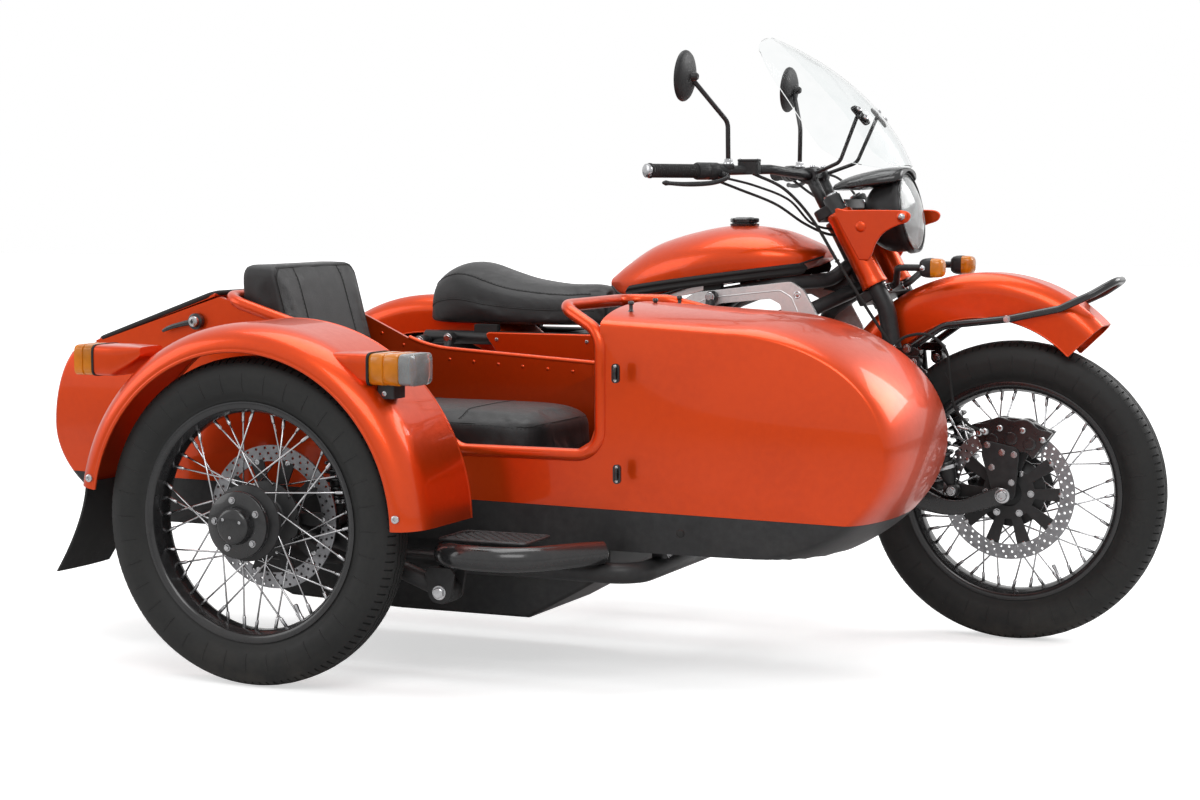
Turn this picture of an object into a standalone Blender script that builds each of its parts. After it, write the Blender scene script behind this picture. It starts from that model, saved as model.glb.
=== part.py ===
# Sidecar motorcycle, in metres.
# Each piece is modelled in the machine's frame: x forward from the rear axle, y to the rider's left
# from the motorcycle's centre plane, z up from the ground. Empties carry what turns.

import math

import bmesh
import bpy
from mathutils import Matrix, Vector

# Overall layout
wheelbase = 1.490
sidecar_track = 1.150
sidecar_lead = 0.163
seat_gap = 0.0003
overrun = 0.030

# Wheels
tyre_radius = 0.345
tyre_width = 0.106
tyre_crown_width = 0.026
tyre_height = 0.1065
bead_radius = tyre_radius - tyre_height
rim_width = 0.076
rim_lip = 0.014
rim_lip_thickness = 0.004
rim_wall = 0.010
rim_well_width = 0.030
wheel_segments = 32
hub_radius = 0.045
hub_half_width = 0.052
hub_flange_radius = 0.080
hub_flange_thickness = 0.010
hub_flange_offset = 0.038
hub_segments = 12
spoke_count = 28
spoke_radius = 0.0019
spoke_sweep = math.radians(42)
axle_radius = 0.010
axle_clearance = 0.0015
disc_radius = 0.153
disc_inner_radius = 0.118
disc_thickness = 0.005
disc_offset = 0.066
carrier_radius = 0.060
carrier_arm_radius = 0.0024
carrier_arms = 8
cap_radius = 0.070
cap_dome_radius = 0.038
cap_height = 0.026
# half-width share, then height share from bead to crown
tyre_section_shares = [(0.92, 0.34), (1.00, 0.54), (0.93, 0.76), (0.66, 0.94)]

# Fork and steering head
rake = math.radians(28)
trail = 0.077
head_top_z = 0.965
head_bottom_z = 0.795
head_radius = 0.030
stem_radius = 0.014
stem_clearance = 0.0015
steering_lock = math.radians(35)
leg_spread = 0.100
leg_radius = 0.021
leg_top_z = 1.022
leg_bend_z = 0.762
leg_straight_z = 0.660
leg_slope = 0.11
leg_offset = 0.040
leg_bend_radius = 0.120
clamp_thickness = 0.026
clamp_depth = 0.072
shroud_radius = 0.031
shroud_top_z = 0.983
shroud_bottom_z = 0.815
ear_thickness = 0.008
ear_reach = 0.180
ear_height = 0.100
link_length = 0.232
link_pivot_z = 0.352
link_cheek = 0.008
link_sag = 0.056
link_depth = 0.030
link_pin_radius = 0.011
axle_end = 0.012

# Front shocks
shock_top_x = -0.214
shock_top_z = 0.640
shock_foot_x = -0.121
shock_foot_z = 0.348
shock_spring_radius = 0.028
shock_can_radius = 0.023
shock_rod_radius = 0.010
shock_eye_radius = 0.015
shock_coils = 5
shock_sides = 9
lug_thickness = 0.020

# Front caliper
caliper_width = 0.052
caliper_slot = 0.0155
caliper_inner_radius = 0.098
caliper_outer_radius = 0.176
caliper_span = math.radians(64)
caliper_middle = math.radians(86)
bracket_thickness = 0.010

# Headlamp and cowl
lamp_x = -0.256
lamp_z = 0.983
lamp_radius = 0.095
lamp_depth = 0.105
lamp_wall = 0.004
lamp_tilt = math.radians(10)
lens_bulge = 0.022
lamp_pin_x = -0.300
lamp_pin_z = 0.955
lamp_pin_start = 0.081
lamp_pin_radius = 0.012
lens_thickness = 0.004
bezel_depth = 0.016
cowl_rear_x = -0.425
cowl_front_x = -0.262
cowl_half_width = 0.088
cowl_low_z = 1.032
cowl_high_z = 1.088

# Handlebar, mirrors and screen
bar_radius = 0.011
bar_bend = 0.050
bar_clamp_z = 1.068
bar_rise_x = 0.945
bar_rise_z = 1.082
bar_rise_y = 0.170
grip_inner_x = 0.826
grip_outer_x = 0.752
grip_inner_y = 0.310
grip_outer_y = 0.430
grip_z = 1.077
grip_radius = 0.017
switch_radius = 0.020
switch_length = 0.050
reservoir_size = 0.050
reservoir_height = 0.036
reservoir_share = 0.30
mirror_share = 0.60
lever_radius = 0.006
lever_drop = 0.028
riser_radius = 0.014
riser_spread = 0.040
mirror_radius = 0.058
mirror_thickness = 0.014
mirror_stem_radius = 0.0055
mirror_head_y = 0.360
mirror_head_x = 0.810
mirror_head_z = 1.290
screen_thickness = 0.004
screen_low_x = -0.262
screen_low_z = 1.092
screen_mid_x = -0.345
screen_mid_z = 1.285
screen_top_x = -0.600
screen_top_z = 1.395
screen_half_width = 0.205
screen_sweep = 0.115
stay_radius = 0.0045
screen_column_count = 8
pad_row_number = 2
pad_column_number = 5
pad_length = 0.090
pad_width = 0.026
pad_thickness = 0.010
# height share, half-width share
screen_outline_shares = [(0.0, 0.50), (0.08, 0.86), (0.22, 1.0), (0.45, 0.97), (0.70, 0.84), (0.88, 0.62),
                         (0.97, 0.36), (1.0, 0.10)]

# Front fender and its bar
front_fender_gap = 0.031
front_fender_radius = tyre_radius + front_fender_gap
front_fender_x = -0.067
front_fender_z = 0.470
front_fender_width = 0.144
front_fender_skirt = 0.062
front_fender_start = math.radians(44)
front_fender_end = math.radians(184)
sheet = 0.004
fender_bar_radius = 0.0085
fender_bar_bend = 0.060
fender_bar_spread = 0.088

# Lamps on stalks
indicator_x = 1.318
indicator_z = 0.858
indicator_y = 0.135
indicator_radius = 0.026
indicator_length = 0.056
stalk_radius = 0.009

# Motorcycle frame
frame_radius = 0.017
frame_half_width = 0.125
frame_bend = 0.070
backbone_radius = 0.022
down_tube_foot_x = 0.955
cradle_z = 0.225
cradle_rear_x = 0.389
seat_rail_z = 0.672
seat_rail_rear_x = 0.020
rail_rise_x = 0.640
rail_knee_x = 0.762
rail_knee_z = 0.797
neck_back = 0.090
neck_half_width = 0.042
cross_tube_radius = 0.014

# Battery, motor and their frames
battery_rear_x = 0.585
battery_front_x = 0.925
battery_low_z = 0.262
battery_high_z = 0.735
battery_half_width = 0.100
battery_frame_depth = 0.012
battery_frame_band = 0.044
battery_edge = 0.012
battery_foot_half = 0.136
motor_radius = 0.082
motor_x = 0.490
motor_z = 0.345
motor_half_width = 0.090

# Tank
tank_rear_x = 0.492
tank_front_x = 1.036
tank_low_z = 0.762
tank_high_z = 0.951
tank_half_width = 0.148
tank_foot_x = 0.765
tank_foot_z = 0.783
tank_foot_width = 0.022
tank_foot_length = 0.050
filler_radius = 0.036
filler_height = 0.020
filler_x = 0.822

# Saddle and covers
saddle_rear_x = 0.012
saddle_front_x = 0.488
saddle_base_z = 0.700
saddle_high_z = 0.856
saddle_half_width = 0.135
saddle_foot_x = 0.160
saddle_foot = 0.022
cover_rear_x = 0.194
cover_front_x = 0.500
cover_low_z = 0.545
cover_high_z = 0.688
cover_thickness = 0.010
cover_y = 0.150

# Rear fender and tail lamp
rear_fender_gap = 0.083
rear_fender_radius = tyre_radius + rear_fender_gap
rear_fender_width = 0.156
rear_fender_skirt = 0.050
rear_fender_start = math.radians(30)
rear_fender_end = math.radians(166)
tail_lamp_radius = 0.036
tail_lamp_depth = 0.040
tail_lamp_step = 9
rear_fender_steps = 10
stay_x = 0.030
stay_length = 0.040

# Rear swing arm, final drive and shocks
swing_pivot_z = 0.400
swing_radius = 0.018
shock_pin_radius = 0.008
final_drive_radius = 0.080
final_drive_width = 0.070
rear_shock_x = 0.040
rear_shock_top_z = 0.664
rear_shock_y = 0.178

# Sidecar frame
side_frame_radius = 0.022
side_frame_z = 0.248
side_frame_outer_y = -0.930
side_frame_inner_y = -0.330
side_frame_rear_x = -0.080
side_frame_front_x = 0.930
side_frame_bend = 0.060
pan_mount = 0.014
strut_radius = 0.014
strut_eye_radius = 0.010
upper_strut_x = 0.110
upper_strut_z = 0.652
front_strut_x = 0.800
front_strut_z = 0.785
strut_eye_sides = 7

# Sidecar body
body_outer_y = -0.880
body_inner_y = -0.430
body_low_z = 0.286
body_wall = 0.010
nose_centre_x = 1.100
nose_length = 0.332
nose_height = 0.452
crown = 0.042
crown_round = 0.026
tail_x = -0.540
tail_middle_z = 0.500
tail_under_length = 0.340
tail_over_length = 0.100
tail_over_height = 0.185
lid_front_x = -0.115
lid_front_z = 0.797
band_front_z = 0.362
band_rear_z = 0.392
notch_front_x = 0.826
notch_low_z = 0.482
notch_rear_x = 0.374
inner_wall_z = 0.636
bulkhead = 0.012
lid_thickness = 0.012
lid_open = math.radians(70)
lid_side_inset = 0.018
rail_radius = 0.0135
rail_bend = 0.055
handle_x = 0.720
handle_z = 0.790

# Passenger seat
cushion_rear_x = 0.060
cushion_front_x = 0.660
cushion_low_z = 0.420
cushion_high_z = 0.560
backrest_rear_x = -0.068
backrest_top_depth = 0.085
backrest_low_depth = 0.175
backrest_low_z = 0.5603
backrest_high_z = 0.872
seat_margin = 0.026

# Sidecar fender, flap and marker lamps
side_fender_gap = 0.070
side_fender_radius = tyre_radius + side_fender_gap
side_fender_outer_y = -1.228
side_fender_inner_y = -0.975
side_fender_lip = 0.055
side_fender_start = math.radians(1)
side_fender_end = math.radians(171)
flap_length = 0.200
flap_kick = 0.085
flap_thickness = 0.006
marker_height = 0.066
marker_width = 0.110
marker_front_x = 0.549
marker_front_rear_x = 0.410
marker_rear_x = -0.264
marker_rear_front_x = -0.150
marker_z = 0.668
marker_y = -1.140
marker_taper_share = 0.50
fender_steps = 18

# Step bar, grille and belly box
step_radius = 0.026
step_rear_x = 0.552
step_front_x = 0.856
step_reach_y = -1.110
step_z = 0.290
step_bend = 0.110
grille_thickness = 0.006
grille_bars = 8
belly_rear_x = -0.054
belly_front_x = 0.812
belly_low_z = 0.114
belly_high_z = 0.2857
belly_outer_y = -0.800
belly_inner_y = -0.460
# length share, height share of the box's side outline
belly_outline_shares = [(0.0, 0.28), (0.10, 0.06), (0.42, 0.0), (0.78, 0.0), (0.92, 0.39), (1.0, 0.63),
                        (1.0, 1.0),
                        (0.0, 1.0)]

# Sidecar swing arm and shock
side_pivot_x = 0.546
side_pivot_z = 0.206
side_arm_radius = 0.020
side_arm_y = -1.035
side_shock_x = 0.290
side_shock_top_z = 0.575
side_boss_half = 0.022
outrigger_radius = 0.013
outrigger_z = 0.248
outrigger_end_y = -1.066
clevis_thickness = 0.008

# Front brake hose
hose_radius = 0.0035
# x behind the front axle, y and z of each point that the hose passes
hose_route = [(-0.261, -0.1262, 0.672), (-0.228, -0.1340, 0.700), (-0.172, -0.1400, 0.706),
              (-0.132, -0.1380, 0.672), (-0.124, -0.1300, 0.610), (-0.116, -0.1180, 0.545),
              (-0.088, -0.1040, 0.503), (-0.050, -0.0962, 0.486)]

# Facets
tube_sides = 8
fork_sides = 12
round_sides = 14
arc_steps = 3
finished = {}


def side_sign(side):
    """The sign of y for a side."""
    return -1.0 if side == "right" else 1.0


# Materials: colour, roughness, metallic
finishes = {
    "paint": ((0.62, 0.09, 0.012), 0.28, 0.6),
    "black": ((0.015, 0.015, 0.016), 0.35, 0.2),
    "rubber": ((0.025, 0.025, 0.026), 0.75, 0.0),
    "steel": ((0.55, 0.55, 0.56), 0.25, 1.0),
    "cast": ((0.70, 0.71, 0.72), 0.40, 0.7),
    "leather": ((0.020, 0.020, 0.021), 0.60, 0.0),
    "glass": ((0.85, 0.87, 0.87), 0.05, 0.0),
    "amber": ((0.85, 0.30, 0.02), 0.20, 0.0),
    "red": ((0.60, 0.02, 0.02), 0.20, 0.0),
}


def material(name):
    """The named finish as a Principled BSDF material."""
    if name in bpy.data.materials:
        return bpy.data.materials[name]
    colour, roughness, metallic = finishes[name]
    made = bpy.data.materials.new(name)
    made.use_nodes = True
    shader = made.node_tree.nodes["Principled BSDF"]
    shader.inputs["Base Color"].default_value = (*colour, 1.0)
    shader.inputs["Roughness"].default_value = roughness
    shader.inputs["Metallic"].default_value = metallic
    return made


def clear_scene():
    """Remove what the file opened with."""
    for thing in list(bpy.data.objects):
        bpy.data.objects.remove(thing, do_unlink=True)


def solid(vertices, faces):
    """A closed object from corners and faces, its faces turned outwards."""
    mesh = bpy.data.meshes.new("shape")
    mesh.from_pydata([tuple(corner) for corner in vertices], [], faces)
    shape = bmesh.new()
    shape.from_mesh(mesh)
    bmesh.ops.recalc_face_normals(shape, faces=shape.faces)
    shape.to_mesh(mesh)
    shape.free()
    made = bpy.data.objects.new("shape", mesh)
    bpy.context.scene.collection.objects.link(made)
    return made


def loft(sections):
    """A closed skin over rings of corners, each ring with the same number of corners."""
    count = len(sections[0])
    vertices = [corner for section in sections for corner in section]
    faces = [list(range(count))[::-1], [len(vertices) - count + index for index in range(count)]]
    for ring in range(len(sections) - 1):
        first = ring * count
        for index in range(count):
            following = (index + 1) % count
            faces.append([first + index, first + following, first + count + following,
                          first + count + index])
    return solid(vertices, faces)


def slab(outline, low, high, normal="y"):
    """An outline pulled straight between two levels of the axis it faces."""
    if normal == "y":
        return loft([[(x, low, z) for x, z in outline], [(x, high, z) for x, z in outline]])
    if normal == "x":
        return loft([[(low, y, z) for y, z in outline], [(high, y, z) for y, z in outline]])
    return loft([[(x, y, low) for x, y in outline], [(x, y, high) for x, y in outline]])


def box(x_range, y_range, z_range):
    """A box between the given limits."""
    corners = [(x_range[0], z_range[0]), (x_range[1], z_range[0]), (x_range[1], z_range[1]),
               (x_range[0], z_range[1])]
    return slab(corners, y_range[0], y_range[1])


def along(start, direction):
    """The matrix that carries z to a direction and the origin to a start."""
    turn = Vector(direction).to_track_quat("Z", "Y").to_matrix().to_4x4()
    return Matrix.Translation(Vector(start)) @ turn


def turned(profile, matrix, sides, turn=0.0):
    """A closed profile of (radius, height) pairs turned about z, then placed by a matrix."""
    vertices = []
    rings = []
    for radius, height in profile:
        if radius <= 0.0:
            rings.append([len(vertices)] * sides)
            vertices.append(matrix @ Vector((0.0, 0.0, height)))
            continue
        rings.append(list(range(len(vertices), len(vertices) + sides)))
        for index in range(sides):
            angle = turn + index * math.tau / sides
            vertices.append(matrix @ Vector((radius * math.cos(angle), radius * math.sin(angle), height)))
    faces = []
    for index, ring in enumerate(rings):
        following = rings[(index + 1) % len(rings)]
        for side in range(sides):
            after = (side + 1) % sides
            corners = [ring[side], ring[after], following[after], following[side]]
            corners = [corner for place, corner in enumerate(corners) if corner != corners[place - 1]]
            if len(corners) > 2:
                faces.append(corners)
    return solid(vertices, faces)


def rod(start, end, radius, sides=round_sides):
    """A round bar between two points."""
    start, end = Vector(start), Vector(end)
    length = (end - start).length
    return turned([(0.0, 0.0), (radius, 0.0), (radius, length), (0.0, length)], along(start, end - start),
                  sides)


def rounded(points, bend, steps=arc_steps):
    """A path with its corners replaced by arcs of the given radius."""
    points = [Vector(point) for point in points]
    path = [points[0]]
    for before, corner, after in zip(points, points[1:], points[2:]):
        back, ahead = before - corner, after - corner
        angle = back.angle(ahead)
        if bend <= 0.0 or math.pi - angle < math.radians(2):
            path.append(corner)
            continue
        reach = min(bend / math.tan(angle / 2), 0.45 * back.length, 0.45 * ahead.length)
        radius = reach * math.tan(angle / 2)
        halfway = (back.normalized() + ahead.normalized()).normalized()
        centre = corner + halfway * (radius / math.sin(angle / 2))
        first = corner + back.normalized() * reach - centre
        last = corner + ahead.normalized() * reach - centre
        sweep = first.angle(last)
        for step in range(steps + 1):
            share = step / steps
            mix = first * math.sin((1 - share) * sweep) + last * math.sin(share * sweep)
            path.append(centre + mix / math.sin(sweep))
    path.append(points[-1])
    return path


def tube(points, radius, bend=0.0, sides=tube_sides, steps=arc_steps):
    """A round tube swept along a path whose corners are rounded."""
    path = rounded(points, bend, steps)
    headings = [(after - before).normalized() for before, after in zip(path, path[1:])]
    tangents = [headings[0]]
    tangents += [(one + other).normalized() for one, other in zip(headings, headings[1:])]
    tangents.append(headings[-1])
    across = tangents[0].orthogonal().normalized()
    sections = []
    for place, (centre, tangent) in enumerate(zip(path, tangents)):
        across = (across - tangent * across.dot(tangent)).normalized()
        upright = tangent.cross(across)
        ring = []
        for index in range(sides):
            angle = (index + 0.5) * math.tau / sides
            ring.append(centre + (across * math.cos(angle) + upright * math.sin(angle)) * radius)
        sections.append(ring)
    return loft(sections)


def bake(thing):
    """Replace an object's mesh by what its modifiers make of it."""
    depsgraph = bpy.context.evaluated_depsgraph_get()
    mesh = bpy.data.meshes.new_from_object(thing.evaluated_get(depsgraph))
    old = thing.data
    thing.modifiers.clear()
    thing.data = mesh
    bpy.data.meshes.remove(old)


def combine(target, others, operation):
    """Join, cut or intersect a solid with others, which are used up."""
    for other in others:
        modifier = target.modifiers.new("combine", "BOOLEAN")
        modifier.operation = operation
        modifier.object = other
        modifier.solver = "EXACT"
        bake(target)
        bpy.data.objects.remove(other, do_unlink=True)
    return target


def fuse(pieces):
    """One solid from overlapping pieces."""
    return combine(pieces[0], pieces[1:], "UNION")


def gather(pieces):
    """One object that holds several solids which don't touch."""
    shape = bmesh.new()
    for piece in pieces:
        shape.from_mesh(piece.data)
        bpy.data.objects.remove(piece, do_unlink=True)
    mesh = bpy.data.meshes.new("shape")
    shape.to_mesh(mesh)
    shape.free()
    made = bpy.data.objects.new("shape", mesh)
    bpy.context.scene.collection.objects.link(made)
    return made


def largest(thing):
    """The biggest of an object's loose solids, without the offcuts."""
    shape = bmesh.new()
    shape.from_mesh(thing.data)
    groups = []
    left = set(shape.verts)
    while left:
        group = set()
        front = [left.pop()]
        while front:
            corner = front.pop()
            group.add(corner)
            for edge in corner.link_edges:
                other = edge.other_vert(corner)
                if other in left:
                    left.discard(other)
                    front.append(other)
        groups.append(group)
    keep = max(groups, key=len)
    bmesh.ops.delete(shape, geom=[corner for group in groups if group is not keep for corner in group],
                     context="VERTS")
    shape.to_mesh(thing.data)
    shape.free()
    return thing


def cut(target, cutters):
    """A solid less its cutters."""
    return combine(target, cutters, "DIFFERENCE")


def swollen(name):
    """A finished piece's solid, grown on every side by the gap between touching pieces."""
    shape = bmesh.new()
    shape.from_mesh(finished[name])
    bmesh.ops.remove_doubles(shape, verts=shape.verts, dist=seat_gap / 10)
    shape.normal_update()
    shifts = [corner.normal * corner.calc_shell_factor() * seat_gap for corner in shape.verts]
    for corner, shift in zip(shape.verts, shifts):
        corner.co += shift
    mesh = bpy.data.meshes.new("shape")
    shape.to_mesh(mesh)
    shape.free()
    made = bpy.data.objects.new("shape", mesh)
    bpy.context.scene.collection.objects.link(made)
    return made


def finish(name, thing, finish_name, carrier):
    """Name a solid, give it its material, and hang it on the empty that carries it."""
    finished[name] = thing.data.copy()
    thing.name = name
    thing.data.name = name
    thing.data.materials.clear()
    thing.data.materials.append(material(finish_name))
    thing.data.shade_smooth()
    thing.data.set_sharp_from_angle(angle=math.radians(35))
    thing.data.transform(Matrix.Translation(-carrier["place"]))
    thing.parent = carrier["empty"]
    return thing


def carrier(name, place, parent=None):
    """An empty at a place in the machine's frame."""
    empty = bpy.data.objects.new(name, None)
    bpy.context.scene.collection.objects.link(empty)
    place = Vector(place)
    empty.location = place
    if parent is not None:
        empty.parent = parent["empty"]
        empty.location = place - parent["place"]
    return {"empty": empty, "place": place}


def axis_x(height):
    """Where the steering axis passes a height."""
    return wheelbase + trail - height * math.tan(rake)


def leg_x(height):
    """Where the straight upper part of a fork leg passes a height."""
    return axis_x(height) + leg_offset / math.cos(rake)


steering_axis = Vector((-math.sin(rake), 0.0, math.cos(rake)))
axis_forward = Vector((math.cos(rake), 0.0, math.sin(rake)))
link_pivot_x = wheelbase - link_length
link_width = 2 * (leg_radius + seat_gap + link_cheek)
link_outer = leg_spread + link_width / 2
upright_x = cradle_rear_x - frame_radius
swing_half_width = frame_half_width - frame_radius - seat_gap
lower_clamp_z = head_bottom_z - clamp_thickness / 2 * math.cos(rake) - seat_gap
upper_clamp_z = head_top_z + clamp_thickness / 2 * math.cos(rake) + seat_gap


def axis_point(height):
    """The steering axis at a height."""
    return Vector((axis_x(height), 0.0, height))


# Wheels

def wheel_ring(profile, centre, segments):
    """A profile of (radius, offset along the axle) turned about a wheel's axle, flat at the bottom."""
    matrix = Matrix.Translation(Vector(centre)) @ Matrix.Rotation(math.radians(-90), 4, "X")
    scale = 1.0 / math.cos(math.pi / segments)
    return turned([(radius * scale, offset) for radius, offset in profile], matrix, segments,
                  math.pi / segments)


def make_tyre(name, centre, hang):
    """A tyre seated between the rim's lips."""
    bead = bead_radius + seat_gap
    inside = rim_width / 2 - rim_lip_thickness - seat_gap
    rise = tyre_radius - bead_radius
    half = tyre_width / 2
    flank = [(bead, inside), (bead + rim_lip, inside)]
    flank += [(bead_radius + high * rise, wide * half) for wide, high in tyre_section_shares]
    flank.append((tyre_radius, tyre_crown_width / 2))
    profile = flank + [(radius, -offset) for radius, offset in reversed(flank)]
    finish(name, wheel_ring(profile, centre, wheel_segments), "rubber", hang)


def make_spokes(centre):
    """Crossed spokes from the hub's flanges to the rim, clear of each other."""
    spokes = []
    rim_end = bead_radius - rim_wall / 2
    hub_end = hub_flange_radius - hub_flange_thickness / 2
    for index in range(spoke_count):
        side = 1.0 if index % 2 else -1.0
        lean = 1.0 if (index // 2) % 2 else -1.0
        angle = index * math.tau / spoke_count
        layer = hub_flange_thickness / 2 - spoke_radius
        hub_offset = side * (hub_flange_offset + lean * layer)
        rim_offset = side * (rim_well_width / 4 + lean * spoke_radius * 2)
        start_angle = angle + lean * spoke_sweep
        start = Vector((hub_end * math.cos(start_angle), hub_offset, hub_end * math.sin(start_angle)))
        end = Vector((rim_end * math.cos(angle), rim_offset, rim_end * math.sin(angle)))
        spokes.append(rod(Vector(centre) + start, Vector(centre) + end, spoke_radius, 3))
    return gather(spokes)


def make_disc(centre, side):
    """A brake disc on a spider bolted to one side of the hub."""
    middle = side * disc_offset
    half = disc_thickness / 2
    ring = [(disc_inner_radius, middle - half), (disc_radius, middle - half),
            (disc_radius, middle + half), (disc_inner_radius, middle + half)]
    inner = [(axle_radius + axle_clearance, side * (hub_half_width - half)),
             (hub_radius, side * (hub_half_width - half)),
             (hub_radius, middle - side * half), (carrier_radius, middle - side * half),
             (carrier_radius, middle + side * half), (axle_radius + axle_clearance, middle + side * half)]
    arms = []
    for index in range(carrier_arms):
        angle = (index + 0.5) * math.tau / carrier_arms
        ray = Vector((math.cos(angle), 0.0, math.sin(angle)))
        offset = Vector(centre) + Vector((0.0, middle, 0.0))
        start = offset + ray * (carrier_radius - carrier_arm_radius * 2)
        arms.append(rod(start, offset + ray * (disc_inner_radius + carrier_arm_radius * 2),
                        carrier_arm_radius, 4))
    pieces = [wheel_ring(ring, centre, wheel_segments), wheel_ring(inner, centre, hub_segments),
              gather(arms)]
    return pieces


def make_wheel(name, centre, disc_side, hang, capped=False):
    """A wire wheel: rim, spokes, hub and brake disc."""
    half = rim_width / 2
    lip = bead_radius + rim_lip
    well = bead_radius - rim_wall
    rim = [(lip, -half), (lip, -half + rim_lip_thickness), (bead_radius, -half + rim_lip_thickness),
           (bead_radius, half - rim_lip_thickness), (lip, half - rim_lip_thickness), (lip, half),
           (well + rim_wall / 2, half), (well, rim_well_width / 2), (well, -rim_well_width / 2),
           (well + rim_wall / 2, -half)]
    bore = axle_radius + axle_clearance
    inner = hub_flange_offset - hub_flange_thickness / 2
    outer = hub_flange_offset + hub_flange_thickness / 2
    hub = [(bore, -hub_half_width), (hub_radius, -hub_half_width), (hub_radius, -outer),
           (hub_flange_radius, -outer),
           (hub_flange_radius, -inner), (hub_radius, -inner), (hub_radius, inner),
           (hub_flange_radius, inner),
           (hub_flange_radius, outer), (hub_radius, outer), (hub_radius, hub_half_width),
           (bore, hub_half_width)]
    pieces = [wheel_ring(rim, centre, wheel_segments), make_spokes(centre),
              wheel_ring(hub, centre, hub_segments)]
    pieces += make_disc(centre, disc_side)
    if capped:
        face = -disc_side * (hub_half_width + cap_height)
        dome = -disc_side * (hub_half_width + cap_height * 1.9)
        low = -disc_side * (hub_half_width - cap_height / 4)
        cap = [(0.0, low), (hub_radius * 0.9, low), (cap_radius * 0.9, face - (face - low) * 0.4),
               (cap_radius, face),
               (cap_dome_radius, face), (cap_dome_radius * 0.8, dome * 0.96 + face * 0.04), (0.0, dome)]
        pieces.append(wheel_ring(cap, centre, hub_segments))
    finish(name, fuse(pieces), "steel", hang)


# Steering pieces

def make_fork(hang):
    """The two legs, the clamps that join them, and the steering stem."""
    legs = []
    for sign in (-1.0, 1.0):
        y = sign * leg_spread
        path = [(leg_x(leg_top_z), y, leg_top_z), (leg_x(leg_bend_z), y, leg_bend_z),
                (link_pivot_x - (leg_straight_z - link_pivot_z) * leg_slope, y, leg_straight_z),
                (link_pivot_x, y, link_pivot_z)]
        legs.append(tube(path, leg_radius, leg_bend_radius, fork_sides, 3))
    clamps = []
    for height in (upper_clamp_z, lower_clamp_z):
        clamps.append(clamp_plate(axis_point(height) + axis_forward * leg_offset / 2))
    top = axis_point(upper_clamp_z) + steering_axis * clamp_thickness
    bottom = axis_point(lower_clamp_z) - steering_axis * clamp_thickness
    stem = rod(bottom, top, stem_radius, 12)
    lugs = []
    lug_z = shock_top_z + shock_eye_radius + seat_gap
    for sign in (-1.0, 1.0):
        y = sign * leg_spread
        lugs.append(box((link_pivot_x - leg_radius, wheelbase + shock_top_x + shock_eye_radius),
                        (y - shock_eye_radius, y + shock_eye_radius), (lug_z, lug_z + lug_thickness)))
    finish("fork", fuse(clamps + legs + [stem] + lugs), "black", hang)


def clamp_plate(middle):
    """A yoke across the legs, square to the steering axis."""
    half = clamp_thickness / 2
    reach = leg_spread + leg_radius * 0.6
    plate = box((-clamp_depth / 2, clamp_depth / 2), (-reach, reach), (-half, half))
    plate.data.transform(Matrix.Translation(middle) @ Matrix.Rotation(-rake, 4, "Y"))
    return plate


def make_ear(name, sign, hang):
    """A shroud round one leg with the ear that holds the headlamp."""
    y = sign * leg_spread
    low = Vector((leg_x(shroud_bottom_z), y, shroud_bottom_z))
    high = Vector((leg_x(shroud_top_z), y, shroud_top_z))
    shell = rod(low, high, shroud_radius, fork_sides)
    top = Vector((high.x, 0.0, high.z))
    edge_y = sorted((y + sign * (shroud_radius - ear_thickness), y + sign * shroud_radius))
    outline = [(top.x, top.z), (top.x + ear_reach, top.z + ear_height * 0.06),
               (top.x + ear_reach, top.z - ear_height * 0.22), (top.x + ear_reach * 0.62,
                                                                top.z - ear_height * 0.50),
               (top.x + ear_reach * 0.50, top.z - ear_height), (leg_x(top.z - ear_height * 1.1),
                                                                top.z - ear_height * 1.1)]
    ear = slab(outline, *edge_y)
    thing = fuse([shell, ear])
    bore = leg_radius + seat_gap
    direction = (high - low).normalized() * overrun
    thing = cut(thing, [rod(low - direction, high + direction, bore / math.cos(math.pi / round_sides),
                            round_sides)])
    finish(name, thing, "paint", hang)


def lamp_matrix():
    """The frame of the headlamp, z out of its face."""
    return along((wheelbase + lamp_x, 0.0, lamp_z), (math.cos(lamp_tilt), 0.0, math.sin(lamp_tilt)))


def lamp_solid(margin):
    """The headlamp's outer form, swollen by a margin."""
    profile = [(0.0, -lamp_depth - margin), (lamp_radius * 0.55 + margin, -lamp_depth * 0.92 - margin),
               (lamp_radius * 0.86 + margin, -lamp_depth * 0.60),
               (lamp_radius + margin, -bezel_depth - margin),
               (lamp_radius + margin, lens_bulge + margin), (0.0, lens_bulge + margin)]
    return turned(profile, lamp_matrix(), 20)


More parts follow.
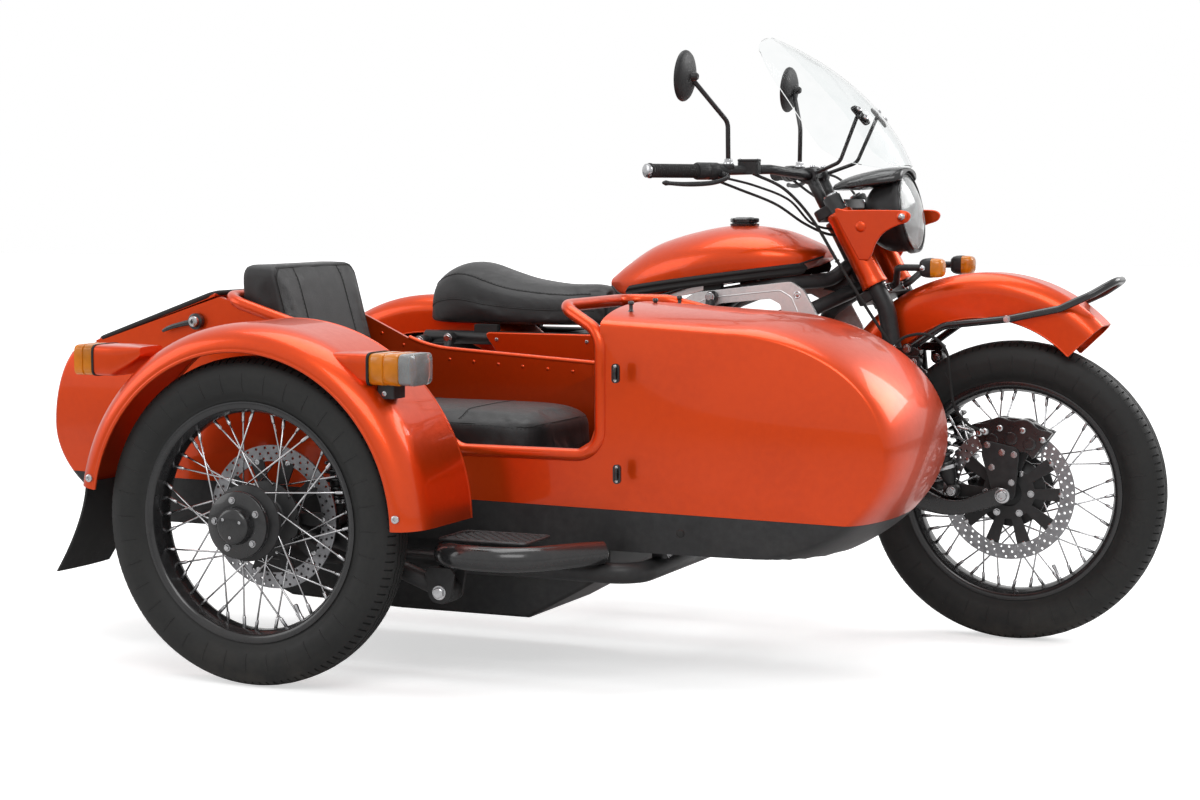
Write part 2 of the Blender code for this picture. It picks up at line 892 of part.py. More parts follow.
def make_headlamp(hang):
    """The headlamp's bowl, and the lens that closes it."""
    wall = lamp_wall
    bowl = [(0.0, -lamp_depth), (lamp_radius * 0.55, -lamp_depth * 0.92),
            (lamp_radius * 0.86, -lamp_depth * 0.60),
            (lamp_radius * 0.94, -bezel_depth), (lamp_radius, -bezel_depth), (lamp_radius, 0.0),
            (lamp_radius - wall, 0.0), (lamp_radius * 0.94 - wall, -bezel_depth - wall),
            (lamp_radius * 0.86 - wall, -lamp_depth * 0.60), (lamp_radius * 0.55 - wall,
                                                              -lamp_depth * 0.92 + wall),
            (0.0, -lamp_depth + wall)]
    pieces = [turned(bowl, lamp_matrix(), 20)]
    ear_face = leg_spread + shroud_radius - ear_thickness - seat_gap
    for sign in (-1.0, 1.0):
        pieces.append(rod((wheelbase + lamp_pin_x, sign * lamp_pin_start, lamp_pin_z),
                          (wheelbase + lamp_pin_x, sign * ear_face, lamp_pin_z), lamp_pin_radius, 10))
    finish("headlamp_shell", fuse(pieces), "black", hang)
    edge = lamp_radius - wall - seat_gap
    bead = edge * 0.985
    steps = 3
    outer = []
    inner = []
    for step in range(steps + 1):
        share = step / steps
        lift = lens_bulge * (1 - share * share)
        outer.append((edge * share, lift))
        inner.append((bead * share, lift - lens_thickness))
    profile = outer + inner[::-1]
    finish("headlamp_lens", turned(profile, lamp_matrix(), 20), "glass", hang)


def make_cowl(hang):
    """The cowl from the upper yoke to the top of the headlamp."""
    rear = wheelbase + cowl_rear_x
    front = wheelbase + cowl_front_x
    rise = cowl_high_z - cowl_low_z
    sections = []
    for share, low, high, wide in [(0.0, 0.0, 0.35, 0.78), (0.30, 0.0, 0.72, 1.0), (0.65, 0.12, 0.95, 1.0),
                                   (1.0, 0.32, 1.0, 0.80)]:
        x = rear + share * (front - rear)
        bottom = cowl_low_z + low * rise
        top = cowl_low_z + high * rise
        half = wide * cowl_half_width
        ring = [(x, -half, bottom)]
        for step in range(7):
            angle = math.pi * step / 6
            ring.append((x, -half * math.cos(angle),
                         bottom + (top - bottom) * (0.35 + 0.65 * math.sin(angle))))
        ring.append((x, half, bottom))
        sections.append(ring)
    finish("instrument_cowl", cut(loft(sections), [lamp_solid(seat_gap)]), "black", hang)


def bar_points(sign):
    """The handlebar's centre line on one side, from the clamp outwards."""
    return [Vector((bar_rise_x, sign * bar_rise_y, bar_rise_z)),
            Vector((grip_inner_x, sign * grip_inner_y, grip_z)),
            Vector((grip_outer_x, sign * grip_outer_y, grip_z))]


def make_handlebar(hang):
    """The bar with its risers, grips, switches, levers and the reservoir."""
    left, right = bar_points(1.0), bar_points(-1.0)
    clamp = [Vector((axis_x(bar_clamp_z), sign * riser_spread, bar_clamp_z)) for sign in (-1.0, 1.0)]
    path = [right[2], right[1], right[0], clamp[0], clamp[1], left[0], left[1], left[2]]
    pieces = [tube(path, bar_radius, bar_bend, 10)]
    for sign, points in ((-1.0, right), (1.0, left)):
        heading = (points[2] - points[1]).normalized()
        pieces.append(rod(points[1], points[2] + heading * axle_end, grip_radius, 12))
        pieces.append(rod(points[1] - heading * switch_length, points[1] + heading * axle_end,
                          switch_radius, 10))
        top = clamp[0] if sign < 0 else clamp[1]
        foot = axis_point(upper_clamp_z) + Vector((0.0, top.y, 0.0))
        pieces.append(rod(foot + steering_axis * (clamp_thickness / 2 + seat_gap), top, riser_radius, 10))
        perch = points[1] - heading * switch_length * 0.8
        lever = [perch, perch + Vector((lever_drop * 1.4, 0.0, -lever_drop * 0.5)),
                 points[1] + Vector((lever_drop * 1.2, 0.0, -lever_drop)),
                 points[2] + Vector((lever_drop * 1.1, 0.0, -lever_drop))]
        pieces.append(tube(lever, lever_radius, lever_drop * 0.4, 5))
    cup = points_on_bar(right, reservoir_share)
    half = reservoir_size / 2
    pieces.append(box((cup.x - half, cup.x + half), (cup.y - half * 0.7, cup.y + half * 0.7),
                      (cup.z - bar_radius, cup.z - bar_radius + reservoir_height)))
    for sign in (-1.0, 1.0):
        pieces += make_stay(sign)
    finish("handlebar", fuse(pieces), "black", hang)


def points_on_bar(points, share):
    """A point on the sloping stretch of the bar."""
    return points[0] + (points[1] - points[0]) * share


def screen_point(height, across):
    """A point of the windscreen's front face."""
    low = Vector((wheelbase + screen_low_x, 0.0, screen_low_z))
    middle = Vector((wheelbase + screen_mid_x, 0.0, screen_mid_z))
    top = Vector((wheelbase + screen_top_x, 0.0, screen_top_z))
    spine = low * (1 - height) ** 2 + middle * 2 * height * (1 - height) + top * height ** 2
    share = across / screen_half_width
    return spine + Vector((-screen_sweep * share * share, across, -screen_sweep * 0.25 * share * share))


def screen_rows():
    """The corners of the windscreen's front face, row by row from its foot."""
    rows = []
    for height, wide in screen_outline_shares:
        shares = [column / screen_column_count * 2 - 1 for column in range(screen_column_count + 1)]
        rows.append([screen_point(height, share * wide * screen_half_width) for share in shares])
    return rows


def make_stay(sign):
    """A rod from the bar to the pad that holds the windscreen."""
    rows = screen_rows()
    column = pad_column_number if sign > 0.0 else screen_column_count - pad_column_number - 1
    corners = [rows[pad_row_number][column], rows[pad_row_number][column + 1],
               rows[pad_row_number + 1][column + 1],
               rows[pad_row_number + 1][column]]
    pad = sum(corners, Vector()) / len(corners)
    facing = (corners[2] - corners[0]).cross(corners[3] - corners[1]).normalized()
    if facing.x > 0.0:
        facing = -facing
    behind = pad + facing * pad_thickness * 1.3
    foot = Vector((axis_x(bar_clamp_z), sign * riser_spread, bar_clamp_z))
    rod_path = [foot, foot + Vector((pad_length * 0.9, sign * pad_width, pad_length * 0.35)), behind]
    plate = rod(pad + facing * screen_thickness / 2, pad + facing * pad_thickness * 1.6, pad_width / 2, 8)
    return [largest(cut(plate, [swollen("windscreen")])), tube(rod_path, stay_radius, pad_width, 5)]


def make_screen(hang):
    """The windscreen, a curved sheet of one thickness."""
    columns = screen_column_count
    front = screen_rows()
    back = [[corner + Vector((-screen_thickness * 0.9, 0.0,
                              -screen_thickness * 0.5)) for corner in row] for row in front]
    vertices = [corner for sheet_rows in (front, back) for row in sheet_rows for corner in row]
    rows = len(front)
    wide = columns + 1
    shift = rows * wide
    faces = []
    for row in range(rows - 1):
        for column in range(columns):
            first = row * wide + column
            quad = [first, first + 1, first + wide + 1, first + wide]
            faces.append(quad)
            faces.append([shift + corner for corner in reversed(quad)])
    border = [column for column in range(columns)]
    border += [row * wide + columns for row in range(rows - 1)]
    border += [(rows - 1) * wide + column for column in range(columns, 0, -1)]
    border += [row * wide for row in range(rows - 1, 0, -1)]
    for place, corner in enumerate(border):
        following = border[(place + 1) % len(border)]
        faces.append([corner, shift + corner, shift + following, following])
    finish("windscreen", solid(vertices, faces), "glass", hang)


def make_mirror(name, sign, hang):
    """A round mirror on its bent stem, standing on the bar."""
    base = points_on_bar(bar_points(sign), mirror_share)
    foot = base + Vector((0.0, 0.0, bar_radius + seat_gap))
    head = Vector((mirror_head_x, sign * mirror_head_y, mirror_head_z))
    knee = foot + Vector((0.0, sign * 0.004, mirror_radius * 1.7))
    stem = tube([foot, knee, head], mirror_stem_radius, mirror_radius * 0.5, 6)
    nut = rod(foot, foot + Vector((0.0, 0.0, mirror_radius * 0.4)), mirror_stem_radius * 1.9, 6)
    facing = Vector((-1.0, 0.0, 0.08))
    shell = turned([(0.0, -mirror_thickness * 1.2), (mirror_radius * 0.5, -mirror_thickness),
                    (mirror_radius, 0.0), (mirror_radius * 0.97, mirror_thickness * 0.5),
                    (0.0, mirror_thickness * 0.5)], along(head, facing), 16)
    finish(name, fuse([shell, stem, nut]), "black", hang)


def arched_sheet(centre, radius, start, end, width, skirt, steps, middle_y=0.0):
    """A fender: a rounded channel of sheet swept round an arc."""
    half = width / 2
    round_radius = half * 0.55
    outline = [(-half, -skirt - round_radius)]
    for step in range(4):
        angle = math.pi / 2 * step / 3
        outline.append((-half + round_radius * (1 - math.cos(angle)),
                        -round_radius * (1 - math.sin(angle))))
    outline += [(-y, depth) for y, depth in reversed(outline)]
    inner = []
    for y, depth in reversed(outline):
        share = y / half
        inner.append((y - math.copysign(sheet, share) * min(1.0, abs(share) * 1.4),
                      depth - sheet * (1 - share ** 4)))
    ring = outline + inner
    sections = []
    for step in range(steps + 1):
        angle = start + (end - start) * step / steps
        sections.append([(centre[0] + (radius + depth) * math.cos(angle), middle_y + y,
                          centre[1] + (radius + depth) * math.sin(angle)) for y, depth in ring])
    return loft(sections)


def make_front_fender(hang):
    """The fender held high on the fork, and the tubular bar round it."""
    centre = (wheelbase + front_fender_x, front_fender_z)
    arch = arched_sheet(centre, front_fender_radius, front_fender_start, front_fender_end,
                        front_fender_width,
                        front_fender_skirt, 14)
    finish("front_fender", arch, "paint", hang)
    side = []
    rear_x = link_pivot_x - (leg_straight_z - link_pivot_z) * leg_slope + leg_radius + fender_bar_radius
    tip_x = centre[0] + front_fender_radius * 0.79
    tip_z = centre[1] + front_fender_radius * 0.96
    path_shares = [(0.0, 0.0), (0.18, 0.36), (0.50, 0.47), (0.75, 0.62), (0.90, 0.82), (1.0, 1.0)]
    low_z = shock_top_z + shock_eye_radius + seat_gap + lug_thickness / 2
    for along_share, up_share in path_shares:
        side.append((rear_x + along_share * (tip_x - rear_x), low_z + up_share * (tip_z - low_z)))
    spread = [leg_spread, fender_bar_spread, fender_bar_spread, fender_bar_spread * 0.94,
              fender_bar_spread * 0.9,
              fender_bar_spread * 0.6]
    right = [Vector((x, -y, z)) for (x, z), y in zip(side, spread)]
    left = [Vector((x, y, z)) for (x, z), y in zip(side, spread)]
    pieces = [tube(right + left[::-1], fender_bar_radius, fender_bar_bend, 6)]
    grip_x = side[0][0] + path_shares[2][0] * (tip_x - rear_x)
    grip_z = side[2][1]
    for sign in (-1.0, 1.0):
        edges = sorted((sign * (front_fender_width / 2 - sheet / 2), sign * fender_bar_spread))
        pieces.append(box((grip_x - axle_end, grip_x + axle_end), edges,
                          (grip_z - axle_end / 2, grip_z + axle_end / 2)))
    bar = cut(fuse(pieces), [swollen("fork"), swollen("front_fender")])
    finish("fender_bar", largest(bar), "black", hang)


def make_link(hang):
    """The leading link: cheeks, webs, pivot pins, the axle and the caliper on its bracket."""
    pieces = []
    middle_x = (link_pivot_x + wheelbase) / 2
    low = min(link_pivot_z, tyre_radius)
    cheek = []
    top = [(link_pivot_x - link_depth / 2, link_pivot_z + link_depth / 2),
           (link_pivot_x - link_depth, link_pivot_z)]
    under = [(link_pivot_x - link_depth * 0.6, link_pivot_z - link_depth), (middle_x, low - link_sag),
             (wheelbase - link_depth * 0.4, tyre_radius - link_depth * 0.8)]
    nose = [(wheelbase + link_depth * 0.6, tyre_radius - link_depth * 0.4),
            (wheelbase + link_depth * 0.6, tyre_radius + link_depth * 0.4),
            (wheelbase - link_depth * 0.3, tyre_radius + link_depth * 0.7),
            (middle_x, low - link_sag + link_depth),
            (link_pivot_x + link_depth, link_pivot_z + link_depth / 3)]
    cheek = top + under + nose
    web = [(link_pivot_x + link_depth * 1.2, link_pivot_z - link_depth * 1.3), (middle_x, low - link_sag),
           (wheelbase - link_depth * 0.4, tyre_radius - link_depth * 0.8),
           (wheelbase - link_depth * 0.4, tyre_radius - link_depth * 0.3),
           (middle_x, low - link_sag + link_depth * 0.35), (link_pivot_x + link_depth * 1.2,
                                                            link_pivot_z - link_depth * 0.95)]
    for sign in (-1.0, 1.0):
        y = sign * leg_spread
        half = link_width / 2
        for edge in (y - half, y + half - link_cheek):
            pieces.append(slab(cheek, edge, edge + link_cheek))
        pieces.append(slab(web, y - half + link_cheek / 2, y + half - link_cheek / 2))
    axle = rod((wheelbase, -link_outer - axle_end, tyre_radius),
               (wheelbase, link_outer + axle_end, tyre_radius),
               axle_radius)
    pieces.insert(0, axle)
    pieces += make_caliper()
    finish("leading_link", fuse(pieces), "black", hang)


def sector(inner, outer, middle, span, steps=6):
    """The outline of a ring's sector about the front axle."""
    points = []
    for radius, order in ((outer, range(steps + 1)), (inner, range(steps, -1, -1))):
        for step in order:
            angle = middle - span / 2 + span * step / steps
            points.append((wheelbase + radius * math.cos(angle), tyre_radius + radius * math.sin(angle)))
    return points


def make_caliper():
    """The caliper that straddles the disc, and the bracket that holds it to the link."""
    middle_y = -disc_offset
    outer_y = middle_y - caliper_width / 2
    body = slab(sector(caliper_inner_radius, caliper_outer_radius, caliper_middle, caliper_span), outer_y,
                middle_y + caliper_width / 2)
    slot = slab(sector(caliper_inner_radius - overrun, disc_radius + axle_end, caliper_middle,
                       caliper_span * 1.4),
                middle_y - caliper_slot / 2, middle_y + caliper_slot / 2)
    body = cut(body, [slot])
    bracket = slab([(wheelbase - link_depth * 0.9, tyre_radius - link_depth * 0.5),
                    (wheelbase + link_depth * 0.7, tyre_radius - link_depth * 0.4),
                    (wheelbase + link_depth, tyre_radius + caliper_inner_radius * 1.08),
                    (wheelbase - link_depth * 1.8, tyre_radius + caliper_inner_radius * 1.25),
                    (wheelbase - link_depth * 1.9, tyre_radius + caliper_inner_radius * 0.9)],
                   outer_y - bracket_thickness / 2, outer_y + bracket_thickness / 2)
    return [bracket, body]


def shock(start, end, spring_radius, can_radius, coils):
    """A spring over its damper, between two eyes across the machine."""
    start, end = Vector(start), Vector(end)
    length = (end - start).length
    eye = shock_eye_radius
    top = length - eye
    spring_low = length * 0.18
    spring_high = length * 0.74
    profile = [(0.0, eye * 0.5), (shock_rod_radius * 1.4, eye * 0.5),
               (shock_rod_radius * 1.4, spring_low * 0.8),
               (can_radius, spring_low * 0.8), (can_radius, spring_low)]
    pitch = (spring_high - spring_low) / coils
    for coil in range(coils):
        base = spring_low + coil * pitch
        profile += [(spring_radius * 0.72, base + pitch * 0.12), (spring_radius, base + pitch * 0.50)]
    profile += [(spring_radius * 0.72, spring_high), (can_radius, spring_high + pitch * 0.3),
                (can_radius, top),
                (shock_rod_radius, top + eye * 0.4), (0.0, top + eye * 0.4)]
    body = turned(profile, along(start, end - start), shock_sides)
    pieces = [body]
    for centre in (start, end):
        pieces.append(rod(centre + Vector((0.0, -eye, 0.0)), centre + Vector((0.0, eye, 0.0)), eye,
                          shock_sides - 1))
    return fuse(pieces)


def make_front_shocks(hang):
    """The two shocks between the legs' brackets and the leading link."""
    for side in ("right", "left"):
        y = side_sign(side) * leg_spread
        low = (wheelbase + shock_foot_x, y, shock_foot_z)
        high = (wheelbase + shock_top_x, y, shock_top_z)
        thing = shock(low, high, shock_spring_radius, shock_can_radius, shock_coils)
        finish("front_shock_" + side, thing, "black", hang)


def make_indicator(name, sign, hang):
    """A front indicator on its stalk from the lower yoke."""
    y = sign * indicator_y
    head = turned([(0.0, -indicator_length * 0.4), (indicator_radius, -indicator_length * 0.4),
                   (indicator_radius, indicator_length * 0.45), (indicator_radius * 0.8,
                                                                 indicator_length * 0.6),
                   (0.0, indicator_length * 0.6)], along((indicator_x, y, indicator_z), (1.0, 0.0, 0.0)),
                  12)
    reach = leg_offset / 2 + clamp_depth / 2 + seat_gap
    foot = axis_point(lower_clamp_z) + axis_forward * reach + Vector((0.0, sign * leg_spread * 0.55, 0.0))
    ahead = foot + axis_forward * stalk_radius * 2
    stalk = tube([foot, ahead, (ahead.x + indicator_radius, y, indicator_z), (indicator_x, y, indicator_z)],
                 stalk_radius, stalk_radius * 2)
    finish(name, fuse([head, stalk]), "amber", hang)


def make_steering(hang):
    """Everything that turns with the fork, apart from the wheel."""
    make_fork(hang)
    make_ear("headlamp_ear_right", -1.0, hang)
    make_ear("headlamp_ear_left", 1.0, hang)
    make_headlamp(hang)
    make_cowl(hang)
    make_screen(hang)
    make_handlebar(hang)
    make_mirror("mirror_right", -1.0, hang)
    make_mirror("mirror_left", 1.0, hang)
    make_front_fender(hang)
    make_link(hang)
    make_front_shocks(hang)
    make_indicator("indicator_right", -1.0, hang)
    make_indicator("indicator_left", 1.0, hang)
    make_hose(hang)


# Motorcycle pieces

def make_main_frame(hang):
    """The tubular frame: steering head, backbone, side rails, down tubes, cradle and seat rails."""
    top = axis_point(head_top_z)
    bottom = axis_point(head_bottom_z)
    head = rod(bottom, top, head_radius)
    root = bottom + (top - bottom) * 0.45
    pieces = [head]
    for sign in (-1.0, 1.0):
        y = sign * frame_half_width
        neck_x = axis_x(rail_knee_z) - neck_back
        rail = [root, (neck_x, sign * neck_half_width, rail_knee_z + frame_radius * 1.6),
                (neck_x - neck_back, y, rail_knee_z + frame_radius * 1.2),
                (rail_knee_x, y, rail_knee_z - frame_radius),
                (rail_rise_x, y, seat_rail_z + frame_radius), (cover_front_x, y, seat_rail_z),
                (seat_rail_rear_x, y, seat_rail_z)]
        pieces.append(tube(rail, frame_radius, frame_bend, tube_sides, 2))
        pieces.append(tube([bottom + (top - bottom) * 0.12, (down_tube_foot_x + overrun, y, battery_high_z),
                            (down_tube_foot_x, y, cradle_z), (cradle_rear_x, y, cradle_z),
                            (upright_x, y, seat_rail_z)], frame_radius, frame_bend, tube_sides, 2))
    for x, z in ((down_tube_foot_x, cradle_z + frame_bend), (cradle_rear_x + frame_bend, cradle_z),
                 (upright_x, seat_rail_z)):
        pieces.append(rod((x, -frame_half_width, z), (x, frame_half_width, z), cross_tube_radius,
                          tube_sides))
    for sign in (-1.0, 1.0):
        pieces.append(rod((rear_shock_x, sign * frame_half_width, rear_shock_top_z),
                          (rear_shock_x, sign * (rear_shock_y - shock_eye_radius - seat_gap),
                           rear_shock_top_z),
                          shock_pin_radius, tube_sides))
    frame = fuse(pieces)
    reach = steering_axis * overrun
    frame = cut(frame, [rod(bottom - reach, top + reach, stem_radius + stem_clearance)])
    finish("main_frame", frame, "black", hang)


def make_battery(hang):
    """The battery case between the down tubes, on feet over the cradle."""
    half = battery_half_width
    case = box((battery_rear_x, battery_front_x), (-half, half), (battery_low_z, battery_high_z))
    feet = []
    for x in (battery_rear_x + battery_frame_band, battery_front_x - battery_frame_band):
        for reach, top in ((half * 0.9, battery_low_z + battery_edge),
                           (battery_foot_half, battery_low_z - seat_gap)):
            feet.append(box((x - battery_edge, x + battery_edge), (-reach, reach),
                            (cradle_z + battery_edge, top)))
    case = cut(fuse([case] + feet), [swollen("main_frame")])
    finish("battery_case", case, "black", hang)


# x and z of the corners of the cast frames' outer edge and of their window
battery_frame_edge = [(0.600, 0.286), (0.880, 0.272), (0.962, 0.330), (1.052, 0.600), (1.082, 0.699),
                      (1.023, 0.803),
                      (0.991, 0.823), (0.753, 0.794), (0.638, 0.725), (0.594, 0.600)]
battery_frame_window = [(0.640, 0.330), (0.862, 0.318), (0.916, 0.360), (0.980, 0.600), (0.985, 0.697),
                        (0.966, 0.770), (0.942, 0.782), (0.817, 0.769), (0.700, 0.722), (0.640, 0.600)]


def make_battery_frames(hang):
    """The cast frames outside the rails that hold the battery."""
    for side in ("right", "left"):
        sign = side_sign(side)
        near = frame_half_width + frame_radius * math.cos(math.pi / tube_sides)
        low, high = sorted((sign * near, sign * (frame_half_width + frame_radius + battery_frame_depth)))
        ring = cut(slab(battery_frame_edge, low, high), [slab(battery_frame_window, low - overrun,
                                                              high + overrun)])
        cutters = [swollen("main_frame")]
        if side == "right":
            edge = Vector((front_strut_x, 0.0, front_strut_z))
            reach = Vector((0.0, frame_half_width + overrun * 3, 0.0))
            cutters.append(rod(edge, edge - reach, strut_eye_radius + seat_gap, strut_eye_sides))
        finish("battery_frame_" + side, largest(cut(ring, cutters)), "cast", hang)


def make_motor(hang):
    """The motor behind the battery, one plain drum on its mounting block."""
    drum = rod((motor_x, -motor_half_width, motor_z), (motor_x, motor_half_width, motor_z), motor_radius,
               20)
    block = box((motor_x, battery_rear_x - seat_gap), (-motor_radius * 0.7, motor_radius * 0.7),
                (motor_z - motor_radius * 0.6, motor_z + motor_radius * 0.6))
    finish("motor", fuse([drum, block]), "black", hang)


# length share, half-width share, bottom share, top share of each section of the tank
tank_section_shares = [(0.0, 0.30, 0.20, 0.34), (0.08, 0.52, 0.08, 0.52), (0.22, 0.74, 0.05, 0.76),
                       (0.42, 0.93, 0.20, 0.93), (0.60, 1.0, 0.32, 1.0), (0.78, 0.98, 0.40, 0.95),
                       (0.90, 0.82, 0.48, 0.83), (0.97, 0.54, 0.56, 0.74), (1.0, 0.28, 0.60, 0.68)]


def rounded_ring(x, half, low, high, steps=8, base=0.35):
    """A section across the machine: flat underneath, straight low sides and a domed top."""
    shoulder = low + (high - low) * base
    ring = [(x, -half, low), (x, half, low)]
    for step in range(steps + 1):
        angle = math.pi * step / steps
        ring.append((x, half * math.cos(angle), shoulder + (high - shoulder) * math.sin(angle) ** 0.9))
    return ring


def make_tank(hang):
    """The tank over the frame's side rails, with its filler cap."""
    length = tank_front_x - tank_rear_x
    height = tank_high_z - tank_low_z
    sections = []
    for along_share, wide, low, high in tank_section_shares:
        sections.append(rounded_ring(tank_rear_x + along_share * length, wide * tank_half_width,
                                     tank_low_z + low * height, tank_low_z + high * height))
    tank = loft(sections)
    cap = turned([(0.0, -filler_height), (filler_radius * 0.8, -filler_height),
                  (filler_radius, filler_height * 0.4),
                  (filler_radius * 0.9, filler_height), (0.0, filler_height)],
                 along((filler_x, 0.0, tank_high_z), (0.0, 0.0, 1.0)), 20)
    pieces = [tank, cap]
    for sign in (-1.0, 1.0):
        edges = sorted((sign * (frame_half_width - tank_foot_width / 2),
                        sign * (frame_half_width + tank_foot_width / 2)))
        pieces.append(box((tank_foot_x, tank_foot_x + tank_foot_length), edges,
                          (tank_foot_z, tank_foot_z + tank_foot_length)))
    finish("tank", cut(fuse(pieces), [swollen("main_frame")]), "paint", hang)


# length share, half-width share, top share of each section of the saddle
saddle_section_shares = [(0.0, 0.62, 0.50), (0.05, 0.82, 0.82), (0.14, 0.95, 0.98), (0.24, 1.0, 1.0),
                         (0.38, 1.0, 0.86),
                         (0.52, 1.0, 0.74), (0.72, 0.90, 0.66), (0.90, 0.68, 0.66), (1.0, 0.50, 0.62)]


def arch_solid(centre, radius, start, end, steps, low, high):
    """The solid under an arched sheet, with the sheet's own facets, closed through its centre."""
    outline = [centre]
    for step in range(steps + 1):
        angle = start + (end - start) * step / steps
        outline.append((centre[0] + radius * math.cos(angle), centre[1] + radius * math.sin(angle)))
    return slab(outline, low, high)


def make_saddle(hang):
    """The rider's saddle, raised at the rear."""
    sections = []
    for along_share, wide, high in saddle_section_shares:
        x = saddle_rear_x + along_share * (saddle_front_x - saddle_rear_x)
        top = saddle_base_z + high * (saddle_high_z - saddle_base_z)
        sections.append(rounded_ring(x, wide * saddle_half_width, saddle_base_z, top, 8, 0.45))
    clear = rear_fender_width / 2 + seat_gap
    saddle = cut(loft(sections), [arch_solid((0.0, tyre_radius), rear_fender_radius + seat_gap,
                                             rear_fender_start,
                                             rear_fender_end, rear_fender_steps, -clear, clear)])
    feet = []
    for sign in (-1.0, 1.0):
        edges = sorted((sign * (frame_half_width - saddle_foot / 2),
                        sign * (frame_half_width + saddle_foot / 2)))
        feet.append(box((saddle_foot_x, saddle_foot_x + saddle_foot * 3), edges,
                        (seat_rail_z - frame_radius / 2, saddle_base_z + frame_radius / 2)))
    finish("saddle", cut(fuse([saddle] + feet), [swollen("main_frame")]), "leather", hang)


def make_covers(hang):
    """The panels under the saddle, hung outside the seat rails."""
    outline = [(cover_rear_x, cover_high_z), (cover_front_x, cover_high_z),
               (cover_front_x - cover_thickness, cover_low_z + cover_thickness),
               (cover_front_x - cover_thickness * 4, cover_low_z),
               (cover_rear_x + cover_thickness * 9, cover_low_z),
               (cover_rear_x + cover_thickness * 3, cover_high_z - cover_thickness * 4)]
    for side in ("right", "left"):
        sign = side_sign(side)
        near = sign * (frame_half_width + frame_radius * math.cos(math.pi / tube_sides))
        low, high = sorted((near, sign * (frame_half_width + frame_radius + cover_thickness)))
        cover = largest(cut(slab(outline, low, high), [swollen("main_frame")]))
        finish("side_cover_" + side, cover, "paint", hang)


def make_rear_fender(hang):
    """The rear fender with its tail lamp."""
    arch = arched_sheet((0.0, tyre_radius), rear_fender_radius, rear_fender_start, rear_fender_end,
                        rear_fender_width,
                        rear_fender_skirt, rear_fender_steps)
    pieces = [arch]
    for sign in (-1.0, 1.0):
        for reach, top in ((frame_half_width, seat_rail_z + frame_radius * 0.7),
                           (frame_half_width - frame_radius * 1.4, saddle_base_z - overrun / 10)):
            edges = sorted((sign * (rear_fender_width / 2 - sheet / 2), sign * reach))
            pieces.append(box((stay_x, stay_x + stay_length), edges, (seat_rail_z - frame_radius / 2, top)))
    finish("rear_fender", cut(fuse(pieces), [swollen("main_frame")]), "paint", hang)
    step = (rear_fender_end - rear_fender_start) / rear_fender_steps
    angle = rear_fender_start + step * (tail_lamp_step - 0.5)
    foot = Vector((math.cos(angle), 0.0, math.sin(angle)))
    base = Vector((0.0, 0.0, tyre_radius)) + foot * (rear_fender_radius * math.cos(step / 2) + seat_gap)
    lamp = turned([(0.0, 0.0), (tail_lamp_radius * 0.5, 0.0), (tail_lamp_radius, tail_lamp_depth * 0.5),
                   (tail_lamp_radius, tail_lamp_depth), (0.0, tail_lamp_depth * 1.2)], along(base, foot),
                  16)
    finish("tail_lamp", lamp, "red", hang)


def make_swing_arm(hang):
    """The rear swing arm with the axle, and the final drive on its right."""
    pieces = [rod((0.0, -swing_half_width - axle_end, tyre_radius),
                  (0.0, swing_half_width + axle_end, tyre_radius),
                  axle_radius)]
    for sign in (-1.0, 1.0):
        y = sign * (swing_half_width - swing_radius)
        pieces.append(tube([(-swing_radius, y, tyre_radius), (upright_x * 0.4, y, tyre_radius),
                            (upright_x, y, swing_pivot_z)], swing_radius, frame_bend, 10))
        pin_y = sign * (rear_shock_y - shock_eye_radius - seat_gap)
        pieces.append(rod((rear_shock_x, y, tyre_radius), (rear_shock_x, pin_y, tyre_radius),
                          shock_pin_radius,
                          tube_sides))
    pieces.append(rod((upright_x, -swing_half_width, swing_pivot_z),
                      (upright_x, swing_half_width, swing_pivot_z),
                      swing_radius * 1.1, 12))
    inner = hub_half_width + axle_end
    outer = inner + final_drive_width
    pieces.append(turned([(0.0, inner), (final_drive_radius * 0.9, inner),
                          (final_drive_radius, inner + final_drive_width * 0.15),
                          (final_drive_radius, inner + final_drive_width * 0.5),
                          (final_drive_radius * 0.6, outer),
                          (0.0, outer)], along((0.0, 0.0, tyre_radius), (0.0, -1.0, 0.0)), 16))
    finish("swing_arm", fuse(pieces), "black", hang)


def make_rear_shocks(hang):
    """The rear shocks between the seat rails and the swing arm."""
    for side in ("right", "left"):
        y = side_sign(side) * rear_shock_y
        thing = shock((rear_shock_x, y, tyre_radius), (rear_shock_x, y, rear_shock_top_z),
                      shock_spring_radius,
                      shock_can_radius, shock_coils)
        finish("rear_shock_" + side, thing, "black", hang)


# Sidecar pieces

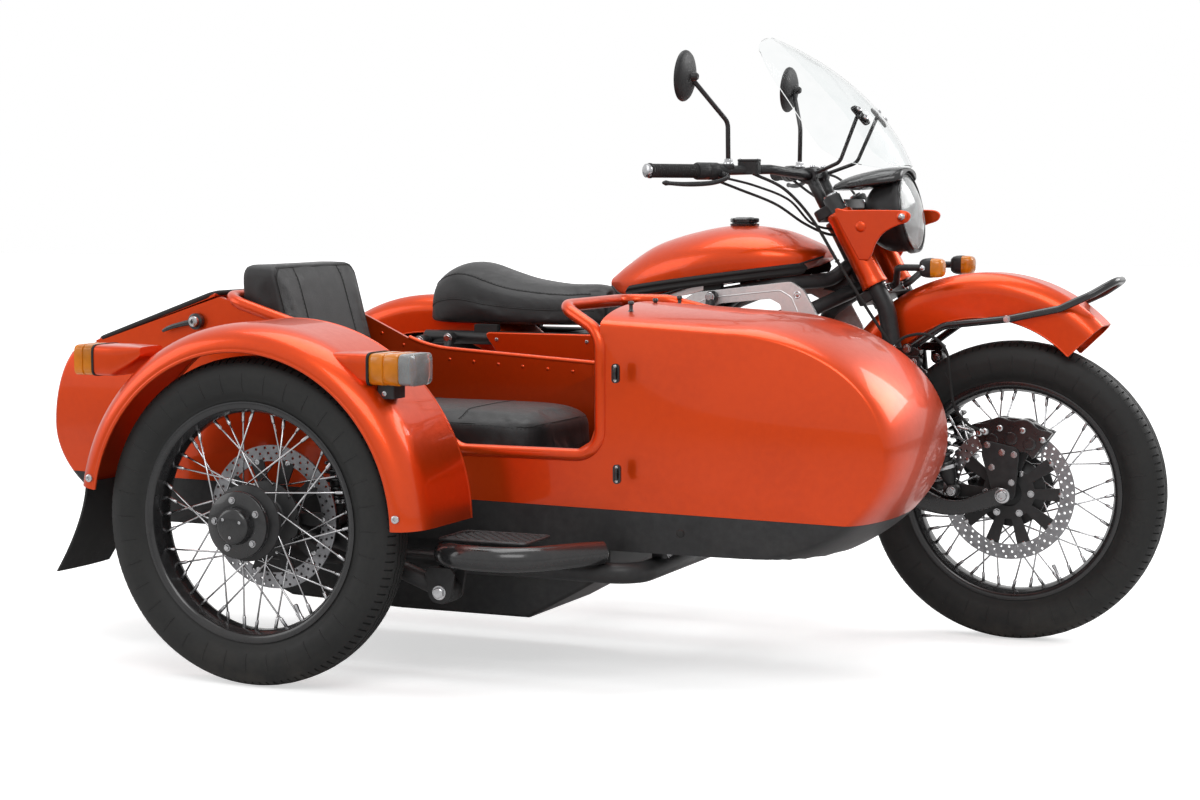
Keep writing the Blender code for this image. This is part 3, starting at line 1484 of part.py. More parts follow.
def make_side_frame(hang):
    """The sidecar's perimeter tube, its cross tubes and the fittings to the motorcycle."""
    z = side_frame_z
    outer, inner = side_frame_outer_y, side_frame_inner_y
    rear, front = side_frame_rear_x, side_frame_front_x
    loop = [(front, inner, z), (front, outer, z), (rear, outer, z), (rear, inner, z)]
    pieces = [tube(loop, side_frame_radius, side_frame_bend, tube_sides),
              rod((rear - side_frame_radius, inner, z), (front + side_frame_radius, inner, z),
                  side_frame_radius * 1.1,
                  tube_sides)]
    for x in (cradle_rear_x + frame_bend * 1.5, down_tube_foot_x - frame_bend * 1.5):
        pieces.append(rod((x, inner, z), (x, -frame_half_width - frame_radius - seat_gap, cradle_z),
                          strut_radius * 1.2,
                          tube_sides))
    pieces.append(rod((side_pivot_x, outer, z), (side_pivot_x, outrigger_end_y, outrigger_z),
                      outrigger_radius,
                      tube_sides))
    for sign in (-1.0, 1.0):
        near = side_arm_y + sign * (side_boss_half + seat_gap)
        low, high = sorted((near, near + sign * clevis_thickness))
        reach = side_arm_radius * 1.3 + clevis_thickness
        pieces.append(slab([(side_pivot_x - reach, outrigger_z),
                            (side_pivot_x - reach * 0.7, side_pivot_z - reach * 0.7),
                            (side_pivot_x + reach * 0.7, side_pivot_z - reach * 0.7),
                            (side_pivot_x + reach, outrigger_z)],
                           low, high))
    post_y = side_frame_outer_y
    reach = side_shock_x + strut_radius - sidecar_lead
    seat_z = tyre_radius + math.sqrt((side_fender_radius - sheet * 2) ** 2 - reach ** 2)
    top_y = side_fender_inner_y - outrigger_radius
    post = tube([(side_shock_x, post_y, z), (side_shock_x, post_y, side_shock_top_z),
                 (side_shock_x, top_y, side_shock_top_z + outrigger_radius * 3),
                 (side_shock_x, top_y, seat_z + overrun)], strut_radius, side_frame_bend / 2, tube_sides)
    under = side_fender_radius - sheet - seat_gap
    outline = [(sidecar_lead + under * math.cos(side_fender_end), 0.0),
               (sidecar_lead + under * math.cos(side_fender_start), 0.0)]
    for step in range(fender_steps + 1):
        angle = side_fender_start + (side_fender_end - side_fender_start) * step / fender_steps
        outline.append((sidecar_lead + under * math.cos(angle), tyre_radius + under * math.sin(angle)))
    pieces.append(combine(post, [slab(outline, side_fender_outer_y, side_frame_inner_y)], "INTERSECT"))
    for x in (rear, front):
        for share in (0.2, 0.8):
            y = body_outer_y + (body_inner_y - body_outer_y) * share
            pieces.append(box((x - pan_mount, x + pan_mount), (y - pan_mount * 2, y + pan_mount * 2),
                              (z, body_low_z - seat_gap)))
    pieces.append(rod((side_shock_x, post_y, side_shock_top_z),
                      (side_shock_x, side_arm_y + shock_eye_radius + seat_gap, side_shock_top_z),
                      shock_pin_radius,
                      tube_sides))
    finish("sidecar_frame", fuse(pieces), "black", hang)


def make_struts(hang):
    """The upper struts from the motorcycle's frame down to the sidecar's frame."""
    rail_y = -frame_half_width - frame_radius - seat_gap
    for name, x, z in (("strut_rear", upper_strut_x, seat_rail_z),
                       ("strut_front", front_strut_x, front_strut_z)):
        foot = (x, side_frame_inner_y, side_frame_z + side_frame_radius + seat_gap + strut_radius)
        head = (x, rail_y - strut_radius - battery_frame_depth, z)
        eye = rod((x, rail_y, z), (x, head[1] - strut_radius / 3, z), strut_eye_radius, strut_eye_sides)
        ridge = side_frame_z + side_frame_radius * 1.1 + seat_gap
        shoe = rod((x, side_frame_inner_y, ridge), (x, side_frame_inner_y, foot[2] + strut_radius / 3),
                   strut_eye_radius, 7)
        finish(name, fuse([rod(foot, head, strut_radius, 10), eye, shoe]), "black", hang)


def body_outline(inset):
    """The sidecar body's side outline, set in by a distance: nose and tail are parts of ellipses."""
    points = []
    low = body_low_z + inset
    nose_z = body_low_z + nose_height / 2
    for step in range(13):
        angle = -math.pi / 2 + math.pi * step / 12
        points.append((nose_centre_x + (nose_length - inset) * math.cos(angle),
                       nose_z + (nose_height / 2 - inset) * math.sin(angle)))
    points.append((lid_front_x + bulkhead * 4, lid_front_z - inset))
    points.append((lid_front_x, lid_front_z - inset))
    over_x = tail_x + tail_over_length
    for step in range(5):
        angle = math.pi / 2 + math.pi / 2 * step / 4
        points.append((over_x + (tail_over_length - inset) * math.cos(angle),
                       tail_middle_z + (tail_over_height - inset) * math.sin(angle)))
    under_x = tail_x + tail_under_length
    for step in range(1, 6):
        angle = math.pi + math.pi / 2 * step / 5
        points.append((under_x + (tail_under_length - inset) * math.cos(angle),
                       tail_middle_z + (tail_middle_z - low) * math.sin(angle)))
    return points


def body_shape(inset):
    """The sidecar body as a solid, crowned between its two flat sides."""
    outer, inner = body_outer_y + inset, body_inner_y - inset
    width = inner - outer
    sections = []
    for across, swell in ((0.0, 0.0), (0.03, 0.30), (0.12, 0.62), (0.30, 0.90), (0.50, 1.0), (0.70, 0.90),
                          (0.88, 0.62),
                          (0.97, 0.30), (1.0, 0.0)):
        y = outer + across * width
        ring = []
        for x, z in body_outline(inset - swell * crown):
            ring.append((x, y, max(z, body_low_z + inset)))
        sections.append(ring)
    return loft(sections)


def notch_outline():
    """The cockpit's edge on the outer side, closed far above the body."""
    top = lid_front_z + overrun * 5
    return [(lid_front_x + bulkhead * 1.5, lid_front_z), (notch_rear_x * 0.7, lid_front_z - overrun * 3.6),
            (notch_rear_x, lid_front_z - overrun * 6), (notch_rear_x + overrun * 2.6,
                                                        notch_low_z + overrun * 1.1),
            (notch_rear_x + overrun * 4.2, notch_low_z), (notch_front_x - overrun * 2.4, notch_low_z),
            (notch_front_x - overrun * 0.7, notch_low_z + overrun),
            (notch_front_x, notch_low_z + overrun * 3),
            (notch_front_x, top), (lid_front_x + bulkhead * 1.5, top)]


def rail_path():
    """The cockpit rail's route: rear hoop, outer edge, post, handle over the dash and back to the deck."""
    y = body_outer_y + body_wall / 2
    inner_y = body_inner_y - body_wall * 2
    hoop_x = lid_front_x + bulkhead + rail_radius
    edge = notch_outline()
    across = inner_y - y
    deck_z = body_low_z + nose_height
    path = [Vector((hoop_x, inner_y, lid_front_z)), Vector((hoop_x, y, lid_front_z))]
    path += [Vector((x, y, z)) for x, z in edge[1:5]]
    path += [Vector((notch_front_x, y, notch_low_z)), Vector((notch_front_x, y, deck_z)),
             Vector((handle_x, y + across * 0.10, handle_z)), Vector((handle_x, inner_y - across * 0.12,
                                                                      handle_z)),
             Vector((notch_front_x, inner_y - across * 0.12, handle_z)),
             Vector((notch_front_x + overrun * 7, inner_y - across * 0.04, deck_z))]
    return path


def rail_tube(radius, extra=0.0):
    """A tube along the rail's route, longer at both ends by an extra."""
    path = rail_path()
    path[0] += (path[0] - path[1]).normalized() * extra
    path[-1] += (path[-1] - path[-2]).normalized() * extra
    return tube(path, radius, rail_bend, tube_sides)


def make_body(hang):
    """The sidecar's body, hollow, open over the cockpit and the boot, above its black pan."""
    shell = body_shape(0.0)
    cavity = body_shape(body_wall)
    bulk = box((lid_front_x - bulkhead / 2, lid_front_x + bulkhead / 2),
               (body_outer_y - overrun, body_inner_y + overrun), (0.0, lid_front_z + overrun * 5))
    cavity = cut(cavity, [bulk])
    shell = cut(shell, [cavity])
    middle = (body_outer_y + body_inner_y) / 2
    outer_cut = slab(notch_outline(), body_outer_y - overrun, middle)
    top = lid_front_z + overrun * 5
    inner_cut = slab([(lid_front_x + bulkhead * 1.5, lid_front_z),
                      (notch_rear_x * 0.5, inner_wall_z + overrun),
                      (notch_front_x - overrun * 5, inner_wall_z),
                      (notch_front_x, inner_wall_z + overrun * 3),
                      (notch_front_x, top), (lid_front_x + bulkhead * 1.5, top)], middle,
                     body_inner_y + overrun)
    shell = cut(shell, [outer_cut, inner_cut])
    boot_rear = tail_x + tail_over_length
    slope = (lid_front_z - tail_middle_z - tail_over_height) / (lid_front_x - boot_rear)
    boot_cut = slab([(lid_front_x - bulkhead, lid_front_z - overrun), (lid_front_x - bulkhead, top),
                     (boot_rear, top),
                     (boot_rear, tail_middle_z + tail_over_height - overrun)],
                    body_outer_y + lid_side_inset * 1.6, body_inner_y - lid_side_inset * 1.6)
    lid_top = slab([(lid_front_x + bulkhead * 1.5, lid_front_z + seat_gap),
                    (boot_rear, lid_front_z + seat_gap + slope * (boot_rear - lid_front_x)),
                    (tail_x - overrun, lid_front_z + slope * (tail_x - overrun - lid_front_x)),
                    (tail_x - overrun, top), (lid_front_x + bulkhead * 1.5, top)], body_outer_y - overrun,
                   body_inner_y + overrun)
    shell = cut(shell, [lid_top, boot_cut])
    shelf = box((lid_front_x, cushion_front_x), (body_outer_y + body_wall / 2,
                                                 body_inner_y - body_wall / 2),
                (cushion_low_z - seat_gap - bulkhead, cushion_low_z - seat_gap))
    shell = fuse([shell, shelf])
    pan_outline = [(tail_x - overrun * 3, 0.0), (nose_centre_x + nose_length + overrun * 3, 0.0),
                   (nose_centre_x + nose_length + overrun * 3, band_front_z),
                   (tail_x - overrun * 3, band_rear_z)]
    above = [(x, z + seat_gap if z > 0.0 else z) for x, z in pan_outline]
    pan = body_copy(shell)
    shell = cut(shell, [slab(above, body_outer_y - overrun, body_inner_y + overrun)])
    pan = combine(pan, [slab(pan_outline, body_outer_y - overrun, body_inner_y + overrun)], "INTERSECT")
    shell = largest(cut(shell, [rail_tube(rail_radius + seat_gap, overrun)]))
    finish("sidecar_body", shell, "paint", hang)
    finish("sidecar_pan", pan, "black", hang)


def body_copy(thing):
    """A second object with its own copy of a mesh."""
    made = bpy.data.objects.new("shape", thing.data.copy())
    bpy.context.scene.collection.objects.link(made)
    return made


def lid_height(x):
    """The height of the body's top edge under the boot lid."""
    boot_rear = tail_x + tail_over_length
    slope = (lid_front_z - tail_middle_z - tail_over_height) / (lid_front_x - boot_rear)
    return lid_front_z + slope * (x - lid_front_x)


def make_lid(hang):
    """The boot lid, a plate over the body's sloping edges."""
    front = lid_front_x - seat_gap
    rear = tail_x + tail_over_length
    low = seat_gap * 3
    high = low + lid_thickness
    outline = [(front, lid_height(front) + low), (front, lid_height(front) + high),
               (rear, lid_height(rear) + high),
               (rear, lid_height(rear) + low)]
    finish("boot_lid", slab(outline, body_outer_y + lid_side_inset, body_inner_y - lid_side_inset), "paint",
           hang)


def make_cockpit_rail(hang):
    """The tube round the cockpit."""
    finish("cockpit_rail", rail_tube(rail_radius), "paint", hang)


def make_seat(hang):
    """The passenger's cushion and backrest."""
    outer = body_outer_y + body_wall + seat_margin
    inner = body_inner_y - body_wall - seat_margin
    cushion = box((cushion_rear_x, cushion_front_x), (outer, inner), (cushion_low_z, cushion_high_z))
    finish("passenger_cushion", cushion, "leather", hang)
    rear = backrest_rear_x
    outline = [(rear, backrest_high_z), (rear, backrest_low_z), (rear + backrest_low_depth, backrest_low_z),
               (rear + backrest_top_depth, backrest_high_z)]
    finish("passenger_backrest", slab(outline, outer, inner), "leather", hang)


def make_side_fender(hang):
    """The sidecar wheel's fender, its flap and the marker lamps."""
    centre = (sidecar_lead, tyre_radius)
    width = side_fender_inner_y - side_fender_outer_y
    profile = []
    for across, drop in ((0.0, side_fender_lip), (0.015, side_fender_lip * 0.35),
                         (0.10, side_fender_lip * 0.10),
                         (0.30, 0.0), (1.0, 0.0)):
        profile.append((side_fender_outer_y + across * width, -drop))
    under = []
    for y, drop in reversed(profile):
        share = (y - side_fender_outer_y) / width
        under.append((y + sheet * (1 - share) if share < 0.1 else y,
                      drop - (sheet if share > 0.012 else 0.0)))
    ring = profile + under
    sections = []
    for step in range(fender_steps + 1):
        angle = side_fender_start + (side_fender_end - side_fender_start) * step / fender_steps
        sections.append([(centre[0] + (side_fender_radius + depth) * math.cos(angle), y,
                          centre[1] + (side_fender_radius + depth) * math.sin(angle)) for y, depth in ring])
    finish("sidecar_fender", loft(sections), "paint", hang)


def make_markers(hang):
    """The front and rear marker lamps in their housings on the fender's shoulders."""
    half = marker_height / 2
    for name, far, near in (("marker_front", marker_front_x, marker_front_rear_x),
                            ("marker_rear", marker_rear_x, marker_rear_front_x)):
        taper = (near - far) * marker_taper_share
        outline = [(far, marker_z - half), (far, marker_z + half), (near + taper, marker_z + half * 1.2),
                   (near + taper * 0.3, marker_z - half)]
        lamp = slab(outline, marker_y - marker_width / 2, marker_y + marker_width / 2)
        seat = arch_solid((sidecar_lead, tyre_radius), side_fender_radius + seat_gap, side_fender_start,
                          side_fender_end, fender_steps, side_fender_outer_y - overrun,
                          side_fender_inner_y + overrun)
        finish(name, cut(lamp, [seat]), "paint", hang)


def make_flap(hang):
    """The mudflap under the fender's rear end."""
    angle = side_fender_end
    rear_x = sidecar_lead + side_fender_radius * math.cos(angle)
    top_z = tyre_radius + side_fender_radius * math.sin(angle) - seat_gap
    outline = [(rear_x, top_z), (rear_x + flap_thickness, top_z + flap_thickness * math.tan(angle)),
               (rear_x + flap_thickness - flap_kick * 0.2, top_z - flap_length * 0.45),
               (rear_x + flap_thickness - flap_kick, top_z - flap_length),
               (rear_x - flap_kick, top_z - flap_length), (rear_x - flap_kick * 0.2,
                                                           top_z - flap_length * 0.45)]
    finish("mudflap", slab(outline, side_fender_outer_y + side_fender_lip, side_fender_inner_y), "rubber",
           hang)


def make_step(hang):
    """The step: a bowed bar in front of the wheel, with a grille between it and the body."""
    inner = side_frame_outer_y - side_frame_radius - seat_gap
    path = [(step_rear_x, side_frame_outer_y, step_z), (step_rear_x, step_reach_y, step_z),
            (step_front_x - step_bend, step_reach_y, step_z), (step_front_x, side_frame_outer_y, step_z)]
    bar = cut(tube(path, step_radius, step_bend, 10), [swollen("sidecar_frame")])
    finish("step_bar", largest(bar), "black", hang)
    low = step_z + step_radius + seat_gap
    half = grille_thickness / 2
    pitch = (step_front_x - step_bend - step_rear_x) / grille_bars
    near, far = inner - grille_thickness, step_reach_y + step_bend / 4
    pieces = []
    for y in (near, far):
        pieces.append(box((step_rear_x, step_front_x - step_bend), (y - half, y + half), (low, low + half)))
    for index in range(grille_bars + 1):
        x = step_rear_x + pitch * index
        pieces.append(box((x - half, x + half), (far - grille_thickness, near + grille_thickness),
                          (low, low + grille_thickness)))
    finish("step_grille", fuse([gather(pieces[:2]), gather(pieces[2:])]), "steel", hang)


def make_belly(hang):
    """The angular box under the sidecar's floor."""
    length = belly_front_x - belly_rear_x
    height = belly_high_z - belly_low_z
    outline = [(belly_rear_x + across * length, belly_low_z + up * height) for across,
               up in belly_outline_shares]
    finish("belly_box", slab(outline, belly_outer_y, belly_inner_y), "black", hang)


def make_side_arm(hang):
    """The sidecar wheel's swing arm with its stub axle, and its shock."""
    centre = Vector((sidecar_lead, -sidecar_track, tyre_radius))
    hub_face = -sidecar_track + disc_offset + disc_thickness / 2
    stub = rod(centre - Vector((0.0, hub_half_width * 0.6, 0.0)), (sidecar_lead, side_arm_y, tyre_radius),
               axle_radius, 12)
    boss = rod((sidecar_lead, hub_face + seat_gap, tyre_radius),
               (sidecar_lead, side_arm_y + side_boss_half, tyre_radius), side_arm_radius * 1.2, 12)
    arm = rod((sidecar_lead, side_arm_y, tyre_radius), (side_pivot_x, side_arm_y, side_pivot_z),
              side_arm_radius, 10)
    pivot = rod((side_pivot_x, side_arm_y - side_boss_half, side_pivot_z),
                (side_pivot_x, side_arm_y + side_boss_half, side_pivot_z), side_arm_radius * 1.3, 12)
    slope = (side_pivot_z - tyre_radius) / (side_pivot_x - sidecar_lead)
    arm_z = tyre_radius + slope * (side_shock_x - sidecar_lead)
    eye_z = arm_z + side_arm_radius * 1.3 + shock_eye_radius + seat_gap
    finish("sidecar_swing_arm", fuse([arm, boss, pivot, stub]), "black", hang)
    thing = shock((side_shock_x, side_arm_y, eye_z), (side_shock_x, side_arm_y, side_shock_top_z),
                  shock_spring_radius, shock_can_radius, shock_coils)
    finish("sidecar_shock", thing, "black", hang)


def make_hose(hang):
    """The front brake hose, held at the lower yoke and at the caliper."""
    hose = bpy.data.curves.new("front_brake_hose", "CURVE")
    hose.dimensions = "3D"
    hose.bevel_depth = hose_radius
    hose.bevel_resolution = 2
    hose.use_fill_caps = True
    points = smooth_route([Vector((wheelbase + x, y, z)) for x, y, z in hose_route], hose_radius * 8)
    spline = hose.splines.new("POLY")
    spline.points.add(len(points) - 1)
    for point, place in zip(spline.points, points):
        point.co = (*(place - hang["place"]), 1.0)
    hose.materials.append(material("rubber"))
    thing = bpy.data.objects.new("front_brake_hose", hose)
    bpy.context.scene.collection.objects.link(thing)
    thing.parent = hang["empty"]


def smooth_route(points, step):
    """Points at even steps on a smooth curve through the route's own points."""
    padded = [points[0] * 2 - points[1], *points, points[-1] * 2 - points[-2]]
    route = []
    for before, start, end, after in zip(padded, padded[1:], padded[2:], padded[3:]):
        count = max(1, round((end - start).length / step))
        for index in range(count):
            t = index / count
            slope = (end - before) * t
            curve = (2 * before - 5 * start + 4 * end - after) * t ** 2
            turn = (3 * start - before - 3 * end + after) * t ** 3
            route.append(0.5 * (2 * start + slope + curve + turn))
    route.append(points[-1])
    return route


def main():
    clear_scene()
    front_x = wheelbase + tyre_radius
    grip_start, grip_end = bar_points(1.0)[1:]
    grip_heading = (grip_end - grip_start).normalized()
    left_y = grip_end.y + grip_heading.y * axle_end + grip_radius * math.sqrt(1 - grip_heading.y ** 2)
    right_y = -sidecar_track - hub_half_width - cap_height * 1.9
    centre = Vector(((front_x + tail_x - crown) / 2, (left_y + right_y) / 2, 0.0))
    machine = carrier("machine", (0.0, 0.0, 0.0))
    steering = carrier("steering", (axis_x(head_bottom_z), 0.0, head_bottom_z), machine)
    front_wheel = carrier("front_wheel_carrier", (wheelbase, 0.0, tyre_radius), steering)
    rear_wheel = carrier("rear_wheel_carrier", (0.0, 0.0, tyre_radius), machine)
    side_wheel = carrier("sidecar_wheel_carrier", (sidecar_lead, -sidecar_track, tyre_radius), machine)
    lid = carrier("boot_lid_carrier", (lid_front_x, (body_outer_y + body_inner_y) / 2, lid_front_z),
                  machine)
    for prefix, hang, disc_side, capped in (("front", front_wheel, -1.0, False),
                                            ("rear", rear_wheel, 1.0, False),
                                            ("sidecar", side_wheel, 1.0, True)):
        make_tyre(prefix + "_tyre", hang["place"], hang)
        make_wheel(prefix + "_wheel", hang["place"], disc_side, hang, capped)
    make_steering(steering)
    for make in (make_main_frame, make_battery, make_motor, make_tank, make_saddle, make_covers,
                 make_rear_fender,
                 make_swing_arm, make_rear_shocks, make_side_frame, make_struts, make_battery_frames,
                 make_body, make_cockpit_rail, make_seat,
                 make_side_fender, make_markers, make_flap, make_step, make_belly,
                 make_side_arm):
        make(machine)
    make_lid(lid)
    machine["empty"].location = -centre


main()
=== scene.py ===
import bpy
import math
import numpy as np
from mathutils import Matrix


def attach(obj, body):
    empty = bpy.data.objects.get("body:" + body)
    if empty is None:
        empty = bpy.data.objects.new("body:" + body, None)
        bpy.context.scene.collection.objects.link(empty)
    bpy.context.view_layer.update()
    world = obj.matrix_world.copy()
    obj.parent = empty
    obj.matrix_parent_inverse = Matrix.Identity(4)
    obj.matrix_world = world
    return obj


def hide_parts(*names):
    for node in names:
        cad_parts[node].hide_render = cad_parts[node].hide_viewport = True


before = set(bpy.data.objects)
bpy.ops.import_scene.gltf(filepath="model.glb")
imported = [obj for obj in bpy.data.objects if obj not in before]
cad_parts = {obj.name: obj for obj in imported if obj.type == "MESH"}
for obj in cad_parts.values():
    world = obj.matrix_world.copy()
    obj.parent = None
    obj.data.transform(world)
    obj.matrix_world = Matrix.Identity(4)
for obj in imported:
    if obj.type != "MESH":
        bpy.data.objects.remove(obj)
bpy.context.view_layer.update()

tau = 2 * math.pi
shift = np.array([-0.6265, 0.401,
                  0.0])   # the rear axle's place in the model; pieces are worked out from there
hands = (("Right", -1.0), ("Left", 1.0))
print("frame loaded")


# camera, floor and light

camera = {"place": (2.1185, -4.877, 1.014), "yaw": -23.57, "pitch": -4.94, "lens": 69.8, "film": 36.0}
studio = {"worldStrength": 0.40, "floorColour": (0.80, 0.80, 0.80), "floorGlow": 0.58, "floorSize": 60.0,
    "glowNear": 2.2, "glowFar": 7.0, "keyPower": 112, "fillPower": 50, "rimPower": 130, "topPower": 130}


def makeCamera():
    data = bpy.data.cameras.new("studioCamera")
    data.lens = camera["lens"]
    data.sensor_width = camera["film"]
    data.clip_end = 100
    made = bpy.data.objects.new("studioCamera", data)
    bpy.context.scene.collection.objects.link(made)
    made.location = camera["place"]
    made.rotation_euler = (math.radians(90 + camera["pitch"]), 0, -math.radians(camera["yaw"]))
    bpy.context.scene.camera = made


def makeLamp(name, place, aim, size, power):
    data = bpy.data.lights.new(name, "AREA")
    data.shape = "RECTANGLE"
    data.size, data.size_y = size
    data.energy = power
    made = bpy.data.objects.new(name, data)
    bpy.context.scene.collection.objects.link(made)
    direction = np.array(aim, float) - np.array(place, float)
    flat = math.hypot(direction[0], direction[1])
    made.location = place
    made.rotation_euler = (math.atan2(flat, -direction[2]), 0, math.atan2(-direction[0], direction[1]))


def wire(tree, *ways):
    # each way is a node and its output, then a node and its input
    for source, output, target, into in ways:
        tree.links.new(source.outputs[output], target.inputs[into])


def makeStudio():
    world = bpy.data.worlds.new("studioWorld")
    bpy.context.scene.world = world
    world.use_nodes = True
    tree = world.node_tree
    back = tree.nodes["Background"]
    path = tree.nodes.new("ShaderNodeLightPath")
    first = tree.nodes.new("ShaderNodeMath")
    first.operation = "MAXIMUM"
    second = tree.nodes.new("ShaderNodeMath")
    second.operation = "MAXIMUM"
    spread = tree.nodes.new("ShaderNodeMapRange")
    spread.inputs["To Min"].default_value = studio["worldStrength"]
    spread.inputs["To Max"].default_value = 1.0
    wire(tree, (path, "Is Camera Ray", first, 0), (path, "Is Glossy Ray", first, 1), (first, 0, second, 0),
            (path, "Is Transmission Ray", second, 1), (second, 0, spread, "Value"),
            (spread, "Result", back, "Strength"))
    back.inputs["Color"].default_value = (1.0, 1.0, 1.0, 1.0)
    floor = bpy.data.materials.new("studioFloor")
    floor.use_nodes = True
    tree = floor.node_tree
    shader = tree.nodes["Principled BSDF"]
    shader.inputs["Base Color"].default_value = (*studio["floorColour"], 1.0)
    shader.inputs["Roughness"].default_value = 0.75
    shader.inputs["Specular IOR Level"].default_value = 0.2
    path = tree.nodes.new("ShaderNodeLightPath")
    place = tree.nodes.new("ShaderNodeTexCoord")
    reach = tree.nodes.new("ShaderNodeVectorMath")
    reach.operation = "LENGTH"
    fade = tree.nodes.new("ShaderNodeMapRange")
    fade.interpolation_type = "SMOOTHSTEP"
    fade.inputs["From Min"].default_value = studio["glowNear"]
    fade.inputs["From Max"].default_value = studio["glowFar"]
    fade.inputs["To Min"].default_value = studio["floorGlow"]
    fade.inputs["To Max"].default_value = 1.0
    wire(tree, (place, "Object", reach, 0), (reach, "Value", fade, "Value"))
    glow = tree.nodes.new("ShaderNodeMath")
    glow.operation = "MULTIPLY"
    wire(tree, (fade, "Result", glow, 1), (path, "Is Camera Ray", glow, 0))
    shader.inputs["Emission Color"].default_value = (1.0, 1.0, 1.0, 1.0)
    wire(tree, (glow, 0, shader, "Emission Strength"))
    half = studio["floorSize"] / 2
    mesh = bpy.data.meshes.new("floor")
    mesh.from_pydata([(-half, -half, 0), (half, -half, 0), (half, half, 0), (-half, half, 0)], [],
            [(0, 1, 2, 3)])
    mesh.materials.append(floor)
    made = bpy.data.objects.new("floor", mesh)
    bpy.context.scene.collection.objects.link(made)
    makeLamp("keyLamp", (1.6, -4.2, 4.2), (0, 0, 0.5), (3.4, 2.4), studio["keyPower"])
    makeLamp("fillLamp", (-4.6, -2.8, 2.6), (0, 0, 0.5), (3.0, 3.0), studio["fillPower"])
    makeLamp("rimLamp", (3.6, 3.4, 3.2), (0, 0, 0.6), (3.0, 2.4), studio["rimPower"])
    makeLamp("topLamp", (-0.6, 0.4, 5.0), (0, 0, 0.5), (4.0, 3.0), studio["topPower"])


makeCamera()
makeStudio()
bpy.context.scene.view_settings.view_transform = "Standard"
print("camera and studio ready")


# shapes: each is (points, [arrays of corner numbers]), worked out from the rear axle's ground point

def outward(shape):
    # the faces' cones to the origin add up to the volume, which is negative if the faces look inwards
    points, faces = shape
    volume = 0.0
    for group in faces:
        for corner in range(1, group.shape[1] - 1):
            first, second, third = points[group[:, 0]], points[group[:, corner]], points[group[:,
                    corner + 1]]
            volume += np.einsum("ij,ij->", first, np.cross(second, third))
    if volume < 0:
        faces = [group[:, ::-1] for group in faces]
    return points, faces


def join(*shapes):
    points, faces, start = [], [], 0
    for some, groups in shapes:
        points.append(some)
        faces += [group + start for group in groups]
        start += len(some)
    return np.concatenate(points), faces


def grid(points, closeRows=False, closeColumns=False):
    # neighbouring points of a rows x columns grid make quads; a fan closes each open end of a tube
    rows, columns = points.shape[:2]
    number = np.arange(rows * columns).reshape(rows, columns)
    if closeColumns:
        number = np.hstack([number, number[:, :1]])
    wrapped = np.vstack([number, number[:1]]) if closeRows else number
    quads = np.stack([wrapped[:-1, :-1], wrapped[:-1, 1:], wrapped[1:, 1:], wrapped[1:, :-1]],
            -1).reshape(-1, 4)
    places = points.reshape(-1, 3)
    faces = [quads]
    if closeColumns and not closeRows:
        places = np.vstack([places, points[0].mean(0), points[-1].mean(0)])
        low, high = number[0], number[-1]
        middle = np.full(columns, rows * columns)
        faces.append(np.stack([low[1:], low[:-1], middle], -1))
        faces.append(np.stack([high[:-1], high[1:], middle + 1], -1))
    return outward((places, faces))


def sheet(outer, inner):
    # two facing grids and the strips that join their edges make one closed sheet
    rows, columns = outer.shape[:2]
    ring = np.concatenate([outer, inner[:, ::-1]], 1)
    number = np.arange(rows * columns * 2).reshape(rows, -1)
    wrapped = np.hstack([number, number[:, :1]])
    quads = np.stack([wrapped[:-1, :-1], wrapped[:-1, 1:], wrapped[1:, 1:], wrapped[1:, :-1]],
            -1).reshape(-1, 4)
    front, back = number[:, :columns], number[:, ::-1][:, :columns]
    low = np.stack([front[0, 1:], front[0, :-1], back[0, :-1], back[0, 1:]], -1)
    high = np.stack([front[-1, :-1], front[-1, 1:], back[-1, 1:], back[-1, :-1]], -1)
    return outward((ring.reshape(-1, 3), [quads, low, high]))


def unit(vectors):
    vectors = np.asarray(vectors, float)
    return vectors / np.maximum(np.linalg.norm(vectors, axis=-1, keepdims=True), 1e-12)


def basis(axis):
    # two directions square to an axis, then the axis
    axis = unit(axis)
    helper = np.array([0.0, 0.0, 1.0]) if abs(axis[2]) < 0.9 else np.array([1.0, 0.0, 0.0])
    first = unit(np.cross(helper, axis))
    return np.stack([first, np.cross(axis, first), axis])


def bent(points, bend, steps=8, closed=False):
    # each corner gives way to an arc of the bend's radius that touches both of its sides
    points = [np.array(point, float) for point in points]
    count = len(points)
    path = [] if closed else [points[0]]
    bends = bend if hasattr(bend, "__len__") else [bend] * count
    for place in range(0 if closed else 1, count if closed else count - 1):
        corner = points[place]
        back, ahead = points[place - 1] - corner, points[(place + 1) % count] - corner
        far, near = np.linalg.norm(back), np.linalg.norm(ahead)
        angle = math.acos(max(-1.0, min(1.0, float(back @ ahead) / (far * near))))
        if bends[place] <= 0 or math.pi - angle < 0.02:
            path.append(corner)
            continue
        reach = min(bends[place] / math.tan(angle / 2), 0.48 * far, 0.48 * near)
        radius = reach * math.tan(angle / 2)
        centre = corner + unit(back / far + ahead / near) * (radius / math.sin(angle / 2))
        first, last = corner + back / far * reach - centre, corner + ahead / near * reach - centre
        sweep = math.pi - angle
        share = np.linspace(0, 1, steps + 1)[:, None]
        arc = first * np.sin((1 - share) * sweep) + last * np.sin(share * sweep)
        path += list(centre + arc / math.sin(sweep))
    if not closed:
        path.append(points[-1])
    return np.array(path)


def rounded(corners, bend, steps):
    # a flat outline whose corners are bent
    return bent([(x, 0, z) for x, z in corners], bend, steps, closed=True)[:, [0, 2]]


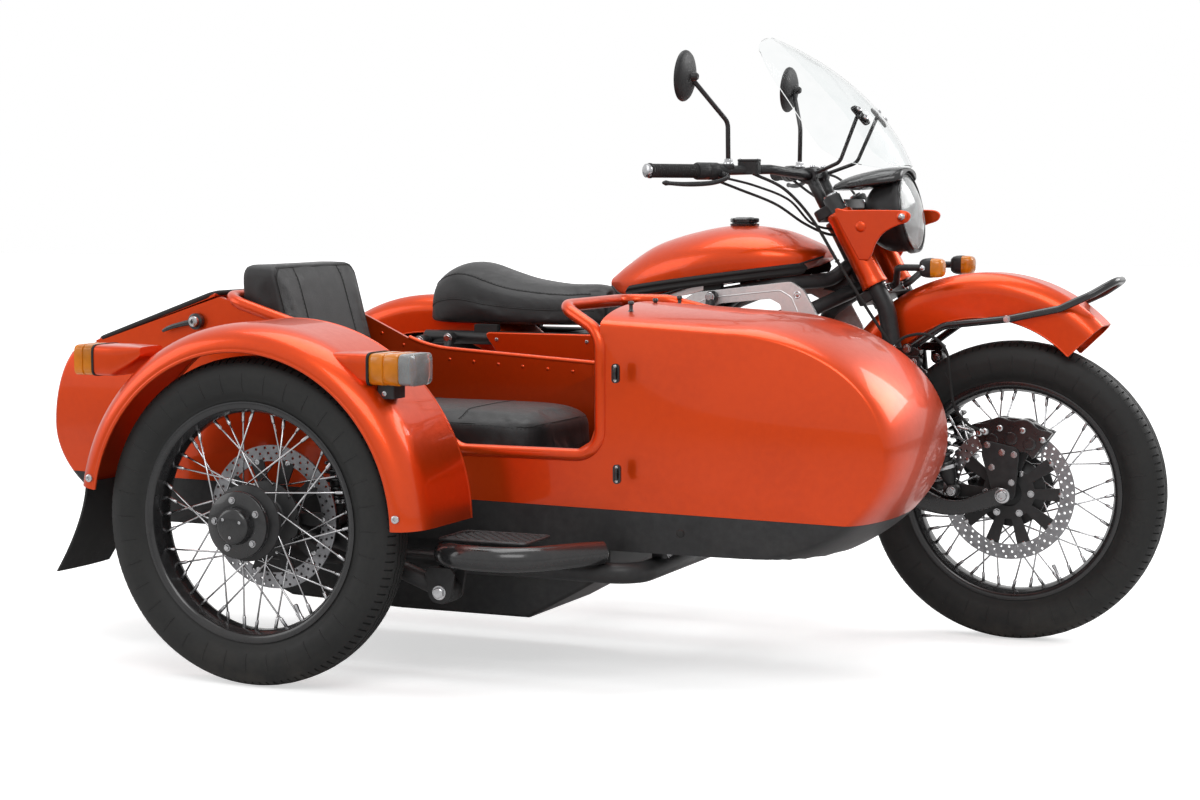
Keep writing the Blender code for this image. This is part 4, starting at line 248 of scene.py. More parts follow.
def curve(points, steps=8):
    # a smooth curve through all its points, each span a cubic whose slopes follow its neighbours
    points = np.asarray(points, float)
    padded = np.vstack([2 * points[0] - points[1], points, 2 * points[-1] - points[-2]])
    a, b, c, d = padded[:-3, None], padded[1:-2, None], padded[2:-1, None], padded[3:, None]
    t = (np.arange(steps) / steps)[None, :, None]
    path = 0.5 * (2 * b + (c - a) * t + (2 * a - 5 * b + 4 * c - d) * t ** 2
                  + (3 * b - a - 3 * c + d) * t ** 3)
    return np.vstack([path.reshape(-1, points.shape[1]), points[-1]])


def carried(path, closed=False):
    # directions square to a path, turned only as far as the path turns
    ahead = unit(np.gradient(path, axis=0)) if not closed else unit(np.roll(path, -1, 0) - np.roll(path, 1,
            0))
    across = basis(ahead[0])[0]
    first = []
    for direction in ahead:
        across = unit(across - direction * (across @ direction))
        first.append(across)
    first = np.array(first)
    return first, np.cross(ahead, first), ahead


def pipe(path, radius, sides=16, closed=False):
    # circles square to the path, carried along it, with the two ends slightly chamfered
    path = np.asarray(path, float)
    radii = np.broadcast_to(np.asarray(radius, float), (len(path),)).copy()
    if not closed:
        edge = 0.25 * radii[[0, -1]]
        start, end = unit(path[1] - path[0]), unit(path[-1] - path[-2])
        path = np.vstack([path[0], path[0] + start * edge[0], path[1:-1], path[-1] - end * edge[1],
                path[-1]])
        radii = np.concatenate([[radii[0] * 0.72, radii[0]], radii[1:-1], [radii[-1], radii[-1] * 0.72]])
    across, up, _ = carried(path, closed)
    turn = np.arange(sides) / sides * tau
    ring = across[:, None] * np.cos(turn)[None, :, None] + up[:, None] * np.sin(turn)[None, :, None]
    return grid(path[:, None] + ring * radii[:, None, None], closeRows=closed, closeColumns=True)


def revolve(profile, place=(0, 0, 0), axis=(0, 0, 1), steps=48, ring=False):
    # (radius, height) pairs turned about an axis; a ring's profile is closed, others end on the axis
    profile = np.asarray(profile, float)
    turn = np.arange(steps) / steps * tau
    if not ring:
        if profile[0, 0] > 0:
            profile = np.vstack([[profile[0, 0] * 0.5, profile[0, 1]], profile])
        else:
            profile = np.vstack([[profile[1, 0] * 0.3, profile[0, 1] * 0.7 + profile[1, 1] * 0.3],
                    profile[1:]])
        if profile[-1, 0] <= 0:
            last = [profile[-2, 0] * 0.3, profile[-1, 1] * 0.7 + profile[-2, 1] * 0.3]
            profile = np.vstack([profile[:-1], last])
    radius, height = profile[:, :1], profile[:, 1:]
    flat = np.stack([radius * np.cos(turn), radius * np.sin(turn), np.broadcast_to(height,
            (len(profile), steps))], -1)
    return grid(flat @ basis(axis) + np.asarray(place, float), closeRows=ring, closeColumns=True)


def prism(outline, low, high, facing="y"):
    # a flat outline pulled straight between two levels
    outline = np.asarray(outline, float)
    count = len(outline)
    order = {"y": lambda level: np.stack([outline[:, 0], level, outline[:, 1]], -1),
            "z": lambda level: np.stack([outline[:, 0], outline[:, 1], level], -1)}[facing]
    points = np.vstack([order(np.full(count, low)), order(np.full(count, high))])
    number = np.arange(count)
    after = (number + 1) % count
    sides = np.stack([number, after, after + count, number + count], -1)
    return outward((points, [number[None, ::-1], number[None] + count, sides]))


def frameRing(outer, inner, low, high):
    # the flat ring between two outlines of as many points, pulled straight between two levels
    outer, inner = np.asarray(outer, float), np.asarray(inner, float)
    rows = []
    for outline, level in ((outer, low), (outer, high), (inner, high), (inner, low)):
        height = np.full(len(outline), level)
        rows.append([outline[:, 0], height, outline[:, 1]])
    return grid(np.array(rows).transpose(0, 2, 1), closeRows=True, closeColumns=True)


def block(low, high, round=0.0):
    # a box with rounded corners seen along its height
    x0, y0, z0 = low
    x1, y1, z1 = high
    corners = [(x0, y0), (x1, y0), (x1, y1), (x0, y1)]
    outline = bent(corners, round, 4, closed=True) if round > 0 else corners
    return prism(outline, z0, z1, "z")


def moved(shape, move=(0, 0, 0), matrix=None):
    points = shape[0] if matrix is None else shape[0] @ np.asarray(matrix).T
    return outward((points + np.asarray(move, float), shape[1]))


def repeated(shape, places, axes=None):
    # copies of one shape, each at its own place with its z along its own axis
    points, faces = shape
    places = np.asarray(places, float)
    if axes is None:
        stacked = points[None] + places[:, None]
    else:
        turns = np.array([basis(axis) for axis in np.broadcast_to(np.asarray(axes, float), places.shape)])
        stacked = np.einsum("pi,nij->npj", points, turns) + places[:, None]
    count = len(points)
    offset = (np.arange(len(places)) * count)[:, None, None]
    return stacked.reshape(-1, 3), [(group[None] + offset).reshape(-1, group.shape[1]) for group in faces]


def placed(shape, pairs):
    # copies of one shape, each at one of the (place, axis) pairs
    return repeated(shape, [place for place, _ in pairs], [way for _, way in pairs])


def hexBolt(radius, height, washer=1.35):
    # a hexagonal head with a chamfered top on a round washer
    head = revolve([(0, height * 0.3), (radius, height * 0.3), (radius, height * 0.86),
            (radius * 0.86, height), (0, height)], steps=6)
    disc = revolve([(0, -height * 0.2), (radius * washer, -height * 0.2), (radius * washer, height * 0.24),
            (radius * washer * 0.94, height * 0.34), (0, height * 0.34)], steps=20)
    return join(head, disc)


def roundBolt(radius, height):
    # a domed head with a socket in its top
    return revolve([(0, 0), (radius, 0), (radius, height * 0.45), (radius * 0.9, height * 0.8),
            (radius * 0.62, height), (radius * 0.42, height), (radius * 0.40, height * 0.45),
            (0, height * 0.45)], steps=16)


def spring(start, end, radius, wire, turns, steps=26):
    # a wire that turns evenly about the line from start to end
    start, end = np.asarray(start, float), np.asarray(end, float)
    count = int(turns * steps)
    share = np.linspace(0, 1, count + 1)
    first, second, _ = basis(end - start)
    angle = share * turns * tau
    path = start + (end - start) * share[:, None]
    path = path + radius * (np.cos(angle)[:, None] * first + np.sin(angle)[:, None] * second)
    return pipe(path, wire, 10)


def meshFrom(name, shape):
    points, faces = shape
    mesh = bpy.data.meshes.new(name)
    mesh.from_pydata((points + shift).astype(np.float32), [],
            [row for group in faces for row in group.tolist()])
    mesh.update()
    return mesh


def piece(name, shape, finish, body, stands=(), bevel=0.0, steps=2, smooth=40):
    made = bpy.data.objects.new(name, meshFrom(name, shape))
    bpy.context.scene.collection.objects.link(made)
    made.data.materials.append(materials[finish])
    made.data.shade_smooth()
    if bevel > 0:
        rounding = made.modifiers.new("rounding", "BEVEL")
        rounding.width = bevel
        rounding.segments = steps
        rounding.limit_method = "ANGLE"
        rounding.angle_limit = math.radians(32)
        rounding.harden_normals = True
    elif smooth:
        made.data.set_sharp_from_angle(angle=math.radians(smooth))
    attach(made, body)
    if stands:
        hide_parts(*stands)
    return made


def carved(shape, cuts):
    # a shape with others taken away, added or kept in common, one after another, as a plain shape again
    made = []
    for some in [shape] + [other for _, other in cuts]:
        thing = bpy.data.objects.new("carving", meshFrom("carving", some))
        bpy.context.scene.collection.objects.link(thing)
        made.append(thing)
    for (way, _), other in zip(cuts, made[1:]):
        step = made[0].modifiers.new("carving", "BOOLEAN")
        step.operation = way
        step.object = other
        step.solver = "EXACT"
    mesh = bpy.data.meshes.new_from_object(made[0].evaluated_get(bpy.context.evaluated_depsgraph_get()))
    points = np.empty(len(mesh.vertices) * 3)
    mesh.vertices.foreach_get("co", points)
    corners = np.empty(len(mesh.loops), np.int64)
    mesh.loops.foreach_get("vertex_index", corners)
    starts = np.empty(len(mesh.polygons), np.int64)
    mesh.polygons.foreach_get("loop_start", starts)
    sizes = np.diff(np.append(starts, len(corners)))
    faces = [corners[starts[sizes == size][:, None] + np.arange(size)] for size in np.unique(sizes)]
    for thing in made:
        bpy.data.objects.remove(thing, do_unlink=True)
    return points.reshape(-1, 3) - shift, faces


# materials: effects shared by several finishes are groups that put out colours, masks and heights

finishes = {"paint": {"colour": (0.640, 0.053, 0.002), "shade": (0.590, 0.047, 0.002), "roughness": 0.33,
    "metallic": 0.66, "coat": 0.34, "flake": 1300.0, "dust": 0.05, "gloss": 0.30},
    "blackPaint": {"colour": (0.012, 0.012, 0.013), "shade": (0.020, 0.020, 0.021), "roughness": 0.20,
    "metallic": 0.0, "coat": 0.25, "flake": 900.0, "dust": 0.06, "gloss": 0.40},
    "satinBlack": {"colour": (0.017, 0.017, 0.018), "shade": (0.030, 0.030, 0.031), "roughness": 0.40,
    "metallic": 0.0, "coat": 0.0, "flake": 700.0, "dust": 0.08, "gloss": 0.28},}
greys = {"steel": {"colour": (0.50, 0.50, 0.51), "shade": (0.34, 0.34, 0.35), "roughness": 0.22,
    "metallic": 1.0, "scale": 140.0, "bump": 0.04}, "brushed": {"colour": (0.27, 0.27, 0.28),
    "shade": (0.19, 0.19, 0.20), "roughness": 0.32, "metallic": 1.0, "scale": 420.0, "bump": 0.10},
    "alloy": {"colour": (0.70, 0.70, 0.70), "shade": (0.56, 0.56, 0.565), "roughness": 0.44,
    "metallic": 0.75, "scale": 520.0, "bump": 0.14}, "mirror": {"colour": (0.75, 0.76, 0.77),
    "shade": (0.70, 0.71, 0.72), "roughness": 0.03, "metallic": 1.0, "scale": 30.0, "bump": 0.0},
    "iron": {"colour": (0.055, 0.055, 0.057), "shade": (0.025, 0.025, 0.026), "roughness": 0.50,
    "metallic": 0.55, "scale": 380.0, "bump": 0.22}, "plastic": {"colour": (0.016, 0.016, 0.017),
    "shade": (0.030, 0.030, 0.031), "roughness": 0.48, "metallic": 0.0, "scale": 900.0, "bump": 0.16},
    "grip": {"colour": (0.014, 0.014, 0.014), "shade": (0.024, 0.024, 0.024), "roughness": 0.70,
    "metallic": 0.0, "scale": 700.0, "bump": 0.22}, "lining": {"colour": (0.022, 0.022, 0.023),
    "shade": (0.040, 0.040, 0.041), "roughness": 0.85, "metallic": 0.0, "scale": 1100.0, "bump": 0.35},}


def add(tree, kind, values=(), **settings):
    # a shader node with some of its inputs and settings filled in
    node = tree.nodes.new("ShaderNode" + kind)
    for key, value in settings.items():
        setattr(node, key, value)
    for key, value in dict(values).items():
        node.inputs[key].default_value = value
    return node


def newGroup(name, takes, gives):
    group = bpy.data.node_groups.new(name, "ShaderNodeTree")
    for label, kind in takes:
        group.interface.new_socket(name=label, in_out="INPUT", socket_type="NodeSocket" + kind)
    for label, kind in gives:
        group.interface.new_socket(name=label, in_out="OUTPUT", socket_type="NodeSocket" + kind)
    return group, group.nodes.new("NodeGroupInput"), group.nodes.new("NodeGroupOutput")


def colourVariation():
    # a broad and a fine noise carry the colour from the clean to the shaded one and stir the roughness
    group, into, out = newGroup("colourVariation", [("Vector", "Vector"), ("Clean", "Color"),
            ("Shaded", "Color"), ("Scale", "Float"), ("Roughness", "Float"), ("Stir", "Float")],
            [("Colour", "Color"), ("Roughness", "Float")])
    broad = add(group, "TexNoise", {"Detail": 3.0, "Roughness": 0.55, "Scale": 6.0})
    fine = add(group, "TexNoise", {"Detail": 4.0, "Roughness": 0.6})
    both = add(group, "Math", operation="MULTIPLY")
    spread = add(group, "MapRange", {"From Min": 0.16, "From Max": 0.42})
    blend = add(group, "MixRGB")
    swing = add(group, "MapRange", {"From Min": 0.3, "From Max": 0.7, "To Min": -0.5, "To Max": 0.5})
    scaled = add(group, "Math", operation="MULTIPLY")
    total = add(group, "Math", operation="ADD")
    wire(group, (into, "Vector", broad, "Vector"), (into, "Vector", fine, "Vector"),
            (into, "Scale", fine, "Scale"), (broad, "Fac", both, 0), (fine, "Fac", both, 1),
            (both, 0, spread, "Value"), (spread, "Result", blend, "Fac"), (into, "Clean", blend, "Color1"),
            (into, "Shaded", blend, "Color2"), (fine, "Fac", swing, "Value"), (swing, "Result", scaled, 0),
            (into, "Stir", scaled, 1), (scaled, 0, total, 0), (into, "Roughness", total, 1),
            (blend, "Color", out, "Colour"), (total, 0, out, "Roughness"))
    return group


def roadDust():
    # dust lies in patches and fades out with height above the road
    group, into, out = newGroup("roadDust", [("Vector", "Vector"), ("Colour", "Color"), ("Dust", "Color"),
            ("Amount", "Float"), ("Reach", "Float")], [("Colour", "Color"), ("Mask", "Float")])
    split = add(group, "SeparateXYZ")
    fade = add(group, "MapRange", {"From Min": 0.0, "To Min": 1.0, "To Max": 0.0})
    patch = add(group, "TexNoise", {"Scale": 14.0, "Detail": 5.0, "Roughness": 0.65})
    edge = add(group, "MapRange", {"From Min": 0.35, "From Max": 0.75})
    lay = add(group, "Math", operation="MULTIPLY")
    mask = add(group, "Math", operation="MULTIPLY")
    blend = add(group, "MixRGB")
    wire(group, (into, "Vector", split, 0), (split, "Z", fade, "Value"), (into, "Reach", fade, "From Max"),
            (into, "Vector", patch, "Vector"), (patch, "Fac", edge, "Value"), (edge, "Result", lay, 0),
            (fade, "Result", lay, 1), (lay, 0, mask, 0), (into, "Amount", mask, 1), (mask, 0, blend, "Fac"),
            (into, "Colour", blend, "Color1"), (into, "Dust", blend, "Color2"), (blend, "Color", out,
            "Colour"), (mask, 0, out, "Mask"))
    return group


def fineGrain():
    # small rounded cells, softened by noise, as the height of a grained or cast surface
    group, into, out = newGroup("fineGrain", [("Vector", "Vector"), ("Scale", "Float")],
            [("Height", "Float")])
    cells = add(group, "TexVoronoi", {"Randomness": 0.9}, feature="SMOOTH_F1")
    noise = add(group, "TexNoise", {"Detail": 3.0})
    both = add(group, "Math", operation="ADD")
    wire(group, (into, "Vector", cells, "Vector"), (into, "Vector", noise, "Vector"),
            (into, "Scale", cells, "Scale"), (into, "Scale", noise, "Scale"), (cells, "Distance", both, 0),
            (noise, "Fac", both, 1), (both, 0, out, "Height"))
    return group


variation, dusting, graining = colourVariation(), roadDust(), fineGrain()
dustColour = (0.22, 0.19, 0.16, 1.0)


def useGroup(tree, group, values):
    node = add(tree, "Group")
    node.node_tree = group
    for key, value in values.items():
        node.inputs[key].default_value = value
    return node


def startMaterial(name, roughness, metallic, coat=0.0):
    made = bpy.data.materials.new(name)
    made.use_nodes = True
    tree = made.node_tree
    shader = tree.nodes["Principled BSDF"]
    shader.inputs["Roughness"].default_value = roughness
    shader.inputs["Metallic"].default_value = metallic
    shader.inputs["Coat Weight"].default_value = coat
    shader.inputs["Coat Roughness"].default_value = 0.04
    place = add(tree, "TexCoord")
    return made, tree, shader, place.outputs["Object"]


def surface(tree, shader, place, look, scale, stir, dust, reach):
    varied = useGroup(tree, variation, {"Clean": (*look["colour"], 1.0), "Shaded": (*look["shade"], 1.0),
            "Scale": scale, "Roughness": look["roughness"], "Stir": stir})
    dusty = useGroup(tree, dusting, {"Dust": dustColour, "Amount": dust, "Reach": reach})
    rough = add(tree, "MixRGB")
    rough.inputs["Color2"].default_value = (0.85, 0.85, 0.85, 1.0)
    tree.links.new(place, varied.inputs["Vector"])
    tree.links.new(place, dusty.inputs["Vector"])
    wire(tree, (varied, "Colour", dusty, "Colour"), (dusty, "Colour", shader, "Base Color"),
            (dusty, "Mask", rough, "Fac"), (varied, "Roughness", rough, "Color1"),
            (rough, "Color", shader, "Roughness"))


def bumpFrom(tree, shader, height, strength, distance):
    bump = add(tree, "Bump", {"Strength": strength, "Distance": distance})
    tree.links.new(height, bump.inputs["Height"])
    wire(tree, (bump, "Normal", shader, "Normal"))


def lacquer(name, look):
    made, tree, shader, place = startMaterial(name, look["roughness"], look["metallic"], look["coat"])
    shader.inputs["Specular IOR Level"].default_value = look["gloss"]
    surface(tree, shader, place, look, 60.0, 0.05, look["dust"], 0.55)
    flake = add(tree, "TexVoronoi", {"Scale": look["flake"]})
    tree.links.new(place, flake.inputs["Vector"])
    bumpFrom(tree, shader, flake.outputs["Distance"], 0.05, 0.0004)
    return made


def plain(name, look):
    made, tree, shader, place = startMaterial(name, look["roughness"], look["metallic"])
    if look["metallic"] < 0.1:
        shader.inputs["Specular IOR Level"].default_value = 0.26
    surface(tree, shader, place, look, look["scale"] / 6, 0.14, 0.08, 0.50)
    if look["bump"] > 0:
        grain = useGroup(tree, graining, {"Scale": look["scale"]})
        tree.links.new(place, grain.inputs["Vector"])
        bumpFrom(tree, shader, grain.outputs["Height"], look["bump"], 0.0006)
    return made


def tyreRubber():
    look = {"colour": (0.016, 0.016, 0.016), "shade": (0.024, 0.024, 0.023), "roughness": 0.58}
    made, tree, shader, place = startMaterial("tyreRubber", 0.62, 0.0)
    shader.inputs["Specular IOR Level"].default_value = 0.24
    surface(tree, shader, place, look, 90.0, 0.16, 0.22, 0.10)
    grain = useGroup(tree, graining, {"Scale": 1000.0})
    tree.links.new(place, grain.inputs["Vector"])
    bumpFrom(tree, shader, grain.outputs["Height"], 0.12, 0.0005)
    return made


def blackLeather():
    look = {"colour": (0.014, 0.014, 0.0145), "shade": (0.022, 0.022, 0.023), "roughness": 0.46}
    made, tree, shader, place = startMaterial("blackLeather", 0.50, 0.0)
    shader.inputs["Specular IOR Level"].default_value = 0.30
    surface(tree, shader, place, look, 40.0, 0.14, 0.0, 0.5)
    cells = add(tree, "TexVoronoi", {"Scale": 620.0, "Randomness": 1.0}, feature="SMOOTH_F1")
    folds = add(tree, "TexNoise", {"Scale": 210.0, "Detail": 4.0, "Distortion": 0.6})
    both = add(tree, "Math", operation="MULTIPLY_ADD")
    both.inputs[1].default_value = 0.6
    tree.links.new(place, cells.inputs["Vector"])
    tree.links.new(place, folds.inputs["Vector"])
    wire(tree, (folds, "Fac", both, 0), (cells, "Distance", both, 2))
    bumpFrom(tree, shader, both.outputs[0], 0.34, 0.0009)
    shader.inputs["Sheen Weight"].default_value = 0.05
    return made


def lensPlastic(name, colour, through, roughness=0.10):
    made, tree, shader, place = startMaterial(name, roughness, 0.0)
    deep = tuple(part * 0.62 for part in colour)
    varied = useGroup(tree, variation, {"Clean": (*colour, 1.0), "Shaded": (*deep, 1.0), "Scale": 24.0,
            "Roughness": roughness, "Stir": 0.06})
    tree.links.new(place, varied.inputs["Vector"])
    wire(tree, (varied, "Colour", shader, "Base Color"), (varied, "Roughness", shader, "Roughness"))
    shader.inputs["Transmission Weight"].default_value = through
    shader.inputs["IOR"].default_value = 1.45
    return made


def clearSheet():
    made, tree, shader, place = startMaterial("clearSheet", 0.03, 0.0)
    varied = useGroup(tree, variation, {"Clean": (0.97, 0.98, 0.98, 1.0), "Shaded": (0.93, 0.95, 0.95, 1.0),
            "Scale": 30.0, "Roughness": 0.03, "Stir": 0.03})
    tree.links.new(place, varied.inputs["Vector"])
    wire(tree, (varied, "Colour", shader, "Base Color"), (varied, "Roughness", shader, "Roughness"))
    shader.inputs["Transmission Weight"].default_value = 1.0
    shader.inputs["IOR"].default_value = 1.08
    return made


materials = {name: lacquer(name, look) for name, look in finishes.items()}
materials.update({name: plain(name, look) for name, look in greys.items()})
materials.update(rubber=tyreRubber(), leather=blackLeather(), clear=clearSheet(),
    amber=lensPlastic("amberLens", (0.95, 0.30, 0.012), 0.35), red=lensPlastic("redLens",
    (0.62, 0.012, 0.010), 0.35), lens=lensPlastic("clearLens", (0.86, 0.88, 0.88), 0.75))
print("materials ready")


# wheels

frontX, axleZ = 1.490, 0.345
wheelPlaces = {"front": (frontX, 0.0, axleZ), "rear": (0.0, 0.0, axleZ), "sidecar": (0.163, -1.150, axleZ)}
discSides = {"front": -1.0, "rear": 1.0, "sidecar": 1.0}
tyre = {"pitches": 120, "grooveDepth": 0.0052, "sipeDepth": 0.0046, "zigzag": 0.0022,
    "section": [(0.0, 0.3450), (0.0130, 0.3446), (0.0250, 0.3425), (0.0350, 0.3384), (0.0445, 0.3300),
    (0.0495, 0.3190), (0.0526, 0.3070), (0.0530, 0.2960), (0.0518, 0.2840), (0.0482, 0.2735),
    (0.0415, 0.2640), (0.0352, 0.2560)], "rings": [(0.3110, 0.0011, 0.0012), (0.3045, 0.0007, 0.0010),
    (0.2700, 0.0010, 0.0014)]}
rim = {"section": [(0.2525, 0.0375), (0.2530, 0.0360), (0.2520, 0.0342), (0.2420, 0.0338), (0.2390, 0.0320),
    (0.2388, -0.0320), (0.2420, -0.0338), (0.2520, -0.0342), (0.2530, -0.0360), (0.2525, -0.0375),
    (0.2480, -0.0382), (0.2420, -0.0372), (0.2372, -0.0345), (0.2345, -0.0290), (0.2318, -0.0210),
    (0.2292, -0.0160), (0.2285, -0.0100), (0.2285, 0.0100), (0.2292, 0.0160), (0.2318, 0.0210),
    (0.2345, 0.0290), (0.2372, 0.0345), (0.2420, 0.0372), (0.2480, 0.0382)]}
spokes = {"count": 40, "radius": 0.0020, "nippleRadius": 0.0038, "nippleLength": 0.024, "sweep": 42.0,
    "hubRadius": 0.0745, "hubOffset": 0.038, "rimRadius": 0.2300, "rimOffset": 0.0065}
hub = {"section": [(0.0118, -0.0520), (0.0300, -0.0520), (0.0320, -0.0505), (0.0400, -0.0490),
    (0.0450, -0.0450), (0.0790, -0.0430), (0.0800, -0.0420), (0.0800, -0.0345), (0.0788, -0.0335),
    (0.0480, -0.0325), (0.0430, -0.0290), (0.0420, -0.0150), (0.0415, 0.0150), (0.0430, 0.0290),
    (0.0480, 0.0325), (0.0788, 0.0335), (0.0800, 0.0345), (0.0800, 0.0420), (0.0790, 0.0430),
    (0.0450, 0.0450), (0.0400, 0.0490), (0.0320, 0.0505), (0.0300, 0.0520), (0.0118, 0.0520)]}
disc = {"outer": 0.1525, "inner": 0.1185, "half": 0.0024, "offset": 0.066, "columns": 42,
    "holeRadius": 0.0031, "arms": 10, "carrierHalf": 0.0026, "carrierLow": 0.0600, "carrierHigh": 0.1240}


def tyreShape(centre):
    # rows run across the tread, columns run round; grooves and sipes push points towards the axle
    half = curve(tyre["section"], 12)
    width = np.array([0.0, 0.0013, 0.0019, 0.0060, 0.0102, 0.0108, 0.0134, 0.0140, 0.0185, 0.0215, 0.0221,
            0.0290, 0.0360, 0.0415, 0.0421])
    floor = np.array([1, 1, 0, 0, 0, 1, 1, 0, 0, 0, 0, 0, 0, 0, 0], float)
    cutRow = np.array([0, 0, 0, 0, 0, 0, 0, 0, 0, 0, 1, 1, 1, 1, 0], float)
    wave = np.array([1, 1, 1, 1, 1, 1, 1, 1, 0.4, 0, 0, 0, 0, 0, 0], float)
    reach = np.concatenate([[0], np.cumsum(np.linalg.norm(np.diff(half, axis=0), axis=1))])
    start = np.interp(width[-1], half[:90, 0], reach[:90])
    along = np.concatenate([np.interp(width, half[:90, 0], reach[:90]), np.linspace(start, reach[-1],
            17)[1:]])
    extra = len(along) - len(width)
    floor, cutRow, wave = [np.concatenate([some, np.zeros(extra)]) for some in (floor, cutRow, wave)]
    offset = np.interp(along, reach, half[:, 0])
    radius = np.interp(along, reach, half[:, 1])
    lift = np.zeros_like(radius)
    for place, height, spread in tyre["rings"]:
        lift += np.where(offset > 0.045, height * np.exp(-((radius - place) / spread) ** 4), 0)
    offset = offset + lift
    both = lambda some, sign=1.0: np.concatenate([sign * some[:0:-1], some])
    offset, radius = both(offset, -1.0), both(radius)
    floor, cutRow, wave = both(floor), both(cutRow), both(wave)
    pitch = np.array([0.0, 0.22, 0.40, 0.45, 0.57, 0.62])
    cutColumn = np.array([0, 0, 0, 1, 1, 0], float)
    turn = (np.arange(tyre["pitches"])[:, None] + pitch).ravel() / tyre["pitches"] * tau
    cutColumn = np.tile(cutColumn, tyre["pitches"])
    swing = np.abs(((turn * tyre["pitches"] / tau / 2) % 1.0) * 4 - 2) - 1
    depth = tyre["grooveDepth"] * floor[:, None] + tyre["sipeDepth"] * cutRow[:, None] * cutColumn[None]
    depth = depth * (1 - 0.35 * np.abs(offset[:, None]) / 0.053)
    away = radius[:, None] - depth
    across = offset[:, None] + tyre["zigzag"] * wave[:, None] * swing[None]
    inside = np.array([(0.2392, 0.0338), (0.2392, -0.0338)])
    away = np.vstack([away, np.repeat(inside[:, :1], len(turn), 1)])
    across = np.vstack([across, np.repeat(inside[:, 1:], len(turn), 1)])
    points = np.stack([away * np.cos(turn), across, away * np.sin(turn)], -1)
    return grid(points + np.asarray(centre), closeRows=True, closeColumns=True)


def about(section, centre, steps=120):
    return revolve(section, centre, (0, 1, 0), steps, ring=True)


def spokeShapes(centre):
    # crossed spokes: neighbours lean opposite ways and start from opposite flanges
    number = np.arange(spokes["count"])
    side = np.where(number % 2, 1.0, -1.0)
    lean = np.where((number // 2) % 2, 1.0, -1.0)
    angle = number / spokes["count"] * tau
    low = angle + lean * math.radians(spokes["sweep"])
    start = np.stack([np.cos(low) * spokes["hubRadius"], side * (spokes["hubOffset"] + lean * 0.0028),
            np.sin(low) * spokes["hubRadius"]], -1) + centre
    end = np.stack([np.cos(angle) * spokes["rimRadius"], side * (spokes["rimOffset"] + lean * 0.003),
            np.sin(angle) * spokes["rimRadius"]], -1) + centre
    wires, nipples, heads = [], [], []
    for first, last in zip(start, end):
        back = unit(first - last)
        wires.append(pipe([first, (first + last) / 2, last], spokes["radius"], 8))
        seat = last + back * spokes["nippleLength"]
        nipples.append(pipe([seat, seat - back * 0.004, last - back * 0.0008],
                [spokes["nippleRadius"] * 0.75, spokes["nippleRadius"], spokes["nippleRadius"]], 8))
        heads.append(first)
    knob = revolve([(0, -0.0022), (0.0038, -0.0018), (0.0044, 0), (0.0038, 0.0018), (0, 0.0022)], steps=10)
    return join(*wires, *nipples, repeated(knob, heads, (0, 1, 0)))


def drilledDisc(centre, middle):
    # each cell of a skewed polar grid has a round hole in it; both faces, the bores and the rims are closed
    rows, columns, half = 3, disc["columns"], disc["half"]
    row, column = [some.reshape(-1, 1) for some in np.meshgrid(np.arange(rows), np.arange(columns),
            indexing="ij")]
    edge = np.array([(0, 0), (0, 0.5), (0, 1), (0.5, 1), (1, 1), (1, 0.5), (1, 0), (0.5, 0)])
    level, turn = row + edge[:, 0], column + edge[:, 1]
    span = disc["outer"] - disc["inner"]
    radius = disc["inner"] + span * level / rows
    angle = (turn + level / rows) / columns * tau
    rimPoints = np.stack([radius * np.cos(angle), radius * np.sin(angle)], -1)
    midRadius = disc["inner"] + span * (row + 0.5) / rows
    midAngle = (column + 0.5 + (row + 0.5) / rows) / columns * tau
    way = np.arctan2(edge[:, 1] - 0.5, edge[:, 0] - 0.5)
    reach = midAngle + way
    holePoints = np.stack([midRadius * np.cos(midAngle) + disc["holeRadius"] * np.cos(reach),
            midRadius * np.sin(midAngle) + disc["holeRadius"] * np.sin(reach)], -1)
    flat = np.stack([rimPoints, holePoints], 1)                     # cell, edge or hole, corner, xy
    cells = len(flat)
    points = np.stack([np.concatenate([flat, np.full(flat.shape[:-1] + (1,), level)],
            -1) for level in (-half, half)], 1)
    number = np.arange(points.size // 3).reshape(points.shape[:-1])  # cell, face, edge or hole, corner
    after = np.roll(number, -1, -1)
    low = np.stack([number[:, 0, 0], after[:, 0, 0], after[:, 0, 1], number[:, 0, 1]], -1)
    high = np.stack([number[:, 1, 1], after[:, 1, 1], after[:, 1, 0], number[:, 1, 0]], -1)
    bore = np.stack([number[:, 0, 1], after[:, 0, 1], after[:, 1, 1], number[:, 1, 1]], -1)
    wall = np.stack([number[:, 1, 0], after[:, 1, 0], after[:, 0, 0], number[:, 0, 0]], -1)
    inner = wall[:columns, 0:2]
    outer = wall[cells - columns:, 4:6]
    faces = [some.reshape(-1, 4) for some in (low, high, bore, inner, outer)]
    places = points.reshape(-1, 3)
    places = places[:, [0, 2, 1]] + np.asarray(centre) + np.array([0, middle, 0])
    return merged(outward((places, faces)))


def merged(shape, distance=1e-6):
    # corners at one place become one corner
    points, faces = shape
    keys = np.round(points / distance).astype(np.int64)
    _, first, back = np.unique(keys, axis=0, return_index=True, return_inverse=True)
    back = back.reshape(-1)
    return points[first], [back[group] for group in faces]


